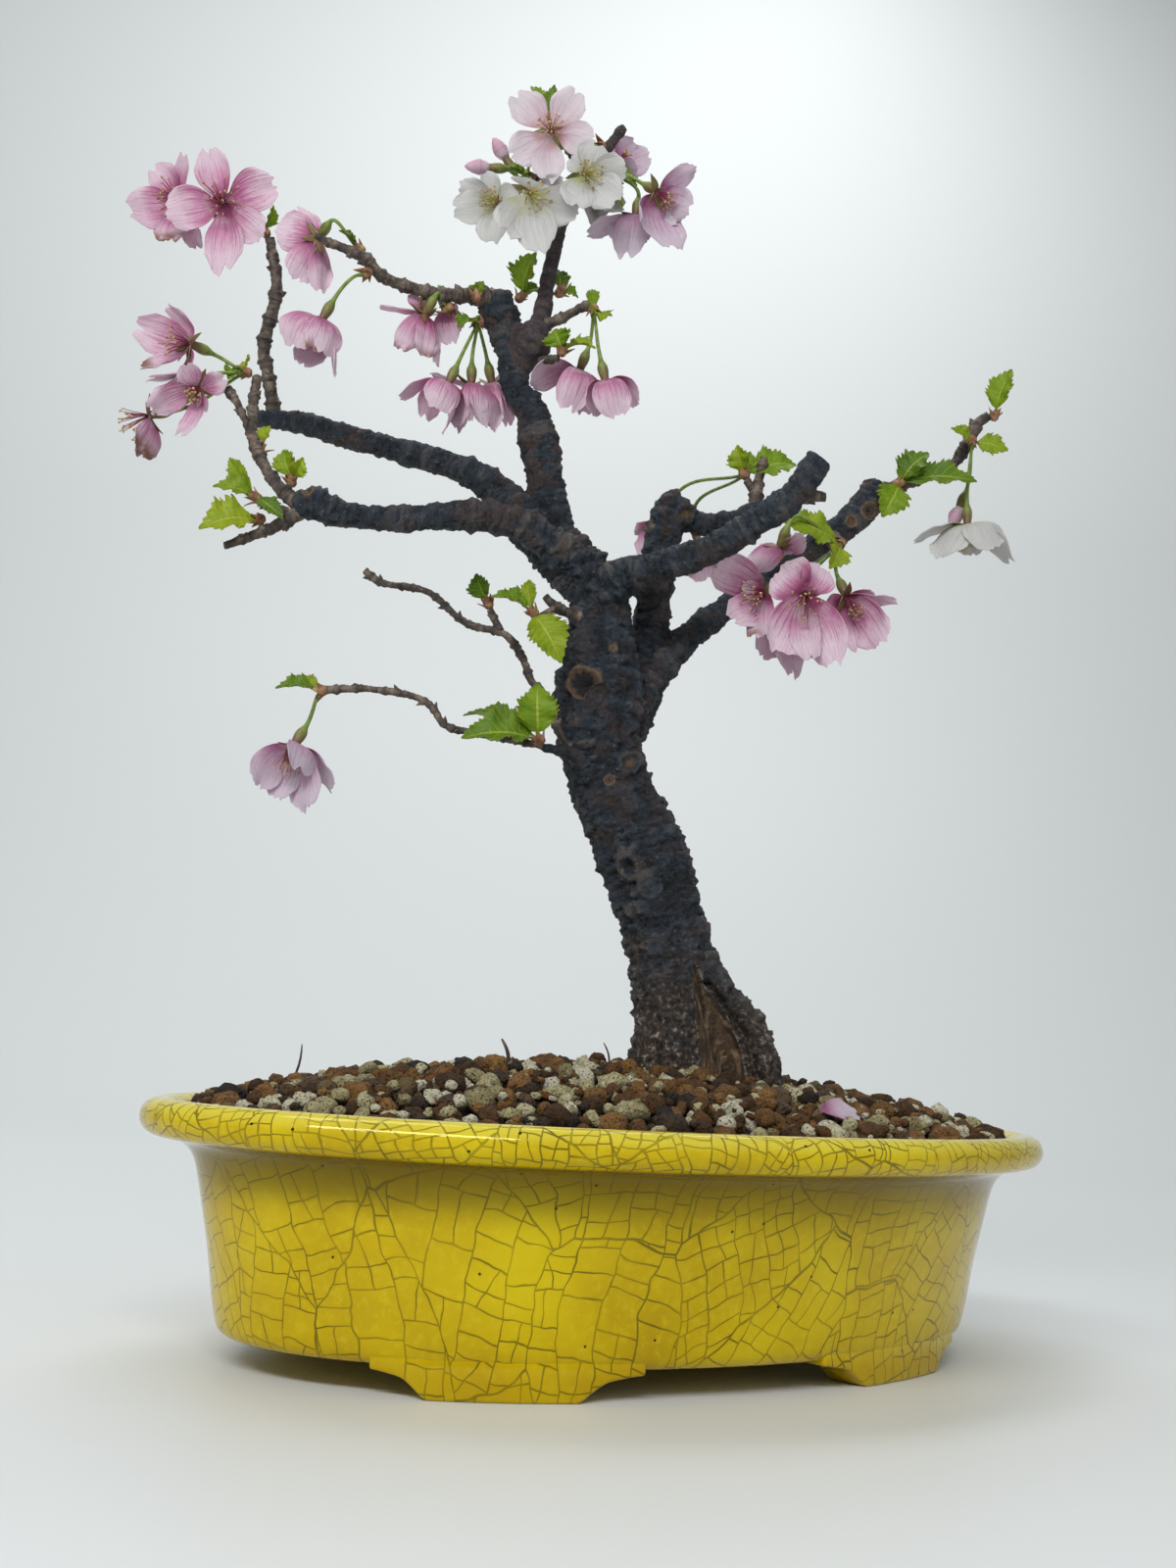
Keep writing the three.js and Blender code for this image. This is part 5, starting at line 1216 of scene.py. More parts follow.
# Scar colours: tan and brown wood in the rings, and at the far end a near-black painted shade for
# the open knot's hollow.
scar_wood_and_hollow_shade = bark.ramp(bark.plus(scar_mark, bark.times(bark.minus(flake, 0.5), 0.35)),
                        (0.12, (64, 56, 50)), (0.26, (140, 116, 84)), (0.42, (84, 64, 50)),
                        (0.54, (122, 94, 70)), (0.66, (60, 46, 40)), (0.8, (98, 76, 58)),
                        (0.95, (20, 23, 28)))
shade = bark.tint(shade, (scar_mark, 0.04, 0.3, 0.0, 0.9, scar_wood_and_hollow_shade))
split = bark.ramp(bark.grain(bark.stretch(limb_place, 1.0, 1.0, 0.12), 900.0, 5.0, 0.6),
                  (0.36, (38, 28, 21)), (0.48, (100, 76, 52)), (0.62, (166, 138, 104)))
damp = bark.grain(limb_place, 160.0, 4.0)
split = bark.tint(split, (damp, 0.48, 0.64, 0.0, 0.6, (46, 32, 25)))
shade = bark.tint(shade, (cleft_mark, 0.35, 0.9, 0.0, 0.95, split))
cleft_rim = bark.times(bark.between(cleft_mark, 0.05, 0.3),
                       bark.between(cleft_mark, 0.3, 0.6, 1.0, 0.0))
cleft_rim = bark.times(cleft_rim, bark.between(flake, 0.48, 0.6, 0.0, 0.9))
shade = bark.blend(cleft_rim, shade, (196, 188, 176))
bark_relief = bark.relief(flake, 0.0017, 1.0, bark.relief(wrinkle, 0.0014))
bark.set(Base_Color=shade, Normal=bark_relief,
         Roughness=bark.between(coarse, 0.3, 0.7, 0.38, 0.75))
wear(wood, bark)
finish_piece(wood, "trunk_and_limbs", "bark", "wood")

# %% Twig bark
twig_bark = Finish("young_twig_bark", 0.62)
twig_place = twig_bark.attribute("straight", "Vector")
twig_bands = twig_bark.grain(twig_bark.stretch(twig_place, 0.25, 0.25, 1.0), 1100.0, 4.0)
twig_shade = twig_bark.ramp(twig_bark.grain(twig_place, 320.0, 4.0), (0.32, (44, 38, 35)),
                            (0.5, (80, 69, 61)), (0.68, (126, 111, 96)))
twig_fleck = twig_bark.grain(twig_place, 900.0, 4.0)
twig_shade = twig_bark.tint(twig_shade, (twig_bands, 0.55, 0.7, 0.0, 0.65, (38, 31, 29)),
                            (twig_fleck, 0.62, 0.72, 0.0, 0.6, (158, 142, 122)))
twig_bark.set(Base_Color=twig_shade, Normal=twig_bark.relief(twig_bands, 0.0008, 0.9))
wear(twigs, twig_bark)
finish_piece(twigs, "young_twigs", "bark", "wood")

# %% [markdown]
# ## Scattering the grit
# With the trunk in place the grains can be laid round it. Each kind of grain is a piece of its
# own with its own finish: red-brown baked clay, near-black lava, cream pumice full of pits,
# and a few orange and grey stones.

# %% Lay the grains
CELL = 8
rng = np.random.default_rng(17)
foot_limbs = [name for name in LIMBS if name == "trunk" or name.startswith("root_")]
root_line = np.vstack([limb_lines[name]["line"] for name in foot_limbs])
root_radius = np.concatenate([limb_lines[name]["radius"] for name in foot_limbs])
kinds = {"clay": [], "lava": [], "pumice": [], "odd": []}
grid = {}


def has_room(x, y, r, spread):
    i, j = int(x // CELL), int(y // CELL)
    return all(math.hypot(x - a, y - b) > (r + c) * spread
               for di, dj in product((-1, 0, 1), repeat=2)
               for a, b, c in grid.get((i + di, j + dj), ()))


def scatter(tries, low, high, spread, lift):
    for _ in range(tries):
        turn, out = rng.uniform(0, 2 * math.pi), math.sqrt(rng.uniform(0, 1)) * 0.985
        size = rng.uniform(low, high)
        x, y = out * MOUND_A * math.cos(turn), out * MOUND_B * math.sin(turn)
        if not has_room(x, y, size, spread):
            continue
        centre = np.array([x, y, float(mound_height(x, y)) + lift * size - 1.4])
        if (np.linalg.norm(root_line - centre, axis=1) - root_radius).min() < size * 0.25:
            continue
        grid.setdefault((int(x // CELL), int(y // CELL)), []).append((x, y, size))
        chances = [0.56, 0.16, 0.2, 0.08] if size > 3 else [0.36, 0.14, 0.42, 0.08]
        kind = rng.choice(list(kinds), p=chances)
        form = grain_forms[rng.integers(len(grain_forms))]
        points = (form * size * rng.uniform(0.85, 1.1, 3)) @ random_turn(rng).T
        points[:, 2] *= 0.85
        kinds[kind].append((points + centre, grain_faces, 0, (rng.random(), rng.random(), 0, 0)))


scatter(500, 3.8, 5.4, 0.85, 0.35)
scatter(3500, 2.6, 3.8, 0.78, 0.5)
scatter(9000, 1.5, 2.5, 0.75, 0.7)
grid = {}
scatter(300, 1.8, 3.4, 1.15, 1.2)
grid = {}
scatter(420, 1.0, 1.7, 1.5, 2.3)
print({kind: len(items) for kind, items in kinds.items()})


# %% Grain finishes
def grain_finish(name, scale, colours, pit_scale, pit_from, pit_to, pit_share, pit_colour):
    finish = Finish(name, 0.9)
    place = finish.place()
    own = finish.parts(finish.attribute("tone"))[0]
    dust = finish.grain(place, scale, 6.0, 0.7)
    shade = finish.ramp(finish.mixed(own, dust, 0.6), *colours)
    pits = finish.put("TexVoronoi", {"Vector": place, "Scale": pit_scale}, "Distance")
    hole = finish.between(pits, pit_from, pit_to, 1.0, 0.0)
    shade = finish.blend(finish.times(hole, pit_share), shade, pit_colour)
    crumb = finish.grain(place, 1300.0, 4.0, 0.6)
    shade = finish.tint(shade, (crumb, 0.36, 0.5, 0.5, 0.0, pit_colour))
    height = finish.plus(finish.minus(dust, hole), crumb)
    return finish.set(Base_Color=shade, Normal=finish.relief(height, 0.0016, 1.0))


GRAINS = {
    "clay": ("baked_clay_grains", 420, [(0.3, (62, 40, 15)), (0.5, (110, 74, 33)),
             (0.7, (158, 114, 58))], 800, 0.1, 0.32, 0.5, (38, 24, 10)),
    "lava": ("lava_grains", 500, [(0.3, (42, 32, 22)), (0.5, (76, 56, 38)),
             (0.7, (116, 90, 64))], 800, 0.15, 0.42, 0.8, (24, 17, 10)),
    "pumice": ("pumice_grains", 450, [(0.3, (156, 142, 100)), (0.48, (208, 198, 150)),
               (0.66, (238, 232, 206))], 950, 0.12, 0.32, 0.85, (92, 76, 44)),
    "odd": ("orange_and_grey_grains", 500, [(0.25, (96, 90, 66)), (0.45, (128, 106, 66)),
            (0.65, (130, 84, 34)), (0.85, (172, 112, 38))], 900, 0.1, 0.3, 0.5, (58, 40, 20)),
}
for kind, look in GRAINS.items():
    grains = gather(look[0], kinds[kind], grain_finish(*look))
    smooth(grains, 75)
    finish_piece(grains, look[0], "grit", "soil")
wear(heap, grain_finish("fine_grit", 420, [(0.2, (40, 27, 20)), (0.5, (74, 50, 37)),
                                           (0.8, (104, 78, 58))], 500, 0.15, 0.4, 0.7, (24, 16, 12)))
finish_piece(heap, "fine_grit_heap", "grit", "soil")

# %% [markdown]
# ## Flower stalks, leaves and buds
# Each spray stands in one bud of papery brown scales on the wood. Out of it come green
# stalks, each swelling into the flower's tube with five pointed sepals, and young leaves that
# are still folded along the midrib, with a saw-toothed edge. A leaf starts as a grid whose
# rows run along it; it is narrowed to the leaf's outline, toothed, folded, arched and then
# given a thickness. The table holds each spray's bud in the pot and its leaves' tips on the
# drawing, with their width, the way their upper face looks, and their fold.

# %% Sprays
SPRAYS = {
    "a": ((-116.9, 64.8, 345.8), [((279, 210, -2), 5, (0.9, 0.1, 0.4), 20)]),
    "b": ((-123.7, 48.3, 289.6), [((233, 387, -20), 9, (-0.1, 0.8, 0.6), 25),
        ((252, 366, -14), 6, (-0.6, 0.4, 0.5), 20)]),
    "c": ((-93.7, 38.2, 335.6), [((346, 236, -16), 5, (-0.1, 0.8, 0.6), 30)]),
    "cLow": ((-91.5, 35.2, 326.6), []),
    "d": ((-63.4, 33.9, 322.3), []),
    "e": ((-53.2, 31.7, 319.4), [((468, 330, -4), 9, (-0.3, 0.5, 0.8), 20)]),
    "f": ((-22.3, 10, 323.9), [((613, 326, -6), 8, (0.5, 0.2, 0.8), 25),
        ((604, 294, 0), 4, (0, 0, 1), 30)]),
    "g": ((-24.8, 8.1, 379.7), []),
    "h": ((-22.4, 16.1, 377.3), [((650, 188, -2), 7, (0.3, 0.6, 0.7), 20),
        ((636, 208, 2), 6, (0.6, -0.2, 0.7), 25)]),
    "i": ((-40.8, 26.6, 372.3), [((518, 172, 2), 7, (0, 0.8, 0.6), 30),
        ((544, 164, -3), 6, (-0.3, 0.3, 0.9), 20)]),
    "j": ((-33.8, 29, 396.6), [((543, 86, 10), 5, (0.3, 0, 0.9), 25),
        ((566, 88, 8), 5, (-0.2, 0.1, 0.9), 20)]),
    "k": ((55.9, -21.8, 253.7), [((797, 529, -4), 11, (0, 0.35, 1), 12, 0.75),
        ((846, 580, 0), 8, (0.2, -0.3, 0.9), 25)]),
    "l": ((25.3, -10.6, 273.5), [((752, 455, 0), 7, (-0.5, 0, 0.9), 30),
        ((766, 461, 4), 5, (0.4, 0.1, 0.9), 20), ((813, 471, 6), 11, (0.2, 0.5, 0.9), 20)]),
    "m": ((103.2, -30.5, 296.7), [((1028, 459, 22), 7.6, (0.1, 0.2, 1), 10),
        ((973, 436, 18), 5, (-0.2, 0.3, 0.9), 20)]),
    "n": ((110.7, -33, 307.5), [((1032, 377, 22), 8.5, (-0.5, 0.2, 0.8), 30)]),
    "o": ((83.6, -17.1, 281.6), [((947, 462, 24), 11, (-0.5, 0.3, 0.8), 20),
        ((997, 491, 22), 11.5, (0, 0.6, 0.9), 22), ((902, 525, 22), 11, (0.3, 0.4, 0.9), 12),
        ((926, 480, 26), 6, (0.2, 0.4, 0.9), 20)]),
    "p": ((-100.9, 19.1, 187.1), [((282, 701, -36), 6, (0, 0.7, 0.7), 35),
        ((308, 690, -30), 4, (0.2, 0.2, 0.9), 20)]),
    "q": ((-40.1, -4.1, 178.2), [((471, 752, -30), 13, (0.1, 0.7, 0.8), 25),
        ((474, 722, -16), 9, (0.3, 0.6, 0.6), 25), ((548, 697, -24), 12, (0, 0.1, 1), 20)]),
    "r": ((-43.5, 30.5, 226.8), [((486, 586, 4), 7, (-0.4, 0.1, 0.9), 35)]),
    "s": ((-40, 5.4, 219.2), [((503, 606, -18), 9, (0, 0.8, 0.6), 25),
        ((573, 674, -18), 12, (0.1, 0.3, 1), 20), ((538, 590, -10), 5, (-0.2, 0, 0.9), 20)]),
    "t": ((-110.5, 33.1, 253.5), [((289, 459, -24), 7, (-0.3, 0, 0.9), 30),
        ((309, 468, -28), 5, (0.4, 0, 0.9), 35)]),
    "u": ((-121.1, 34.4, 246.1), [((219, 493, -32), 7, (0, 0.5, 0.9), 30, 0.6),
        ((234, 467, -24), 5, (-0.3, 0.2, 0.9), 35, 0.7),
        ((288, 530, -33), 6, (0.3, 0.3, 0.9), 20)]),
    "v": ((-119.6, 34.2, 239.4), [((204, 535, -36), 12.5, (0, 0.4, 0.9), 25, 0.95)]),
    "z": ((-39.7, 29, 331.2), [((548, 258, 2), 11, (-0.6, 0.1, 0.8), 25),
        ((553, 293, 10), 7, (0.1, 0.6, 0.8), 25)]),
    "y": ((-28.9, 21.6, 332.9), [((569, 276, 8), 6, (0.3, 0, 0.9), 25),
        ((590, 302, 6), 6, (0.2, 0.6, 0.8), 25)]),
    "x": ((-31.9, 11.6, 308.5), [((566, 336, -6), 9, (-0.3, 0, 0.9), 20),
        ((606, 351, -10), 8, (0.1, 0.8, 0.6), 25)]),
}
print(len(SPRAYS), "sprays,", sum(len(leaves) for _, leaves in SPRAYS.values()), "leaves")

# %% [markdown]
# The flowers: the solid's name, the colour, the throat on the drawing, the way the flower
# looks, the spray that carries it, how its stalk lifts, and its petals. No two flowers open
# alike, so every petal is drawn: its tip across and down, how many millimetres it comes
# towards us from the throat, its width on the drawing, and where the usual ones don't fit, how
# far it bows outwards and how much of its tip has withered.

# %% Flowers
FLOWERS = [
    ("a1", "pink", (228, 207, 0), (-0.1, 0, 1), "a", 3, [(212, 153, 2, 36), (280, 188, 1, 42),
     (266, 242, 2, 40), (226, 276, 3, 38), (171, 217, 3, 44)]),
    ("a2", "pink", (182, 203, 9), (-0.6, -0.05, 0.75), "a", 3, [(158, 170, -1, 32),
     (187, 158, 3, 17), (133, 212, 3, 42), (172, 246, 3, 36, 0.1, 0.35), (203, 252, -1, 20)]),
    ("a3", "pink", (325, 243, -12), (-0.55, -0.35, -0.75), "c", 0, [(284, 231, 0, 40),
     (302, 284, 1, 40), (327, 296, -1, 24), (316, 288, -4, 18), (303, 214, -5, 26)]),
    ("a4", "pink", (328, 327, -20), (-0.4, -0.9, 0.05), "cLow", 4, [(297, 352, 3, 36, 0.3),
     (309, 372, -2, 34, 0.2), (330, 361, 5, 28, 0.25), (341, 381, 0, 13, 0.1),
     (317, 356, 6, 26, 0.25, 0.2)]),
    ("b1", "pink", (193, 350, -24), (-0.8, 0.15, 0.55), "b", 0, [(171, 313, -2, 14, 0.28),
     (140, 334, -3, 40, 0.12), (145, 374, 0, 22, 0.1, 0.3), (153, 386, 5, 28, 0.28),
     (172, 392, 3, 18, 0.2)]),
    ("b2", "pink", (202, 397, -28), (-0.3, -0.75, 0.55), "b", 0, [(153, 416, 2, 30),
     (184, 443, 2, 18), (189, 372, 5, 26), (229, 387, 4, 24), (208, 421, -2, 12)]),
    ("b3", "pink", (151, 424, -24), (-0.85, -0.35, 0.3), "b", 0, [(142, 464, 2, 32, 0.2, 0.4)]),
    ("c1", "pink", (432, 322, -6), (-0.45, -0.85, -0.1), "d", 0, [(389, 313, 2, 19),
     (427, 301, -3, 25), (408, 356, 3, 26, 0.1, 0.2), (434, 363, 4, 28, 0.1, 0.2),
     (446, 372, -1, 14)]),
    ("c2", "pink", (455, 319, 6), (0.3, -0.92, -0.1), "d", 0, [(460, 350, 3, 26),
     (471, 336, -1, 22), (449, 345, 0, 18), (467, 311, -3, 14), (447, 322, -6, 14)]),
    ("d", "pink", (457, 393, -6), (-0.3, -0.95, 0.15), "e", 0, [(409, 405, -1, 12, 0.2),
     (445, 417, 6, 38, 0.3), (432, 425, -2, 28, 0.25), (454, 439, 1, 22), (469, 434, -3, 20)]),
    ("d", "pink", (481, 393, 3), (0.05, -1, 0.05), "e", 0, [(470, 438, 4, 18),
     (486, 429, 5, 26, 0.25), (441, 382, -7, 14), (499, 436, 2, 34, 0.2), (466, 390, -7, 16)]),
    ("d", "pink", (502, 392, 12), (0.25, -0.95, -0.1), "e", 0, [(521, 420, 1, 18, 0.2),
     (519, 433, -3, 20), (503, 434, 4, 28, 0.2), (489, 425, 1, 20), (513, 384, -7, 14)]),
    ("e1", "pink", (591, 379, 3), (-0.3, -0.93, -0.1), "f", 0, [(542, 389, 1, 28, 0.15),
     (579, 417, 5, 38, 0.3), (594, 421, -1, 28, 0.2), (608, 402, -4, 22), (562, 376, -5, 22)]),
    ("e2", "pink", (618, 390, -6), (0.25, -0.95, 0.05), "f", 0, [(651, 411, 0, 22, 0.25),
     (630, 424, 5, 38, 0.3), (603, 421, 1, 26, 0.2), (610, 402, -4, 20), (641, 396, -5, 20)]),
    ("f1", "blush", (562, 134, -14), (0, 0.12, 1), "g", 5, [(525, 98, 1, 36), (588, 93, 1, 36),
     (605, 144, 1, 34), (560, 184, 2, 34), (523, 160, 1, 38)]),
    ("f2", "white", (541, 197, -14), (0, -0.45, 0.85), "i", 3, [(518, 237, 4, 46),
     (553, 256, 3, 42), (588, 217, 2, 40), (545, 184, 2, 46), (575, 187, 0, 26)]),
    ("f3", "white", (507, 206, -4), (-0.4, -0.2, 0.85), "i", 3, [(470, 188, 1, 24),
     (464, 214, 1, 34), (501, 247, 2, 32), (495, 177, 1, 22), (527, 193, 0, 24)]),
    ("f4", "white", (597, 177, -16), (0.2, -0.35, 0.9), "g", 2, [(610, 148, 1, 38),
     (638, 170, 1, 34), (628, 206, 3, 40), (588, 210, 3, 38), (582, 162, 1, 20)]),
    ("f5", "white", (608, 195, 8), (0.1, -0.95, 0.1), "h", 0, [(603, 227, 1, 26),
     (622, 215, 3, 26), (636, 212, -2, 20), (612, 222, -3, 22), (628, 200, -6, 20)]),
    ("f6", "mauve", (632, 164, 16), (0.6, 0.3, 0.3), "h", 2, [(663, 160, 1, 28), (648, 145, 0, 28),
     (650, 177, 2, 22), (624, 150, -1, 22), (638, 182, 1, 20)]),
    ("f7", "mauve", (671, 196, -8), (0.6, -0.6, 0.5), "h", 2, [(709, 172, 0, 22, 0.12),
     (703, 214, 1, 36), (687, 252, 3, 46), (655, 227, 5, 17, 0.2), (693, 226, -2, 32)]),
    ("f8", "mauve", (648, 222, 2), (-0.1, -0.95, 0.15), "h", 0, [(601, 238, 1, 18),
     (639, 262, 5, 36, 0.25), (660, 246, 0, 18), (627, 246, -2, 26), (666, 234, -3, 24)]),
    ("g1", "pink", (780, 604, -10), (-0.6, -0.25, 0.75), "k", 0, [(730, 578, 5, 42),
     (757, 602, -1, 20), (748, 632, 2, 38), (769, 649, 3, 26, 0.1, 0.25), (783, 648, 5, 22)]),
    ("g1", "pink", (822, 606, -14), (-0.05, -0.55, 0.85), "k", 0, [(796, 581, 1, 52, -0.1),
     (840, 580, 1, 40, -0.1), (795, 665, 4, 48, 0.05), (826, 672, 6, 32, 0.05),
     (851, 676, 4, 44, 0.05)]),
    ("g3", "pink", (864, 609, -4), (0.3, -0.85, 0.4), "k", 0, [(914, 615, 0, 13),
     (899, 656, 4, 44), (846, 639, 5, 26, 0.2), (866, 663, 0, 36), (890, 611, -4, 22)]),
    ("g6", "pink", (813, 626, 4), (0, -0.98, 0.15), "k", 0, [(809, 688, 2, 32), (777, 669, 1, 30),
     (831, 668, 1, 24), (799, 650, -5, 24), (842, 652, -4, 26)]),
    ("g4", "pink", (795, 559, -2), (-0.25, -0.75, -0.25), "k", 0, [(821, 549, 2, 20),
     (769, 580, 4, 30), (776, 562, 1, 16), (803, 566, -3, 16), (790, 570, -4, 16)]),
    ("g5", "pink", (672, 540, 34), (-0.3, -0.85, 0), "l", 1, [(655, 566, 2, 26), (672, 578, 3, 30),
     (690, 568, 2, 26), (650, 548, -2, 24), (684, 556, -5, 24)]),
    ("g7", "pink", (712, 555, 30), (0.2, -0.95, 0.05), "l", 0, [(697, 585, 2, 28),
     (716, 592, 3, 32), (735, 580, 1, 26), (702, 570, -4, 24), (730, 566, -5, 22)]),
    ("h1", "white", (987, 537, 26), (0.02, -1, 0.06), "m", 0, [(934, 552, 1, 18, 0.12),
     (959, 568, 5, 34, 0.15), (1012, 560, 7, 46, 0.3), (1031, 572, 0, 24, 0.15),
     (994, 566, -4, 30)]),
    ("i1", "mauve", (299, 762, -34), (-0.35, -0.85, 0.35), "p", 2, [(305, 786, 6, 38, 0.35),
     (263, 801, 2, 36, 0.2), (282, 813, -1, 34, 0.15), (312, 825, 2, 34, 0.12),
     (338, 806, -1, 24, 0.2)]),
]
CLOSED_BUDS = [("i", (497, 171, 0), (-0.95, -0.1, 0.2)), ("i", (515, 160, 6), (-0.5, 0.7, 0.1)),
               ("m", (978, 520, 30), (-0.35, -0.95, 0.1))]
FIFTH = 2 * math.pi / 5
print(len(FLOWERS), "flowers with", sum(len(f[6]) for f in FLOWERS), "petals")


# %% A flower's own directions
def flower_frame(hub, face):
    ahead = heading(*face)
    top = square_to(heading(0, 1, 0.001), ahead)
    return {"centre": spot(hub), "ahead": ahead, "top": top, "side": np.cross(top, ahead)}


def in_flower(flower, radius, angle, height):
    """Places in a flower: out from its axis, round it, and forward along it, in lists."""
    radius, angle, height = np.broadcast_arrays(radius, angle, height)
    return (flower["centre"] + (radius * np.cos(angle))[..., None] * flower["top"]
            + (radius * np.sin(angle))[..., None] * flower["side"]
            + height[..., None] * flower["ahead"])


# %% [markdown]
# ## A petal
# A cherry petal is a broad spoon with a notch in its tip, thin enough for light to come
# through. It starts as a plain grid, added once as a primitive; each petal is a copy of its
# points. The rows follow a bowed midline from the rim of the throat to the tip, the columns
# spread to the outline, and the edges are lifted and ruffled.

# %% The flat petal
petal_grid, petal_faces = take_form(bpy.ops.mesh.primitive_grid_add, x_subdivisions=12,
                                    y_subdivisions=16, size=2)
PETAL_U, PETAL_V = petal_grid[:, 0], (petal_grid[:, 1] + 1) / 2
print("petal grid:", len(petal_faces), "quads")


# %% Shape of a petal
def petal_direction(flower, hub, petal):
    """The petal's tip, which way it leaves the throat, and its width in millimetres."""
    across, down, towards, width = petal[:4]
    tip = spot((across, down, hub[2] - towards))
    out = square_to(tip - flower["centre"], flower["ahead"])
    return tip, out, sized((across, down, hub[2]), width)


def petal_points(root, tip, inside, width, bow, rng, claw=0.85):
    """A petal's points and its tone: along, across, withered, and a number of its own."""
    u, v = PETAL_U, PETAL_V
    chord = tip - root
    length = np.linalg.norm(chord)
    along = chord / length
    inside = square_to(inside, along)
    side = np.cross(along, inside)
    phase = rng.uniform(0, 6.28, 5)
    notch, notch_at = rng.uniform(0.04, 0.13), rng.uniform(-0.2, 0.2)
    outline = (1 - 0.08 * u ** 2 - 0.20 * np.abs(u) ** 4.5
               - notch * np.exp(-((u - notch_at) / 0.15) ** 2)
               + 0.028 * np.sin(6 * u + phase[0]) + 0.024 * np.sin(15 * u + phase[1]))
    s = np.maximum(v * outline * 1.04, 0.0)
    spread = np.where(s < 0.6, np.sin(math.pi / 2 * np.minimum(s / 0.6, 1)) ** claw,
                      1 - 0.22 * np.clip((s - 0.6) / 0.4, 0, 1) ** 2)
    half = width / 2 * np.maximum(spread, 0.13)
    bulge = bow * length * np.sin(math.pi * np.clip(s, 0, 1) ** 0.8)
    cup = 0.22 * half * u ** 2 * rng.uniform(0.4, 1.5) * np.sin(math.pi * np.minimum(v * 0.85, 1))
    wave = length * v ** 2 * (0.03 * np.sin(4.2 * u + phase[3])
                              + 0.035 * np.abs(u) * np.sin(10 * v + 2.5 * np.sign(u) + phase[4]))
    crease = -0.025 * length * np.exp(-(u / 0.1) ** 2) * v * (1.1 - v)
    twist = 0.12 * rng.uniform(-1, 1) * u * half * v
    sway = 0.04 * length * np.sin(phase[2]) * np.sin(math.pi * s)
    points = (root + np.outer(s * length, along) + np.outer(u * half + sway, side)
              + np.outer(cup + wave + crease + twist - bulge, inside))
    return points, np.column_stack([s, u, np.zeros_like(u), np.full_like(u, rng.random())])


# %% [markdown]
# ## A whole flower
# Five petals lap over each other like tiles, and out of the throat stands a tuft of threads
# with tan tips. One thread is a thin bent tube, its tip a small bead; twenty of them fan out
# round one longer style.

# %% Threads and beads
bead_points, bead_faces = take_form(bpy.ops.mesh.primitive_ico_sphere_add, subdivisions=1,
                                    radius=1)
GOLDEN = 2.4


def threads(flower, size, fan, rng, count=20):
    """The tuft of one flower: threads with the first finish, beads with the second."""
    parts = []
    for k in range(count + 1):
        style = k == count
        angle = k * GOLDEN + rng.uniform(-0.3, 0.3)
        lean = 0.05 if style else fan * math.sqrt((k + 0.5) / count) * rng.uniform(0.75, 1.15)
        length = size * (1.1 if style else rng.uniform(0.6, 1.0))
        t = np.linspace(0, 1, 5)
        out = np.sin(lean) * length * (t + 0.15 * t * t)
        ahead = 0.2 + np.cos(lean) * length * t
        line = in_flower(flower, 0.5 + out, angle + 0.15 * t * rng.uniform(-1, 1), ahead)
        thick = 0.2 if style else 0.14
        points, faces = tube(line, thick * np.array([1.3, 1, 0.9, 0.8, 0.8]), 5)
        parts.append((points, faces, 0, np.column_stack([
            t.repeat(5), np.full(25, float(style)), np.zeros(25), np.full(25, rng.random())])))
        bead = bead_points * ([0.36, 0.36, 0.3] if style else [0.44, 0.34, 0.54])
        parts.append((line[-1] + bead @ random_turn(rng).T, bead_faces, 1,
                      (float(style), 0, 0, rng.random())))
    return parts


# %% Petal finish
def petal_finish(name, base, middle, edge, vein, glow):
    finish = Finish(name, 0.6, Subsurface_Weight=0.25, Subsurface_Scale=0.0014,
                    Subsurface_Radius=glow)
    along, across, wither = finish.parts(finish.attribute("tone"))[:3]
    own = finish.attribute("tone", "Alpha")

    def streaks(over, across_times, along_times, own_times, detail):
        place = {0: finish.times(over, across_times), 1: finish.times(along, along_times),
                 2: finish.times(own, own_times)}
        return finish.grain(finish.put("CombineXYZ", place), 1.0, detail, 0.5)

    streak = streaks(across, 15.0, 1.3, 40.0, 3.0)
    ray = finish.count("DIVIDE", across, finish.between(along, 0.0, 0.6, 0.35, 1.0))
    fork = finish.off(streaks(ray, 11.0, 3.0, 90.0, 2.0), 0.5)
    shade = finish.ramp(along, (0.0, base), (0.15, base), (0.40, middle), (0.75, edge),
                        (1.0, edge))
    cloud = finish.grain(finish.place(), 150.0, 3.0)
    shade = finish.tint(shade, (cloud, 0.4, 0.7, 0.0, 0.55, edge))
    for mask, veined in ((finish.between(streak, 0.5, 0.64), (0.1, 1.0, 0.95, 0.25)),
                         (finish.between(fork, 0.0, 0.035, 1.0, 0.0), (0.05, 1.0, 0.7, 0.2))):
        shade = finish.blend(finish.times(mask, finish.between(along, *veined)), shade, vein)
    brown = finish.between(finish.grain(finish.place(), 240.0, 3.0), 0.3, 0.55)
    shade = finish.blend(finish.times(wither, brown), shade, (112, 78, 46))
    return finish.set(Base_Color=shade, Normal=finish.relief(streak, 0.0004, 0.6))


PETALS = {
    "pink": petal_finish("pink_petal", (118, 20, 68), (186, 124, 156), (212, 188, 200),
                         (154, 72, 116), (1.0, 0.45, 0.7)),
    "mauve": petal_finish("mauve_petal", (132, 48, 98), (184, 150, 172), (198, 184, 196),
                          (160, 112, 144), (1.0, 0.6, 0.8)),
    "blush": petal_finish("blush_petal", (160, 92, 86), (196, 176, 184), (204, 194, 200),
                          (184, 150, 164), (1.0, 0.8, 0.8)),
    # Painted shade: the white petals are mixed grey rather than white, for the shade they hang in.
    "white": petal_finish("shade_greyed_white_petal", (160, 162, 104), (184, 183, 178), (194, 193, 191),
                          (166, 162, 160), (1.0, 0.9, 0.85)),
}


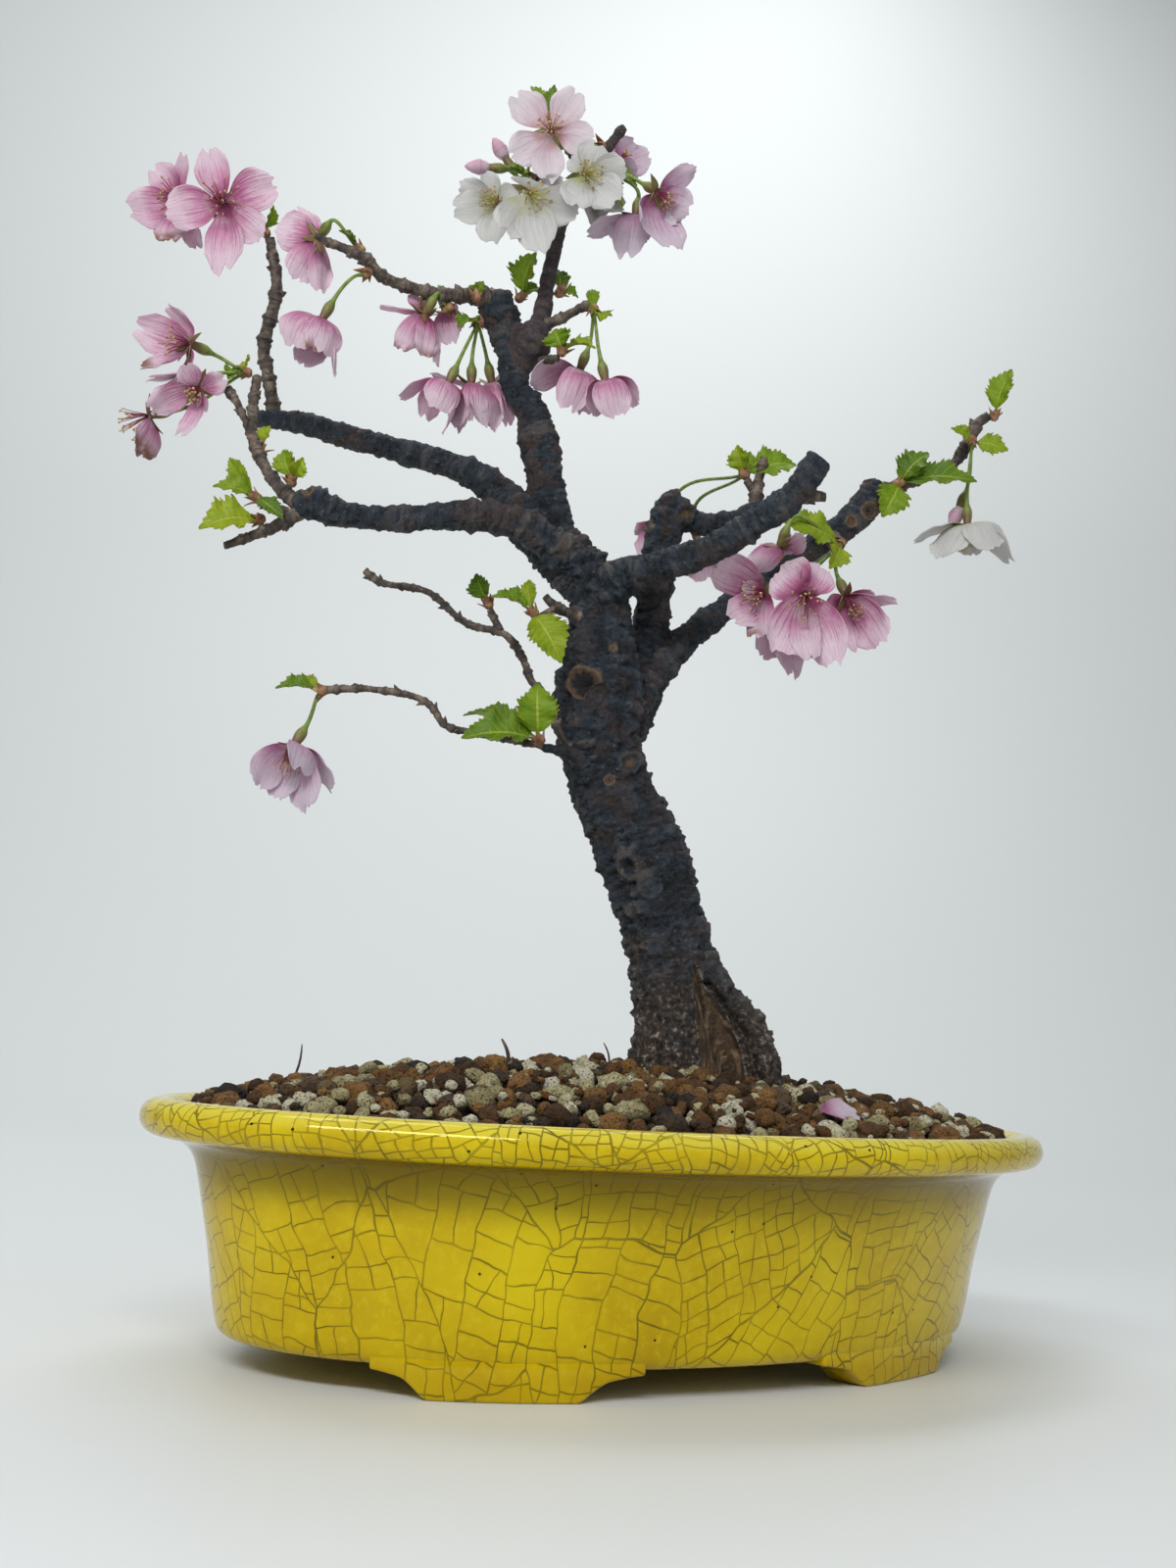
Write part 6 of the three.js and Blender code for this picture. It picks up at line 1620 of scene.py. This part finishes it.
def thread_finish(name, low, high, style):
    finish = Finish(name, 0.5, Subsurface_Weight=0.15, Subsurface_Scale=0.001)
    along, is_style = finish.parts(finish.attribute("tone"))[:2]
    shade = finish.ramp(finish.mixed(along, finish.grain(finish.place(), 500.0), 0.2),
                        (0.1, low), (0.9, high))
    return finish.set(Base_Color=finish.blend(is_style, shade, style))


pink_thread = thread_finish("flower_thread", (96, 18, 50), (150, 54, 92), (160, 140, 90))
THREADS = {"white": thread_finish("white_flower_thread", (168, 162, 70), (206, 198, 140),
                                  (150, 160, 70)),
           "blush": thread_finish("blush_flower_thread", (134, 74, 60), (186, 132, 104),
                                  (150, 140, 80))}
bead_finish = Finish("pollen_bead", 0.7)
bead_finish.set(Base_Color=bead_finish.ramp(bead_finish.grain(bead_finish.place(), 700.0),
                                            (0.35, (146, 108, 70)), (0.65, (210, 182, 134))))
print("petal and thread finishes are mixed")

# %% [markdown]
# Each petal's width was drawn as it is seen, so a petal that is seen from its edge is made
# wider again, and a broad one turns its inside towards us. In a flower that hangs half
# closed the petals widen at once; in an open one they start narrow.

# %% Build every flower
CUPPED, WIDEST, PETAL_THICK = 50, 15.5, 0.22
by_node = {}
for number, (node, *_) in enumerate(FLOWERS):
    by_node.setdefault(node, []).append(number)
for node, members in by_node.items():
    petals, tuft = [], []
    for number in members:
        _, colour, hub, face, _, _, drawn = FLOWERS[number]
        blush = colour == "blush"
        flower = flower_frame(hub, face)
        centre, ahead = flower["centre"], flower["ahead"]
        rng = np.random.default_rng(500 + number)
        reaches, leans = [], []
        for petal in drawn:
            tip, out, width = petal_direction(flower, hub, petal)
            root = centre + out * 1.0 - ahead * 0.3
            reaches.append(np.linalg.norm(tip - root))
            chord = unit(tip - root)
            lean = math.degrees(math.acos(np.clip(np.dot(chord, ahead), -1, 1)))
            leans.append(lean)
            bow = petal[4] if len(petal) > 4 else (0.14 if lean < CUPPED else 0.02)
            inside = square_to(ahead - 0.35 * out, chord)
            line_of_sight = unit(tip - EYE_IN_POT)
            if width > 0.5 * reaches[-1]:
                facing = -np.sign(np.dot(inside, line_of_sight))
                inside = square_to(inside + 0.8 * facing * -line_of_sight, chord)
            seen = np.cross(chord, inside)
            seen = np.linalg.norm(seen - line_of_sight * np.dot(seen, line_of_sight))
            claw = 1.25 if blush else 0.5 if lean < CUPPED or node[0] == "g" else 0.85
            points, tone = petal_points(root, tip, inside, min(width / max(seen, 0.6), WIDEST),
                                        bow, rng, claw)
            if len(petal) > 5:
                tone[:, 2] = np.clip((tone[:, 0] - 1 + petal[5]) / 0.2, 0, 1) * 0.95
            petals.append((points, petal_faces, 0, tone))
        reach = 8.8 if node == "b3" else (0.38 if blush else 0.52) * np.median(reaches)
        fan = math.radians(min(48, max(12, np.median(leans) * 0.62)))
        towards = sum(unit(petal_direction(flower, hub, petal)[0] - centre) for petal in drawn)
        ahead = unit(ahead + 0.3 * towards)
        top = square_to(flower["top"], ahead)
        leaning = {"centre": centre, "ahead": ahead, "top": top, "side": np.cross(top, ahead)}
        tuft += threads(leaning, reach, fan, rng)
    flower_piece = gather("petals", petals, PETALS[colour])
    thicken(flower_piece, PETAL_THICK)
    flower_piece = join(flower_piece, gather("tuft", tuft, THREADS.get(colour, pink_thread),
                                             bead_finish))
    smooth(flower_piece, 70)
    finish_piece(flower_piece, "flower_" + node,
                 "petal_pink" if colour in ("pink", "mauve") else "petal_white", "bloom_" + node)


# %% [markdown]
# ## Leaves
# The blade's rows run from stalk to tip. Its half width is a long oval, cut into a saw edge
# where each tooth leans towards the tip. The veins are drawn by the finish from two marks:
# how far along the blade a point lies, and how far out from the midrib.

# %% The flat leaf
leaf_grid, leaf_faces = take_form(bpy.ops.mesh.primitive_grid_add, x_subdivisions=8,
                                  y_subdivisions=44, size=2)
LEAF_U, LEAF_V = leaf_grid[:, 0], (leaf_grid[:, 1] + 1) / 2
STALK_SHARE = 0.07


def leaf_part(rng, seat, tip, width, face, fold, paleness=None):
    """One leaf from its bud to its tip, with the way its upper face looks and its fold."""
    end = spot(tip)
    ahead = unit(end - seat)
    base = seat + ahead * 0.8
    length = np.linalg.norm(end - base)
    upper = square_to(heading(*face), ahead)
    side = np.cross(ahead, upper)
    u, v, from_rib = LEAF_U, LEAF_V, np.abs(LEAF_U)
    teeth = max(7, round(length / 1.5))
    bite = np.mod(v * teeth, 1.0)
    blade = np.clip((v - STALK_SHARE) / (1 - STALK_SHARE), 0, 1)
    oval = np.sin(math.pi * np.minimum(0.05 + blade * 0.95, 1) ** 0.85)
    edge = from_rib ** 3
    half = (width / 2) * 1.06 * oval * (1 + 0.34 * (bite - 0.55) * edge * (1 - 0.4 * blade))
    half = np.where(v < STALK_SHARE, 0.5, np.maximum(half, 0.35 * (1 - v) + 0.04))
    lean = 0.45 / teeth * edge * bite
    out = u * half
    slope = math.tan(math.radians(fold))
    arch = 0.09 * length * np.sin(math.pi * v)
    ripple = 0.09 * width * np.sin(v * 19 + 2.2 * u + rng.uniform(0, 6)) * from_rib ** 1.3 * oval
    curl = -0.10 * length * v ** 3 * rng.uniform(-0.3, 1.6)
    pleat = (0.055 * width * np.cos((v * 9 - from_rib * 1.7) * 2 * math.pi) * from_rib ** 0.7
             * (1 - 0.5 * from_rib) * oval)
    height = arch + np.abs(out) * slope + ripple + curl + pleat
    points = (base + np.outer((v + lean) * length, ahead) + np.outer(out, side)
              + np.outer(height, upper))
    own = rng.random() if paleness is None else paleness
    return points, leaf_faces, 0, np.column_stack([v, u, u * 0 + own, u * 0 + teeth / 20])


# %% Leaf finish
leaf_finish = Finish("young_leaf", 0.45, Subsurface_Weight=0.25, Subsurface_Scale=0.0012,
                     Specular_IOR_Level=0.3, Subsurface_Radius=(0.7, 1.0, 0.25))
leaf_along, leaf_across, leaf_own = leaf_finish.parts(leaf_finish.attribute("tone"))[:3]
off_rib = leaf_finish.count("ABSOLUTE", leaf_across)
rank = leaf_finish.minus(leaf_finish.times(leaf_along, 9.0), leaf_finish.times(off_rib, 1.7))
beside = leaf_finish.off(leaf_finish.count("FRACT", rank), 0.5)
side_veins = leaf_finish.between(beside, 0.03, 0.13, 1.0, 0.0)
midrib = leaf_finish.between(off_rib, 0.04, 0.12, 1.0, 0.0)
veins = leaf_finish.count("MAXIMUM", leaf_finish.times(side_veins, 0.55), midrib)
leaf_cloud = leaf_finish.grain(leaf_finish.place(), 180.0, 3.0)
green = leaf_finish.ramp(leaf_finish.mixed(leaf_own, leaf_cloud, 0.45), (0.2, (66, 100, 8)),
                         (0.5, (104, 134, 8)), (0.8, (148, 160, 28)))
green = leaf_finish.blend(leaf_finish.times(veins, 0.6), green, (168, 180, 70))
green = leaf_finish.tint(green, (off_rib, 0.86, 1.0, 0.0, 0.3, (136, 112, 40)))
leaf_height = leaf_finish.minus(leaf_finish.grain(leaf_finish.place(), 900.0), veins)
leaf_finish.set(Base_Color=green, Normal=leaf_finish.relief(leaf_height, 0.0004, 0.7))

# %% Stalk and scale finishes
stalk_finish = Finish("flower_stalk", 0.45, Subsurface_Weight=0.1, Subsurface_Scale=0.001)
stalk_place = stalk_finish.place()
stalk_red = stalk_finish.parts(stalk_finish.attribute("tone"))[1]
stalk_green = stalk_finish.ramp(stalk_finish.grain(stalk_place, 500.0, 3.0),
                                (0.35, (92, 118, 42)), (0.65, (136, 156, 70)))
stalk_finish.set(Base_Color=stalk_finish.blend(stalk_red, stalk_green, (116, 52, 58)),
                 Normal=stalk_finish.relief(stalk_finish.grain(stalk_place, 1600.0), 0.0002, 0.5))
scale_finish = Finish("papery_bud_scale", 0.7, Subsurface_Weight=0.1, Subsurface_Scale=0.001)
scale_place = scale_finish.place()
scale_finish.set(Base_Color=scale_finish.ramp(scale_finish.grain(scale_place, 420.0, 4.0),
                                              (0.3, (92, 60, 42)), (0.5, (150, 106, 78)),
                                              (0.7, (176, 150, 98))),
                 Normal=scale_finish.relief(scale_finish.grain(scale_place, 1300.0), 0.0003, 0.7))
SPRAY_FINISHES = [leaf_finish, stalk_finish, scale_finish, PETALS["pink"]]

# %% [markdown]
# ## Stalks
# A stalk leaves the bud, bends under the flower's weight and swells into the tube that holds
# the petals. It is one tube whose radius changes along the way, so there is no seam. The five
# sepals are small pointed blades between the petals.

# %% Stalk, tube and sepals
CALYX_LENGTH, CALYX_BELLY, CALYX_NECK = 7.2, 1.75, 1.3
GREEN, BROWN, PINK = 1, 2, 3


def blade_part(root, ahead, upper, length, width, finish, tone, curve, across=4, along=8):
    """A small pointed blade, for sepals and bud scales."""
    side = np.cross(ahead, upper)
    t = np.linspace(0, 1, along)
    half = width / 2 * np.sin(math.pi * np.minimum(0.16 + t * 0.84, 1) ** 0.7)
    u = np.linspace(-1, 1, across)
    lift = (curve * length * t ** 2)[:, None] + 0.18 * width * u ** 2 * (half / half.max())[:, None]
    points = (root + (t * length)[:, None, None] * ahead + (half[:, None] * u)[..., None] * side
              + lift[..., None] * upper)
    faces = [(k * across + j, k * across + j + 1, (k + 1) * across + j + 1, (k + 1) * across + j)
             for k in range(along - 1) for j in range(across - 1)]
    return points.reshape(-1, 3), faces, finish, tone


def stalk_parts(seat, hub, face, lift, rng, drawn):
    """A stalk from its bud to a flower's throat, as solid parts and thin sheets. A stalk for
    which no petals are drawn ends in a closed bud."""
    flower = flower_frame(hub, face)
    centre, ahead = flower["centre"], flower["ahead"]
    mouth = -0.55 if drawn else 0.0
    base = centre + ahead * (mouth - CALYX_LENGTH)
    start = seat + unit(base - seat) * 0.8
    first = start + (base - start) * 0.33 + heading(0, 1, 0) * lift
    second = base - ahead * 0.4 * np.linalg.norm(base - start)
    t = np.linspace(0, 1, 15)[:, None]
    line = ((1 - t) ** 3 * start + 3 * (1 - t) ** 2 * t * first + 3 * (1 - t) * t ** 2 * second
            + t ** 3 * base)
    radii = np.interp(t[:, 0], [0, 0.06, 0.9, 1], [0.75, 0.5, 0.62, 0.8])
    up_tube = np.linspace(0.06, 1, 9)
    tube_line = base + np.outer(up_tube * CALYX_LENGTH, ahead)
    tube_radii = np.interp(up_tube, [0, 0.12, 0.28, 0.45, 0.62, 0.82, 1],
                           [0.8, 1.1, 1.6, CALYX_BELLY, 1.66, 1.36, CALYX_NECK])
    stalk = tube(np.vstack([line, tube_line]), np.concatenate([radii, tube_radii]), 10)
    red = np.repeat(np.concatenate([np.zeros(15), np.linspace(0.05, 0.8, 9)]), 10)
    solids = [(*stalk, GREEN, np.column_stack([red * 0, red, red * 0, red * 0]))]
    sheets = []
    middles, open_by = (np.arange(5) + 0.5) * FIFTH, np.zeros(5)
    if len(drawn) == 5:
        ways = [petal_direction(flower, hub, petal) for petal in drawn]
        turns = np.array([math.atan2(out @ flower["side"], out @ flower["top"])
                          for _, out, _ in ways])
        rises = np.array([math.asin(unit(tip - centre) @ ahead) for tip, _, _ in ways])
        rises, turns = rises[np.argsort(turns)], np.sort(turns)
        open_by = np.minimum(rises, np.roll(rises, -1))
        middles = (turns + np.roll(turns, -1)) / 2
        middles[-1] += math.pi
    for angle, slope in zip(middles, open_by):
        out = np.cos(angle) * flower["top"] + np.sin(angle) * flower["side"]
        if drawn:
            slope = slope + math.radians(rng.uniform(-14, -2))
            root = centre + out * 0.9 + ahead * (mouth - 0.15)
            direction = out * math.cos(slope) + ahead * math.sin(slope)
            upper = ahead * math.cos(slope) - out * math.sin(slope)
            sheets.append(blade_part(root, direction, upper, 5.9, 2.5, GREEN,
                                     (0, rng.uniform(0.35, 0.75), 0, 0), rng.uniform(-0.14, 0.04)))
        else:
            sheets.append(blade_part(centre + out * 1.25 - ahead * 0.4,
                                     unit(ahead * 0.95 + out * 0.12), -out, 4.6, 2.4, GREEN,
                                     (0, 0.35, 0, 0), -0.03))
    if not drawn:
        rows = np.linspace(0, 1, 9)
        egg = 1.25 * np.interp(rows, [0, 0.15, 0.4, 0.7, 0.9, 1], [1.1, 1.7, 2.1, 1.6, 0.85, 0.15])
        egg_points, faces = tube(centre + np.outer(rows * 8.0 - 0.6, ahead), egg, 12, twist=0.22)
        egg_points = egg_points + 0.12 * np.sin(np.tile(np.arange(12), 9) * 2.1)[:, None] * ahead
        fade = np.repeat(0.8 - rows * 0.35, 12)
        solids.append((egg_points, faces, PINK,
                       np.column_stack([fade, fade * 0, fade * 0, fade * 0 + 0.3])))
    return solids, sheets


def scale_parts(seat, outward, rng):
    """The papery scales of one bud, as solid parts and thin sheets."""
    top = square_to(np.array([0.13, 0.41, 0.9]), outward)
    side = np.cross(top, outward)
    sheets = []
    for k in range(9):
        angle = k * GOLDEN + rng.uniform(-0.3, 0.3)
        out = top * math.cos(angle) + side * math.sin(angle)
        open_by = rng.uniform(0.25, 0.85) if k > 4 else rng.uniform(0.05, 0.3)
        direction = unit(outward * math.cos(open_by) + out * math.sin(open_by))
        root = seat - outward * 1.9 + out * 0.75
        sheets.append(blade_part(root, direction, square_to(-out, direction),
                                 rng.uniform(3.2, 4.8), rng.uniform(2.0, 2.9), BROWN,
                                 (0, 0, 0, rng.random()), rng.uniform(-0.2, 0.1)))
    core_line = seat + np.outer(np.linspace(-2.2, 0.9, 6), outward)
    core = tube(core_line, [1.0, 1.5, 1.7, 1.5, 1.1, 0.3], 9)
    return [(*core, BROWN, (0, 0, 0, 0.5))], sheets


# %% Build every spray
SHEET_THICK = 0.26
for number, (name, (seat, leaves)) in enumerate(SPRAYS.items()):
    rng = np.random.default_rng(900 + number)
    seat = np.array(seat)
    stalks = [(hub, face, lift, drawn)
              for _, _, hub, face, owner, lift, drawn in FLOWERS if owner == name]
    stalks += [(hub, face, 0, ()) for owner, hub, face in CLOSED_BUDS if owner == name]
    ends = [spot(tip) for tip, *_ in leaves] + [spot(hub) for hub, *_ in stalks]
    outward = unit(sum(unit(end - seat) for end in ends))
    made = [stalk_parts(seat, hub, face, lift, rng, drawn) for hub, face, lift, drawn in stalks]
    made.append(scale_parts(seat, outward, rng))
    solids = [part for more, _ in made for part in more]
    sheets = [part for _, more in made for part in more]
    sheets += [leaf_part(rng, seat, *leaf) for leaf in leaves]
    spray = gather("spray", sheets, *SPRAY_FINISHES)
    thicken(spray, SHEET_THICK)
    spray = join(spray, gather("stalks", solids, *SPRAY_FINISHES))
    smooth(spray, 60)
    finish_piece(spray, "spray_" + name, "leaf", "spur_" + name)

# %% [markdown]
# Two bare twigs still carry late buds: a few papery scales with the tips of their first
# leaves. They are made like the sprays, without stalks, and belong to the wood.

# %% Two late buds on bare twigs
LATE_BUDS = [((266, 457, -20), (0.3, 1, 0), [((274, 434, -20), 4.5, (-0.3, 0, 1), 30, 0.9)]),
             ((486, 301, -2), (0, 1, 0.2), [((479, 291, -3), 3, (0, 0, 1), 20, 0.2),
                                            ((493, 287, -3), 3.5, (0, 0, 1), 20, 0.2)])]
rng = np.random.default_rng(41)
late_parts = []
for base, outward, leaves in LATE_BUDS:
    seat = spot(base)
    solids, sheets = scale_parts(seat, heading(*outward), rng)
    late_parts += solids + sheets + [leaf_part(rng, seat, *leaf) for leaf in leaves]
late_buds = gather("late_buds", late_parts, *SPRAY_FINISHES)
thicken(late_buds, SHEET_THICK)
smooth(late_buds, 60)
finish_piece(late_buds, "late_buds", "leaf", "wood")

# %% [markdown]
# ## Fallen petal and dry stems
# One petal has dropped on the grit, and a few dry stems stick up between the grains. Seven of
# them are drawn; the others are short scraps that lie about by chance.

# %% Fallen petal
x, y, _ = spot((855, 1143, -40))
bed = float(mound_height(x, y))
points, tone = petal_points(np.array([x - 6, y + 0.5, bed + 3.2]),
                            np.array([x + 6, y - 0.5, bed + 2.8]),
                            np.array([-0.1, -0.6, 0.8]), 9.5, -0.1, np.random.default_rng(77))
fallen = gather("fallen", [(points, petal_faces, 0, tone)], PETALS["mauve"])
thicken(fallen, 0.25)
smooth(fallen, 70)
finish_piece(fallen, "fallen_petal_curled", "petal_pink", "fallen_petal")

# %% Dry stems
STEMS = [((296, 1100, -10), (309, 1056, -12), 0.42), ((518, 1092, -20), (512, 1060, -22), 0.65),
         ((620, 1094, -20), (616, 1064, -20), 0.36), ((326, 1106, -14), (352, 1094, -14), 0.36),
         ((617, 1160, -55), (622, 1128, -52), 0.3), ((545, 1125, -40), (575, 1120, -44), 0.35),
         ((235, 1122, -8), (246, 1113, -12), 0.3)]
straw_random = random.Random(9)
for _ in range(26):
    across, down, behind = (straw_random.uniform(260, 900), straw_random.uniform(1098, 1140),
                            straw_random.uniform(-70, 20))
    top = across + straw_random.uniform(-22, 22), down - straw_random.uniform(0, 9), behind + 2
    STEMS.append(((across, down, behind), top, straw_random.uniform(0.25, 0.4)))
stem_parts = []
for low, top, thick in STEMS:
    foot_point, tip_point = spot(low), spot(top)
    ground = float(mound_height(foot_point[0], foot_point[1])) + 1.0
    tip_point[2] += min(ground - foot_point[2], 0)
    foot_point[2] = min(foot_point[2], ground)
    bend = np.array([0.8, -0.5, 0.3])
    t = np.linspace(0, 1, 7)[:, None]
    line = foot_point + (tip_point - foot_point) * t + bend * np.sin(math.pi * t)
    stem_parts.append((*tube(line, thick * np.array([1, 1, 0.9, 0.9, 0.8, 0.7, 0.4]), 6), 0, PLAIN))
stems = gather("stems", stem_parts, twig_bark)
mark_straight(stems, millimetres(stems))
smooth(stems, 60)
finish_piece(stems, "dry_stems", "bark", "soil")
